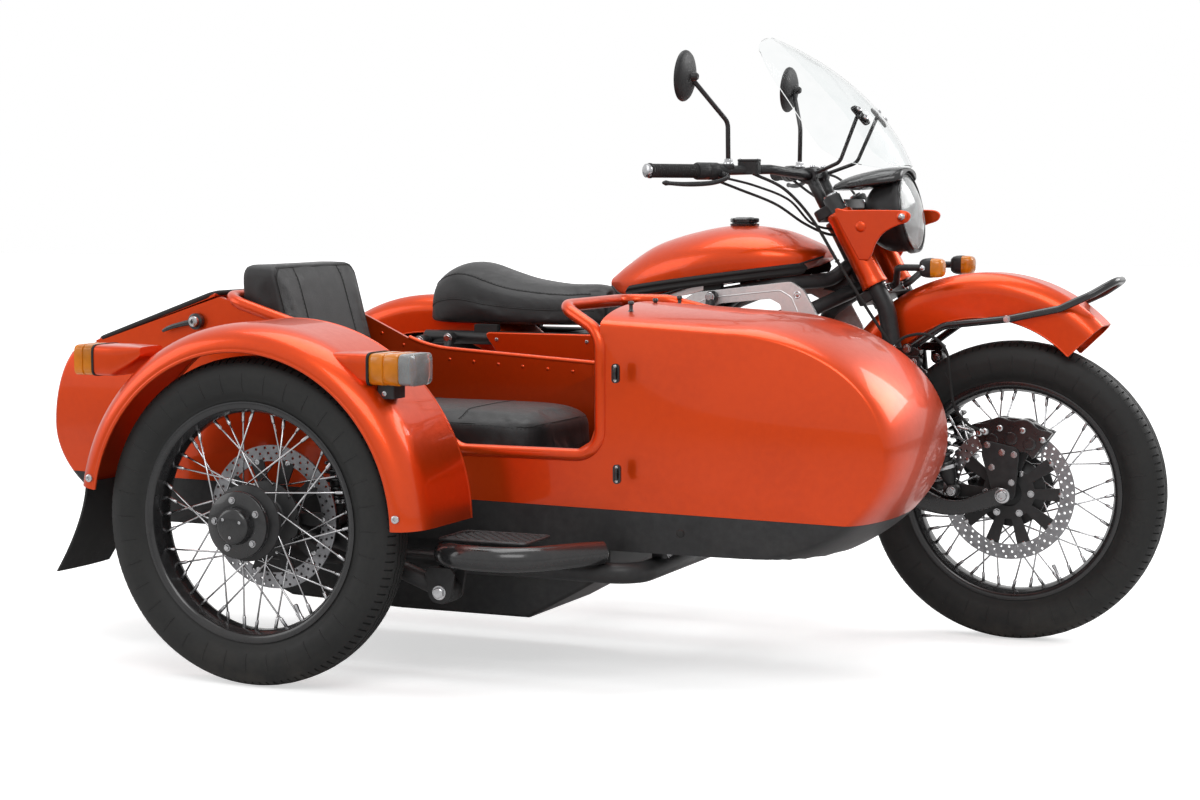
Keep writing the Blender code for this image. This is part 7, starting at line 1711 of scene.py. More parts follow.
saddle = {"rear": 0.012, "front": 0.488, "base": 0.700, "top": 0.856, "half": 0.135,
    "sections": [(0.0, 0.62, 0.50), (0.05, 0.82, 0.82), (0.14, 0.95, 0.98), (0.24, 1.0, 1.0),
    (0.38, 1.0, 0.86), (0.52, 1.0, 0.74), (0.72, 0.90, 0.66), (0.90, 0.68, 0.66), (1.0, 0.50, 0.62)]}
cover = {"edge": [(0.194, 0.688), (0.500, 0.688), (0.490, 0.555), (0.460, 0.545), (0.284, 0.545),
    (0.224, 0.648)], "near": 0.1412, "far": 0.1518}
rearFender = {"centre": (0.0, 0.345), "radius": 0.428, "from": 30.0, "to": 166.0, "half": 0.078,
    "edge": 0.0429, "skirt": 0.050, "thickness": 0.0032, "ribs": 0.0480, "ribHeight": 0.0013,
    "ribWidth": 0.0030}
rearShock = {"x": 0.040, "y": 0.178, "top": 0.664, "bolts": 0.1930, "turns": 8.5}
tailLamp = {"angle": 145.6, "base": 0.4275}
swing = {"y": 0.0717, "radius": 0.018, "path": [(-0.018, 0.345), (0.149, 0.345), (0.372, 0.400)],
    "pivot": 0.0198, "drive": [(0, 0.0642), (0.070, 0.0642), (0.0720, 0.0660), (0.0800, 0.0740),
    (0.0800, 0.0960), (0.0770, 0.1010), (0.0700, 0.1060), (0.0560, 0.1180), (0.0520, 0.1230),
    (0.0500, 0.1310), (0.0470, 0.1338), (0.0300, 0.1342), (0, 0.1342)]}


def saddleRows(inset=0.0):
    table = curve(saddle["sections"], 7)
    share, wide, high = table.T
    share = np.maximum.accumulate(np.clip(share, 0, 1))
    x = saddle["rear"] + share * (saddle["front"] - saddle["rear"])
    half = saddle["half"] * wide - inset
    top = saddle["base"] + high * (saddle["top"] - saddle["base"]) - inset
    low = saddle["base"] + inset
    turn = np.linspace(0, tau, 73)[:-1]
    sine, cosine = np.sin(turn)[None], np.cos(turn)[None]
    shoulder = low + (top[:, None] - low) * 0.45
    y = half[:, None] * np.sign(cosine) * np.where(sine >= 0, np.abs(cosine) ** 0.85,
            np.abs(cosine) ** 0.30)
    z = np.where(sine >= 0, shoulder + (top[:, None] - shoulder) * np.abs(sine) ** 0.80,
            shoulder - (shoulder - low) * np.abs(sine) ** 0.30)
    return np.stack([x[:, None] + 0 * y, y, z], -1)


def makeCovers():
    edge = rounded(cover["edge"], [0.008, 0.012, 0.02, 0.03, 0.04, 0.05], 6)
    for prefix, sign in hands:
        plate = prism(edge, *sorted((sign * cover["near"], sign * cover["far"])))
        piece("sideCover" + prefix, plate, "paint", "chassis", ["side_cover_" + prefix.lower()],
                bevel=0.0038, steps=3)
        places = [(x, sign * (cover["far"] - 0.0004), z) for x, z in ((0.232, 0.670), (0.474, 0.670),
                (0.450, 0.566))]
        piece("sideCoverScrews" + prefix, repeated(roundBolt(0.0052, 0.0030), places, (0, sign, 0)),
                "steel", "chassis")


def makeRearFender():
    makeFender("rearFender", "chassis", "rear_fender", rearFender)
    stays = [block((0.030, min(sign * 0.0765, sign * 0.112), 0.664), (0.070, max(sign * 0.0765,
            sign * 0.112), 0.6835), 0.004) for sign in (-1.0, 1.0)]
    piece("rearFenderStays", join(*stays), "satinBlack", "chassis", bevel=0.0012)
    angle = math.radians(tailLamp["angle"])
    way = np.array([math.cos(angle), 0.0, math.sin(angle)])
    base = np.array([0.0, 0.0, axleZ]) + way * (tailLamp["base"] - 0.004)
    case = revolve([(0, -0.004), (0.0180, -0.004), (0.0300, 0.0100), (0.0352, 0.0190), (0.0358, 0.0240),
            (0.0358, 0.0290), (0.0340, 0.0300), (0, 0.0300)], base, way, 56)
    lens = revolve([(0, 0.0302), (0.0340, 0.0302), (0.0346, 0.0320), (0.0346, 0.0400), (0.0330, 0.0440),
            (0.0240, 0.0482), (0.0120, 0.0500), (0, 0.0506)], base, way, 56)
    piece("tailLampCase", case, "satinBlack", "chassis", ["tail_lamp"], smooth=40)
    piece("tailLampLens", lens, "red", "chassis", smooth=40)


def makeSwingArm():
    arms, plates = [], []
    for sign in (-1.0, 1.0):
        y = sign * swing["y"]
        arms.append(pipe(bent([(x, y, z) for x, z in swing["path"]], 0.070, 10), swing["radius"], 28))
        arms.append(pipe([(0.040, y, axleZ), (0.040, sign * 0.120, axleZ), (0.040, sign * 0.1624, axleZ)],
                0.0078, 16))
        plates.append(prism([(-0.0176, 0.330), (0.060, 0.328), (0.066, axleZ), (0.060, 0.362),
                (-0.0176, 0.360)], y - 0.0140, y + 0.0140))
    arms.append(revolve([(0, -0.0890), (0.0185, -0.0890), (swing["pivot"], -0.0870),
            (swing["pivot"], 0.0870), (0.0185, 0.0890), (0, 0.0890)], (0.372, 0, 0.400), (0, 1, 0), 32))
    piece("rearSwingArm", join(*arms), "satinBlack", "chassis", ["swing_arm"], smooth=50)
    piece("rearSwingArmEnds", join(*plates), "satinBlack", "chassis", bevel=0.0040)
    drive = revolve(swing["drive"], (0, 0, axleZ), (0, -1, 0), 72)
    piece("finalDrive", drive, "iron", "chassis", smooth=38)
    turn = np.arange(8) / 8 * tau
    places = np.stack([0.066 * np.cos(turn), np.full(8, -0.1080), axleZ + 0.066 * np.sin(turn)], -1)
    heads = repeated(hexBolt(0.0046, 0.0046), places, (0, -1, 0))
    axle = [pipe([(0, -0.1395, axleZ), (0, 0, axleZ), (0, 0.1195, axleZ)], 0.0098, 24)]
    nuts = [repeated(hexBolt(0.0130, 0.0090, 1.25), [(0, side, axleZ)], (0, sign, 0)) for side,
            sign in ((-0.1345, -1), (0.0902, 1))]
    piece("finalDriveBolts", join(heads, *axle, *nuts), "steel", "chassis")


makeCovers()
makeRearFender()
makeSwingArm()
for prefix, sign in hands:
    x, y, top = rearShock["x"], sign * rearShock["y"], rearShock["top"]
    makeShock("rearShock" + prefix, "chassis", "rear_shock_" + prefix.lower(), (x, y, axleZ), (x, y, top),
            rearShock["turns"])
    bolts = [repeated(hexBolt(0.0085, 0.0075), [(x, sign * rearShock["bolts"], z)],
            (0, sign, 0)) for z in (axleZ, top)]
    piece("rearShockBolts" + prefix, join(*bolts), "steel", "chassis")
print("motorcycle ready")


# sidecar: body, lid, rail and seat

sidecar = {"outer": -0.880, "inner": -0.430, "low": 0.286, "noseX": 1.100, "noseLength": 0.332,
    "noseHeight": 0.452, "crown": 0.042, "tailX": -0.540, "tailZ": 0.500, "underLength": 0.340,
    "overLength": 0.100, "overHeight": 0.185, "lidX": -0.115, "lidZ": 0.797, "wall": 0.010,
    "bandFront": 0.362, "bandRear": 0.392, "notchFront": 0.826, "notchLow": 0.482, "notchRear": 0.374,
    "innerWall": 0.636, "bulkhead": 0.012, "rail": 0.0135, "railBend": 0.055, "handleX": 0.720,
    "handleZ": 0.790, "lidThickness": 0.012}


def bodyOutline(inset):
    # from the side: half an ellipse for the nose, a straight deck, the lid's slope, two quarter ellipses
    low = sidecar["low"] + inset
    noseZ = sidecar["low"] + sidecar["noseHeight"] / 2
    turn = np.linspace(-np.pi / 2, np.pi / 2, 49)
    nose = np.stack([sidecar["noseX"] + (sidecar["noseLength"] - inset) * np.cos(turn),
            noseZ + (sidecar["noseHeight"] / 2 - inset) * np.sin(turn)], -1)
    corner = np.array([(sidecar["lidX"] + 0.048, sidecar["lidZ"] - inset), (sidecar["lidX"],
            sidecar["lidZ"] - inset)])
    deck = nose[-1] + (corner[0] - nose[-1]) * np.linspace(0, 1, 25)[1:, None]
    turn = np.linspace(np.pi / 2, np.pi, 17)
    length = sidecar["overLength"]
    over = np.stack([sidecar["tailX"] + length + (length - inset) * np.cos(turn),
            sidecar["tailZ"] + (sidecar["overHeight"] - inset) * np.sin(turn)], -1)
    slope = corner[1] + (over[0] - corner[1]) * np.linspace(0, 1, 13)[:-1, None]
    turn = np.linspace(np.pi, np.pi * 1.5, 25)[1:]
    length = sidecar["underLength"]
    under = np.stack([sidecar["tailX"] + length + (length - inset) * np.cos(turn),
            sidecar["tailZ"] + (sidecar["tailZ"] - low) * np.sin(turn)], -1)
    floor = under[-1] + (nose[0] - under[-1]) * np.linspace(0, 1, 21)[1:-1, None]
    return np.vstack([nose, deck, slope, over, under, floor])


def bodySolid(inset):
    # the outline swells between the flat sides, fast at the edges and level in the middle
    outer, inner = sidecar["outer"] + inset, sidecar["inner"] - inset
    across = -np.cos(np.linspace(0, np.pi, 33))
    rows = []
    for share in across:
        swell = max(0.0, 1 - share * share) ** 0.55
        flat = bodyOutline(inset - swell * sidecar["crown"])
        height = np.maximum(flat[:, 1], sidecar["low"] + inset)
        y = (outer + inner) / 2 + share * (inner - outer) / 2
        rows.append(np.stack([flat[:, 0], np.full(len(flat), y), height], -1))
    return grid(np.array(rows), closeColumns=True)


def lidHeight(x):
    rear = sidecar["tailX"] + sidecar["overLength"]
    slope = (sidecar["lidZ"] - sidecar["tailZ"] - sidecar["overHeight"]) / (sidecar["lidX"] - rear)
    return sidecar["lidZ"] + slope * (x - sidecar["lidX"])


def cockpitEdge():
    # the cockpit's edge on the outer side, from the deck at the rear down to the step and up to the dash
    lidX, lidZ, rear, low, front = [sidecar[key] for key in ("lidX", "lidZ", "notchRear", "notchLow",
            "notchFront")]
    return [(lidX + 0.018, lidZ), (rear * 0.7, lidZ - 0.108), (rear, lidZ - 0.180),
            (rear + 0.078, low + 0.033), (rear + 0.126, low), (front - 0.072, low),
            (front - 0.021, low + 0.030), (front, low + 0.090)]


def innerEdge():
    # the inner wall's top edge, one smooth line from the deck behind the seat down and up to the dash
    lidX, lidZ, wall, front = [sidecar[key] for key in ("lidX", "lidZ", "innerWall", "notchFront")]
    path = [(lidX + 0.018, 0, lidZ), (sidecar["notchRear"] * 0.5, 0, wall + 0.03), (front - 0.15, 0, wall),
            (front, 0, wall + 0.09)]
    return [tuple(point) for point in bent(path, [0, 0.34, 0.12, 0], 10)[:, [0, 2]]]


def railPath():
    y = sidecar["outer"] + sidecar["wall"] / 2
    inner = sidecar["inner"] - sidecar["wall"] * 2
    hoop = sidecar["lidX"] + sidecar["bulkhead"] + sidecar["rail"]
    deck = sidecar["low"] + sidecar["noseHeight"]
    front, low = sidecar["notchFront"], sidecar["notchLow"]
    across = inner - y
    path = [(hoop, inner, sidecar["lidZ"]), (hoop, y, sidecar["lidZ"])]
    path += [(x, y, z) for x, z in cockpitEdge()[1:5]]
    path += [(front, y, low), (front, y, deck), (sidecar["handleX"], y + across * 0.10, sidecar["handleZ"]),
            (sidecar["handleX"], inner - across * 0.12, sidecar["handleZ"]), (front, inner - across * 0.12,
            sidecar["handleZ"]), (front + 0.21, inner - across * 0.04, deck)]
    return bent(path, sidecar["railBend"], 10)


def makeBody():
    outer, inner = sidecar["outer"], sidecar["inner"]
    lidX, lidZ, bulk, top = sidecar["lidX"], sidecar["lidZ"], sidecar["bulkhead"], sidecar["lidZ"] + 0.15
    middle = (outer + inner) / 2
    front = sidecar["notchFront"]
    wallBlock = block((lidX - bulk / 2, outer - 0.03, 0.0), (lidX + bulk / 2, inner + 0.03, top))
    edge = cockpitEdge() + [(front, top), (lidX + 0.018, top)]
    edge = bent(edge, [0, 0.05, 0.05, 0.05, 0.03, 0.03, 0.02, 0.05, 0, 0], 6, closed=True)
    outerCut = prism(edge, outer - 0.03, middle)
    innerCut = prism(innerEdge() + [(front, top), (lidX + 0.018, top)], middle, inner + 0.03)
    rear = sidecar["tailX"] + sidecar["overLength"]
    far = sidecar["tailX"] - 0.03
    lidTop = prism([(lidX + 0.018, lidHeight(lidX)), (rear, lidHeight(rear)), (far, lidHeight(far)),
            (far, top), (lidX + 0.018, top)], outer - 0.03, inner + 0.03)
    bootCut = prism([(lidX - bulk, lidZ - 0.03), (lidX - bulk, top), (rear, top),
            (rear, lidHeight(rear) - 0.03)], outer + 0.029, inner - 0.029)
    shell = carved(carved(bodySolid(0.0), [("DIFFERENCE", carved(bodySolid(sidecar["wall"]),
            [("DIFFERENCE", wallBlock)]))]), [("DIFFERENCE", outerCut), ("DIFFERENCE", innerCut),
            ("DIFFERENCE", lidTop), ("DIFFERENCE", bootCut)])
    nose = sidecar["noseX"] + sidecar["noseLength"] + 0.09
    tail = sidecar["tailX"] - 0.09
    under = prism([(tail, 0.0), (nose, 0.0), (nose, sidecar["bandFront"]), (tail, sidecar["bandRear"])],
            outer - 0.03, inner + 0.03)
    upper = carved(shell, [("DIFFERENCE", moved(under, (0, 0, 0.0005)))])
    lower = carved(shell, [("INTERSECT", under)])
    piece("sidecarBodyShell", upper, "paint", "chassis", ["sidecar_body"], smooth=38)
    piece("sidecarPanShell", lower, "satinBlack", "chassis", ["sidecar_pan"], smooth=38)
    floorZ = 0.4197 - 0.006
    shelf = block((lidX, outer + 0.006, floorZ - 0.006), (0.660, inner - 0.006, floorZ + 0.006))
    piece("sidecarSeatShelf", shelf, "lining", "chassis", bevel=0.002)


def makeLid():
    # a plate with a pressed field and a black rubber lip, on the body's sloping edges
    front, rear = sidecar["lidX"] - 0.001, sidecar["tailX"] + sidecar["overLength"] + 0.004
    low, high = 0.001, 0.001 + sidecar["lidThickness"]
    outer, inner = sidecar["outer"] + 0.012, sidecar["inner"] - 0.012
    columns, rows = 44, 40
    x = np.linspace(front, rear, columns)[:, None] + np.zeros((1, rows))
    y = np.linspace(outer, inner, rows)[None] + np.zeros((columns, 1))
    edge = np.minimum(np.minimum(front - x, x - rear), np.minimum(y - outer, inner - y))
    round = np.clip(edge / 0.014, 0, 1)
    lift = high - 0.007 * (1 - np.sqrt(1 - (1 - round) ** 2))
    lift = lift + 0.004 * np.clip((edge - 0.045) / 0.012, 0, 1)
    top = np.stack([x, y, lidHeight(x) + lift], -1)
    under = np.stack([x, y, lidHeight(x) + low], -1)
    piece("bootLidSkin", sheet(top, under), "paint", "boot_lid", ["boot_lid"], smooth=45)
    path = [(front - 0.004, outer + 0.004, lidHeight(front) + 0.007), (rear + 0.006, outer + 0.004,
            lidHeight(rear) + 0.007), (rear + 0.006, inner - 0.004, lidHeight(rear) + 0.007),
            (front - 0.004, inner - 0.004, lidHeight(front) + 0.007)]
    piece("bootLidLip", pipe(bent(path, 0.02, 6, closed=True), 0.0066, 12, closed=True), "grip", "boot_lid")


def makeRail():
    piece("cockpitRailTube", pipe(railPath(), sidecar["rail"], 20), "paint", "chassis",
            ["cockpit_rail"])


def softBlock(low, high, crown, power, rows=40, columns=96):
    # a pillow: rounded-square sections whose size swells from the two ends to the middle
    low, high = np.asarray(low, float), np.asarray(high, float)
    centre, half = (low + high) / 2, (high - low) / 2
    share = -np.cos(np.linspace(0.04, np.pi - 0.04, rows))[:, None]
    size = (1 - np.abs(share) ** power) ** (1 / power)
    turn = (np.arange(columns) / columns * tau)[None]
    x = np.sign(np.cos(turn)) * np.abs(np.cos(turn)) ** (2 / power) * size
    z = np.sign(np.sin(turn)) * np.abs(np.sin(turn)) ** (2 / power) * size
    y = share + 0 * turn
    bulge = crown * np.clip(1 - np.abs(x) ** 2, 0, 1) * np.clip(1 - y ** 2, 0, 1)
    points = np.stack([centre[0] + x * half[0], centre[1] + y * half[1],
            centre[2] + z * half[2] + bulge * np.sign(z)], -1)
    return grid(points, closeColumns=True)


makeBody()
makeLid()
makeRail()
print("sidecar body ready")


# sidecar fender, flap, marker lamps, step and belly

guard = {"centre": (0.163, 0.345), "radius": 0.415, "outer": -1.228, "inner": -0.975, "lip": 0.055,
    "start": 1.0, "end": 171.0, "thickness": 0.0035, "round": 0.34}


def guardPoint(turn, share):
    # across the fender the sheet rolls over from the outer lip and lies level to the inner edge
    width = guard["inner"] - guard["outer"]
    fall = np.clip(1 - share / guard["round"], 0, 1)
    fall = guard["lip"] * (1 - (1 - fall ** 2.3) ** (1 / 2.3))
    radius = guard["radius"] - fall
    return np.stack([guard["centre"][0] + radius * np.cos(turn), guard["outer"] + share * width + 0 * turn,
            guard["centre"][1] + radius * np.sin(turn)], -1)


def makeGuard():
    turn = np.radians(np.linspace(guard["start"], guard["end"], 121))[:, None]
    share = (np.linspace(0, 1, 31)[None] ** 1.6) + 0 * turn
    top = guardPoint(turn, share)
    inward = unit(np.stack([np.cos(turn + 0 * share), -0.6 * np.clip(1 - share / 0.2, 0, 1) - 0 * turn,
            np.sin(turn + 0 * share)], -1))
    under = top - inward * guard["thickness"]
    piece("sidecarFenderSheet", sheet(top, under), "paint", "chassis", ["sidecar_fender"],
            smooth=50)
    edge = guardPoint(turn[:, 0], np.zeros(len(turn))) + np.array([0, 0.0042, 0])
    inner = guardPoint(turn[:, 0], np.ones(len(turn))) - np.array([0, 0.004, 0])
    inner = inner - np.stack([np.cos(turn[:, 0]), 0 * turn[:, 0], np.sin(turn[:, 0])], -1) * 0.003
    piece("sidecarFenderEdges", join(pipe(edge, 0.0046, 12), pipe(inner, 0.0040, 12)), "paint", "chassis")


def makeFlap():
    # a rubber sheet that hangs from the fender's end and kicks back
    angle = math.radians(guard["end"])
    x0 = guard["centre"][0] + guard["radius"] * math.cos(angle)
    z0 = guard["centre"][1] + guard["radius"] * math.sin(angle)
    down = np.linspace(0, 1, 40)[:, None]
    across = np.linspace(-1.178, -0.980, 24)[None]
    kick = 0.085 * down ** 1.6
    taper = 1 - 0.06 * down
    y = -1.079 + (across + 1.079) * taper
    bow = 0.006 * np.cos((across + 1.079) / 0.1 * 1.5)
    front = np.stack([x0 + 0.005 - kick + bow + 0 * across, y, z0 - 0.2 * down + 0 * across], -1)
    back = front - np.array([0.0055, 0, 0])
    piece("mudflapSheet", sheet(front, back), "grip", "chassis", ["mudflap"], smooth=50)


def marker(name, node, rear, front, lensEnd, clearEnd, sign):
    # a pod that grows from the fender's shoulder to the lamp, then a seal, the lens and its clear end
    y, half, high = -1.140, 0.050, 0.033
    share = np.linspace(0, 1, 26)[:, None]
    x = rear + (front - rear) * share
    size = 0.30 + 0.70 * np.clip(share * 1.6, 0, 1) ** 0.8
    turn = (np.arange(64) / 64 * tau)[None]
    wide = np.sign(np.cos(turn)) * np.abs(np.cos(turn)) ** 0.34
    tall = np.sign(np.sin(turn)) * np.abs(np.sin(turn)) ** 0.34
    z = 0.668 + 0.004 + high * (tall * size + (1 - size) * 0.9)
    pod = np.stack([x + 0 * turn, y + wide * half * (0.75 + 0.25 * size), z], -1)
    piece(name + "Pod", grid(pod, closeColumns=True), "paint", "chassis", [node], smooth=50)

    def cell(start, end, grow):
        share = np.array([0, 0.06, 0.94, 1.0])[:, None]
        edge = np.array([0.96, 1.0, 1.0, 0.95])[:, None] * grow
        place = start + (end - start) * share
        return grid(np.stack([place + 0 * turn, y + wide * half * edge, 0.672 + tall * high * edge], -1),
                closeColumns=True)

    seal = front + sign * 0.005
    piece(name + "Seal", cell(front, seal, 1.04), "grip", "chassis", smooth=50)
    middle = (seal + lensEnd) / 2
    lens = join(cell(seal, middle - sign * 0.0008, 1.0), cell(middle + sign * 0.0008, lensEnd, 1.0),
            cell(middle - sign * 0.0008, middle + sign * 0.0008, 0.95))
    piece(name + "Lens", lens, "amber", "chassis", smooth=50)
    if clearEnd is not None:
        piece(name + "Clear", cell(lensEnd, clearEnd, 0.99), "lens", "chassis", smooth=50)


def makeMarkers():
    marker("markerFront", "marker_front", 0.330, 0.448, 0.520, 0.548, 1.0)
    marker("markerRear", "marker_rear", -0.100, -0.212, -0.263, None, -1.0)


def makeStep():
    path = bent([(0.552, -0.930, 0.290), (0.552, -1.110, 0.290), (0.746, -1.110, 0.290),
            (0.856, -0.930, 0.290)], 0.110, 12)
    piece("stepBarTube", pipe(path, 0.026, 28), "blackPaint", "chassis", ["step_bar"])
    low, bars = 0.3165, []
    for slant in (-1.0, 1.0):
        for number in range(-3, 12):
            x = 0.560 + number * 0.022
            start, end = np.array([x, -0.955, low + 0.003]), np.array([x + slant * 0.11, -1.075,
                    low + 0.003])
            if slant < 0:
                start[0], end[0] = start[0] + 0.11, end[0] + 0.11
            share = [max(0.0, (0.556 - start[0]) / (end[0] - start[0])), 1.0] if slant > 0 else \
                [0.0, min(1.0, (0.556 - start[0]) / (end[0] - start[0]))]
            limit = (0.745 - start[0]) / (end[0] - start[0])
            share = [share[0], min(share[1], limit)] if slant > 0 else [max(share[0], limit), share[1]]
            if share[1] - share[0] > 0.05:
                bars.append(pipe([start + (end - start) * share[0], start + (end - start) * share[1]],
                        0.0026, 6))
    border = bent([(0.552, -0.953, low + 0.003), (0.748, -0.953, low + 0.003), (0.748, -1.080, low + 0.003),
            (0.552, -1.080, low + 0.003)], 0.012, 4, closed=True)
    piece("stepGrilleBars", join(*bars, pipe(border, 0.0032, 8, closed=True)), "iron", "chassis",
            ["step_grille"])


def makeBelly():
    length, height = 0.866, 0.1717
    shares = [(0.0, 0.28), (0.10, 0.06), (0.42, 0.0), (0.78, 0.0), (0.92, 0.39), (1.0, 0.63), (1.0, 1.0),
            (0.0, 1.0)]
    outline = [(-0.054 + across * length, 0.114 + up * height) for across, up in shares]
    piece("bellyBoxShell", prism(outline, -0.800, -0.460), "satinBlack", "chassis", ["belly_box"],
            bevel=0.009, steps=3)


makeGuard()
makeFlap()
makeMarkers()
makeStep()
makeBelly()
print("sidecar fender, lamps and step ready")


# trim of the sidecar: latch, clips, pegs, edge roll, rivets, plugs, fender bolts and the marker's bracket

trim = {"outside": -0.8805, "clips": [(0.880, 0.659), (0.883, 0.452)], "pegs": [(0.862, -0.800),
    (0.858, -0.655), (0.856, -0.510)], "latch": (-0.153, 0.742), "rivets": 15,
    "plugs": [(0.262, 0.398), (1.020, 0.336)]}


def makeTrim():
    y = trim["outside"]
    black, bright = [], []
    for x, z in trim["clips"]:
        plate = rounded([(x - 0.0085, z - 0.020), (x + 0.0085, z - 0.020), (x + 0.0085, z + 0.020),
                (x - 0.0085, z + 0.020)], 0.0075, 5)
        black.append(prism(plate, y - 0.0452, y - 0.0395))
        black.append(pipe([(x, y - 0.0475, z + 0.012), (x, y - 0.0500, z), (x, y - 0.0475, z - 0.012)],
                0.0036, 12))
        bright.append(repeated(roundBolt(0.0036, 0.0024), [(x, y - 0.0450, z + 0.0145),
                (x, y - 0.0450, z - 0.0145)], (0, -1, 0)))
    for x, across in trim["pegs"]:
        foot = np.array([x, across, 0.7780])
        black.append(revolve([(0, -0.004), (0.0100, -0.004), (0.0100, 0.0016), (0.0052, 0.0034),
                (0.0040, 0.0060), (0.0040, 0.0150), (0.0062, 0.0172), (0.0062, 0.0214), (0.0046, 0.0236),
                (0, 0.0240)], foot, (0, 0, 1), 24))
    x, z = trim["latch"]
    bright.append(revolve([(0, -0.002), (0.0125, -0.002), (0.0130, 0.0040), (0.0112, 0.0086),
            (0.0060, 0.0092), (0.0052, 0.0070), (0, 0.0070)], (x, y - 0.0120, z), (0, -1, 0), 36))
    black.append(revolve([(0, 0.0), (0.0180, 0.0), (0.0190, 0.0040), (0.0180, 0.0110), (0.0130, 0.0125),
            (0, 0.0125)], (x, y - 0.0010, z), (0, -1, 0), 40))
    lever = curve([(x, y - 0.0120, z), (x - 0.030, y - 0.0150, z - 0.006), (x - 0.062, y - 0.0160,
            z - 0.014), (x - 0.084, y - 0.0140, z - 0.023)], 8)
    size = np.interp(np.linspace(0, 1, len(lever)), [0, 0.3, 0.8, 1], [0.0078, 0.0062, 0.0050, 0.0036])
    black.append(pipe(lever, size, 16))
    piece("sidecarTrimBlack", join(*black), "blackPaint", "chassis", smooth=40)
    piece("sidecarTrimScrews", join(*bright), "steel", "chassis")
    edge = np.array(innerEdge())
    inner = sidecar["inner"] - sidecar["wall"] / 2
    roll = np.stack([edge[2:, 0], np.full(len(edge) - 2, inner), edge[2:, 1] + 0.001], -1)
    piece("cockpitEdgeRoll", pipe(roll, 0.0062, 14), "paint", "chassis")
    along = np.linspace(0.06, 0.97, trim["rivets"])
    reach = np.concatenate([[0], np.cumsum(np.linalg.norm(np.diff(edge, axis=0), axis=1))])
    spots = np.stack([np.interp(along * reach[-1], reach, edge[:, 0]), np.full(len(along), inner - 0.0052),
            np.interp(along * reach[-1], reach, edge[:, 1]) - 0.022], -1)
    rivet = revolve([(0, -0.001), (0.0042, -0.001), (0.0040, 0.0008), (0.0026, 0.0018), (0, 0.0021)],
            steps=14)
    piece("cockpitRivets", repeated(rivet, spots, (0, -1, 0)), "paint", "chassis")
    plugs = [revolve([(0, -0.003), (0.0085, -0.003), (0.0088, 0.0010), (0.0070, 0.0036), (0.0040, 0.0044),
            (0, 0.0044)], (x, y - 0.036, z), (0, -1, 0), 24) for x, z in trim["plugs"]]
    piece("sidecarBodyPlugs", join(*plugs), "grip", "chassis")
    bolts = []
    for degrees in (5.0, 167.5):
        turn = math.radians(degrees)
        place = guardPoint(np.array([turn]), np.array([0.0]))[0]
        place = place + np.array([math.cos(turn), 0, math.sin(turn)]) * 0.012
        bolts.append(repeated(roundBolt(0.0088, 0.0056), [place + np.array([0, 0.0005, 0])], (0, -1, 0)))
    bolts.append(repeated(roundBolt(0.0058, 0.0044), [(0.481, -1.1715, 0.623)], (0, -1, 0)))
    piece("sidecarFenderBolts", join(*bolts), "steel", "chassis")
    piece("markerBracket", block((0.462, -1.172, 0.612), (0.500, -1.118, 0.641), 0.005), "satinBlack",
            "chassis", bevel=0.0016)


makeTrim()
print("sidecar trim ready")


# sidecar frame, struts, swing arm and shock

base = {"height": 0.248, "radius": 0.0218, "bend": 0.060, "outer": -0.930, "inner": -0.330, "rear": -0.080,
    "front": 0.930, "sill": 0.0240, "links": (0.494, 0.850), "linkRadius": 0.0166,
    "linkEnd": (-0.1426, 0.225), "outrigger": (0.546, -1.065), "pivot": (0.546, 0.206), "armY": -1.035,
    "clevis": (0.0226, 0.0302), "plate": [(0.512, 0.246), (0.5225, 0.1830), (0.5695, 0.1830),
    (0.580, 0.246), (0.572, 0.258), (0.520, 0.258)], "post": [(0.290, -0.930, 0.250),
    (0.290, -0.930, 0.575), (0.290, -0.988, 0.614), (0.290, -0.988, 0.722)], "postRadius": 0.0138,
    "mounts": (-0.790, -0.520)}
strutParts = {"radius": 0.0138, "rear": (0.110, 0.672), "front": (0.800, 0.785), "headY": -0.1683,
    "footY": -0.330, "footZ": 0.2845}
arm = {"start": (0.163, 0.345), "end": (0.546, 0.206), "boss": (-1.0812, -1.0132), "bossRadius": 0.024,
    "pivotRadius": 0.0258, "pivotHalf": 0.0218, "shock": (0.290, 0.340, 0.575), "turns": 6.5}


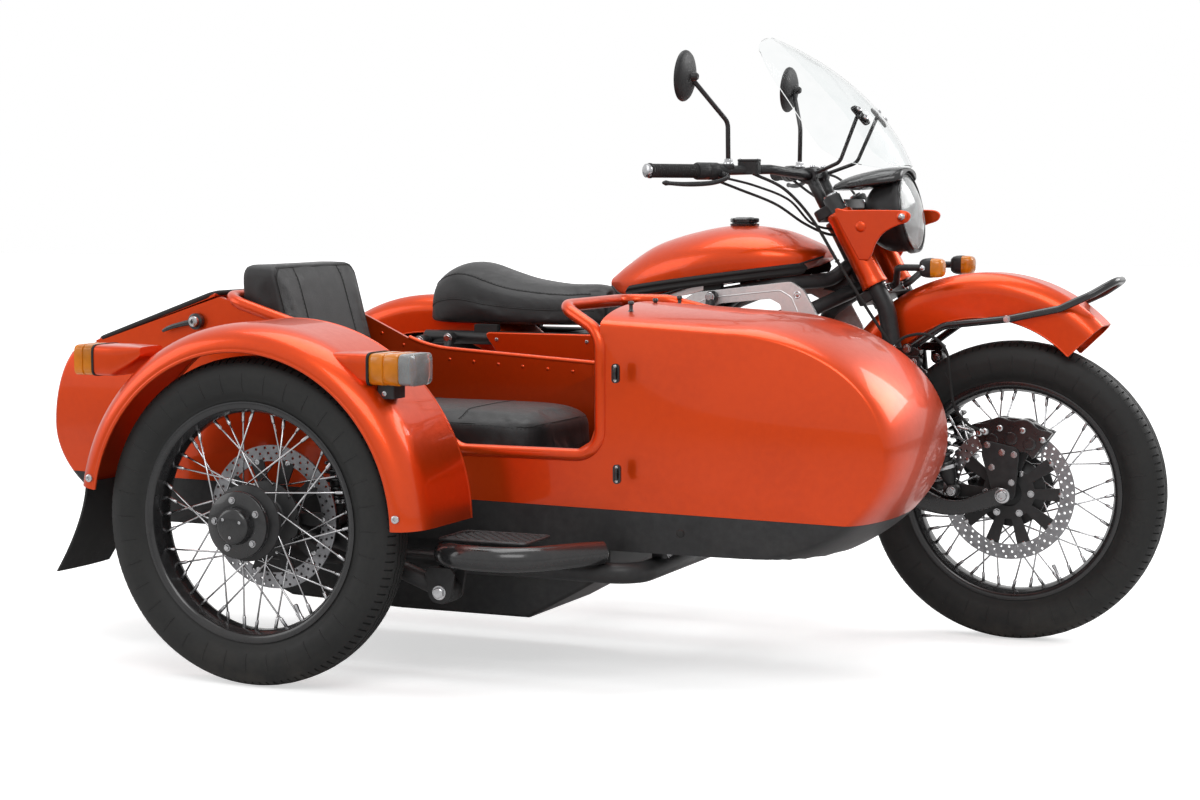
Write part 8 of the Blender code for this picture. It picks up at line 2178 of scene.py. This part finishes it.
def makeSideFrame():
    z, rear, front = base["height"], base["rear"], base["front"]
    loop = [(front, base["inner"], z), (front, base["outer"], z), (rear, base["outer"], z),
            (rear, base["inner"], z)]
    tubes = [pipe(bent(loop, base["bend"], 12), base["radius"], 28), pipe([(rear - 0.0218, base["inner"],
            z), (0.4, base["inner"], z), (front + 0.0218, base["inner"], z)], base["sill"], 28),
            pipe([(base["outrigger"][0], base["outer"], z), (base["outrigger"][0], -1.0, z),
            (*base["outrigger"], z)], 0.0128, 20), pipe(bent(base["post"], 0.030, 8), base["postRadius"],
            24), pipe([(0.290, -0.930, 0.575), (0.290, -0.98, 0.575), (0.290, -1.0195, 0.575)], 0.0078, 16)]
    bolts = []
    for x in base["links"]:
        y, low = base["linkEnd"]
        tubes.append(pipe([(x, base["inner"], z), (x, (base["inner"] + y) / 2, (z + low) / 2), (x, y, low)],
                base["linkRadius"], 24))
        way = unit(np.array([0.0, y - base["inner"], low - z]))
        ring = revolve([(0.0160, -0.009), (0.0224, -0.009), (0.0236, -0.007), (0.0236, 0.007),
                (0.0224, 0.009), (0.0160, 0.009)], np.array([x, y, low]) - way * 0.012, way, 32, ring=True)
        tubes.append(ring)
        bolts.append(((x, y - 0.008, low - 0.0230), (0, 0, -1)))
        bolts.append(((x + 0.0230, y - 0.008, low), (1, 0, 0)))
    piece("sidecarFrameTubes", join(*tubes), "satinBlack", "chassis", ["sidecar_frame"], smooth=50)
    plates = []
    outline = rounded(base["plate"], [0.004, 0.022, 0.022, 0.004, 0.006, 0.006], 6)
    for sign in (-1.0, 1.0):
        near, far = sorted((base["armY"] + sign * base["clevis"][0],
                base["armY"] + sign * base["clevis"][1]))
        plates.append(prism(outline, near, far))
    for x in (rear, front):
        for y in base["mounts"]:
            plates.append(block((x - 0.0138, y - 0.0278, z), (x + 0.0138, y + 0.0278, 0.2855), 0.004))
            bolts.append(((x + (0.0138 if x > 0 else -0.0138), y, 0.272), (1 if x > 0 else -1, 0, 0)))
    piece("sidecarFramePlates", join(*plates), "satinBlack", "chassis", bevel=0.0014)
    heads = placed(hexBolt(0.0062, 0.0054), bolts)
    pivot = [repeated(hexBolt(0.0120, 0.0095, 1.30), [(base["pivot"][0], base["armY"] - 0.0304,
            base["pivot"][1])], (0, -1, 0)), repeated(hexBolt(0.0105, 0.0080, 1.30),
            [(base["pivot"][0], base["armY"] + 0.0304, base["pivot"][1])], (0, 1, 0))]
    piece("sidecarFrameBolts", join(heads, *pivot), "steel", "chassis")


def makeStruts():
    # each strut is a tube with a threaded end and an eye on both sides
    for name in ("rear", "front"):
        x, z = strutParts[name]
        head = np.array([x, strutParts["headY"], z])
        foot = np.array([x, strutParts["footY"], strutParts["footZ"]])
        way = unit(head - foot)
        length = np.linalg.norm(head - foot)
        tube = revolve([(0, 0.0), (0.0095, 0.0), (0.0125, 0.010), (0.0125, 0.034),
                (strutParts["radius"], 0.038), (strutParts["radius"], length - 0.050),
                (0.0120, length - 0.046), (0.0115, length - 0.020), (0.0120, length - 0.010),
                (0.0105, length), (0, length)], foot, way, 32)
        eye = revolve([(0, 0.1425), (0.0098, 0.1425), (0.0098, 0.1500), (0.0138, 0.1530), (0.0138, 0.1700),
                (0.0120, 0.1760), (0, 0.1760)], (x, 0, z), (0, -1, 0), 28)
        shoe = revolve([(0, -0.0118), (0.0098, -0.0118), (0.0098, 0.0040), (0, 0.0040)], foot, (0, 0, 1),
                24)
        piece("strut" + name.capitalize() + "Tube", join(tube, eye, shoe), "satinBlack", "chassis",
                ["strut_" + name], smooth=50)
        nuts = [revolve([(0.0110, place - 0.004), (0.0158, place - 0.004), (0.0158, place + 0.004),
                (0.0110, place + 0.004)], foot, way, 6, ring=True) for place in (0.032, length - 0.043)]
        cap = repeated(hexBolt(0.0092, 0.0080, 1.25), [(x, -0.1762, z)], (0, -1, 0))
        piece("strut" + name.capitalize() + "Nuts", join(*nuts, cap), "steel", "chassis",
                smooth=30)


def makeSideArm():
    y = base["armY"]
    start, end = np.array([arm["start"][0], y, arm["start"][1]]), np.array([arm["end"][0], y,
            arm["end"][1]])
    way = unit(end - start)
    tube = pipe([start + way * 0.010, (start + end) / 2, end - way * 0.012], [0.0200, 0.0185, 0.0200], 28)
    near, far = arm["boss"]
    boss = revolve([(0, -far), (0.0225, -far), (arm["bossRadius"], -far + 0.002),
            (arm["bossRadius"], -near - 0.002), (0.0225, -near), (0, -near)], (start[0], 0, start[2]),
            (0, -1, 0), 36)
    half = arm["pivotHalf"]
    pivot = revolve([(0, -half), (0.0245, -half), (arm["pivotRadius"], -half + 0.0015),
            (arm["pivotRadius"], half - 0.0015), (0.0245, half), (0, half)], (end[0], y, end[2]), (0, 1, 0),
            36)
    stub = pipe([(start[0], y, start[2]), (start[0], -1.08, start[2]), (start[0], -1.1180, start[2])],
            0.0098, 24)
    x, low, high = arm["shock"]
    lug = [(x - 0.020, low - 0.030), (x + 0.024, low - 0.042), (x + 0.0120, low + 0.008), (x, low + 0.0125),
            (x - 0.0120, low + 0.008)]
    outline = rounded(lug, [0.003, 0.003, 0.008, 0.010, 0.008], 5)
    lugs = [prism(outline, *sorted((y + side * 0.0158, y + side * 0.0195))) for side in (-1.0, 1.0)]
    piece("sidecarSwingArmTube", join(tube, boss, pivot, stub), "satinBlack", "chassis",
            ["sidecar_swing_arm"], smooth=50)
    piece("sidecarSwingArmLugs", join(*lugs), "satinBlack", "chassis", bevel=0.0008)
    makeShock("sidecarShock", "chassis", "sidecar_shock", (x, y, low), (x, y, high), arm["turns"])
    bolts = [repeated(hexBolt(0.0080, 0.0070), [(x, y - 0.0196, low)], (0, -1, 0)),
            repeated(hexBolt(0.0080, 0.0070), [(x, y - 0.0150, high)], (0, -1, 0)),
            repeated(hexBolt(0.0125, 0.0090), [(start[0], y + 0.0224, start[2])], (0, 1, 0))]
    piece("sidecarShockBolts", join(*bolts), "steel", "chassis")


makeSideFrame()
makeStruts()
makeSideArm()
print("sidecar frame ready")


# padded seats: each starts a little small, is blown up from the inside as cloth, then gets its seams

padding = {"voxel": 0.0060, "pressure": 4.0, "frames": 20, "stitch": 0.0095}
stitchOffset = 0.0042


def coordinates(mesh):
    points = np.empty(len(mesh.vertices) * 3, np.float32)
    mesh.vertices.foreach_get("co", points)
    return points.reshape(-1, 3)


def swell(made, reach, held, voxel):
    # the pad's skin is remeshed evenly, swells under pressure, and no point moves farther than the reach
    scene = bpy.context.scene
    remesh = made.modifiers.new("remesh", "REMESH")
    remesh.mode = "VOXEL"
    remesh.voxel_size = voxel
    mesh = bpy.data.meshes.new_from_object(made.evaluated_get(bpy.context.evaluated_depsgraph_get()))
    made.modifiers.clear()
    made.data = mesh
    start = coordinates(mesh)
    base = made.vertex_groups.new(name="held")
    base.add(np.flatnonzero(start[:, 2] < start[:, 2].min() + held).tolist(), 1.0, "REPLACE")
    cloth = made.modifiers.new("swelling", "CLOTH")
    cloth.settings.use_pressure = True
    cloth.settings.uniform_pressure_force = padding["pressure"]
    cloth.settings.effector_weights.gravity = 0.0
    cloth.settings.vertex_group_mass = "held"
    cloth.point_cache.frame_start = 1
    cloth.point_cache.frame_end = padding["frames"]
    for number in range(1, padding["frames"] + 1):
        scene.frame_set(number)
    end = coordinates(made.evaluated_get(bpy.context.evaluated_depsgraph_get()).data)
    step = end - start
    far = np.linalg.norm(step, axis=1, keepdims=True)
    soft = reach * np.tanh(far / reach)
    start = start + step / np.maximum(far, 1e-9) * soft
    made.modifiers.clear()
    scene.frame_set(1)
    mesh.vertices.foreach_set("co", start.ravel())
    mesh.update()
    mesh.shade_smooth()


def softPad(name, shape, stands, reach, held, divide=0):
    made = piece(name, shape, "leather", "chassis", stands, smooth=0)
    swell(made, reach, held, padding["voxel"] * (1.25 if divide else 1.0))
    if divide:
        finer = made.modifiers.new("finer", "SUBSURF")
        finer.levels = divide
        finer.render_levels = divide
    return made


def seams(name, pad, paths):
    # cords and stitches are laid on the pad's finished skin
    bpy.context.view_layer.update()
    cords, stitches = [], []
    for path, closed, way in paths:
        path = np.asarray(path, float)
        laid = np.array([pad.closest_point_on_mesh(tuple(point + shift))[1] for point in path]) - shift
        cords.append(pipe(laid, 0.0013, 8, closed=closed))
        offset = np.asarray(way, float)
        along = np.concatenate([[0], np.cumsum(np.linalg.norm(np.diff(laid, axis=0), axis=1))])
        count = int(along[-1] / padding["stitch"])
        for number in range(count):
            span = np.array([number + 0.2, number + 0.78]) * padding["stitch"]
            ends = np.stack([np.interp(span, along, laid[:, axis]) for axis in range(3)], -1) + offset
            ends = np.array([pad.closest_point_on_mesh(tuple(end + shift))[1] for end in ends]) - shift
            stitches.append(pipe(ends, 0.00075, 4))
    piece(name, join(*cords, *stitches), "grip", "chassis")


def saddlePath(level, sign, low, high):
    # the line on the saddle's side at one share of its section's height, from rear to front
    rows = saddleRows()
    picked = rows[low:high]
    bottom, top = picked[:, :, 2].min(1), picked[:, :, 2].max(1)
    height = bottom + (top - bottom) * level
    y = []
    for row, target in zip(picked, height):
        side = row[(row[:, 1] * sign) > 0]
        y.append(side[np.argmin(np.abs(side[:, 2] - target)), 1])
    return np.stack([picked[:, 0, 0], y, height], -1)


def makeSaddle():
    rows = saddleRows(0.0045)
    fenderTop = rearFender["radius"] + 0.0008
    body = grid(rows, closeColumns=True)
    turn = np.linspace(0, np.pi, 61)
    arch = np.stack([fenderTop * np.cos(turn), axleZ + fenderTop * np.sin(turn)], -1)
    clear = rearFender["half"] + 0.0012
    shape = carved(body, [("DIFFERENCE", prism(arch, -clear, clear))])
    pad = softPad("saddlePad", shape, ["saddle"], 0.0055, 0.012, 1)
    count = len(rows)
    lines = []
    for sign in (-1.0, 1.0):
        lines.append((curve(saddlePath(0.42, sign, 4, count - 3)[::3], 3), False, (0, 0, stitchOffset)))
        lines.append((curve(saddlePath(0.84, sign, 5, count - 4)[::3], 3), False,
                (0, -sign * stitchOffset, 0)))
    seams("saddleSeams", pad, lines)
    feet = [block((0.161, sign * 0.125 - 0.0105, 0.678), (0.225, sign * 0.125 + 0.0105, 0.706),
            0.003) for sign in (-1.0, 1.0)]
    piece("saddleFeet", join(*feet), "grip", "chassis", bevel=0.001)


def cushionEdge(low, high, inset, level):
    corners = [(low[0] + inset, low[1] + inset, level), (high[0] - inset, low[1] + inset, level),
            (high[0] - inset, high[1] - inset, level), (low[0] + inset, high[1] - inset, level)]
    path = bent(corners, 0.035, 8, closed=True)
    count = len(path)
    along = np.linspace(0, count, 160, endpoint=False)
    closedPath = np.vstack([path, path[:1]])
    return np.stack([np.interp(along, np.arange(count + 1), closedPath[:, axis]) for axis in range(3)], -1)


def makeSeats():
    low, high = np.array([0.063, -0.839, 0.4204]), np.array([0.657, -0.471, 0.552])
    pad = softPad("passengerCushionPad", softBlock(low, high, 0.003, 5.5), ["passenger_cushion"],
            0.0060, 0.020)
    lines = [(cushionEdge(low, high, 0.010, high[2] - 0.016), True, (0, 0, -stitchOffset)),
            (cushionEdge(low, high, -0.002, low[2] + 0.050), True, (0, 0, stitchOffset))]
    across = np.linspace(low[1] + 0.012, high[1] - 0.012, 40)
    for share in (0.36, 0.68):
        x = low[0] + (high[0] - low[0]) * share
        lines.append((np.stack([x + 0 * across, across, high[2] + 0.01 + 0 * across], -1), False,
                (stitchOffset, 0, 0)))
    seams("passengerCushionSeams", pad, lines)
    rear, front, middle = -0.0672, (0.1062, 0.0162), 0.060
    low, high = np.array([rear, -0.8412, 0.5608]), np.array([middle, -0.4688, 0.8712])
    points, faces = softBlock(low, high, 0.0, 13.0)
    share = (points[:, 2] - low[2]) / (high[2] - low[2])
    depth = front[0] + (front[1] - front[0]) * share - rear
    points = np.stack([rear + (points[:, 0] - rear) * depth / (middle - rear), points[:, 1], points[:, 2]],
            -1)
    pad = softPad("passengerBackrestPad", (points, faces), ["passenger_backrest"], 0.0040, 0.010)
    lines = []
    for across in (0.24, 0.76):
        y = low[1] + (high[1] - low[1]) * across
        z = np.linspace(low[2] + 0.01, high[2] - 0.004, 40)
        up = (z - low[2]) / (high[2] - low[2])
        x = front[0] + (front[1] - front[0]) * up + 0.01
        lines.append((np.stack([x, y + 0 * z, z], -1), False,
                (0, stitchOffset if across > 0.5 else -stitchOffset, 0)))
    ring = []
    for y, z in bent([(0, low[1] + 0.012, low[2] + 0.02), (0, high[1] - 0.012, low[2] + 0.02),
            (0, high[1] - 0.012, high[2] - 0.012), (0, low[1] + 0.012, high[2] - 0.012)], 0.03, 10,
            closed=True)[:, 1:]:
        up = (z - low[2]) / (high[2] - low[2])
        ring.append((rear + (front[0] + (front[1] - front[0]) * up - rear) * 0.93, y, z))
    lines.append((curve(ring + ring[:1], 2)[:-1], True, (-stitchOffset, 0, 0)))
    seams("passengerBackrestSeams", pad, lines)


makeSaddle()
makeSeats()
print("seats ready")
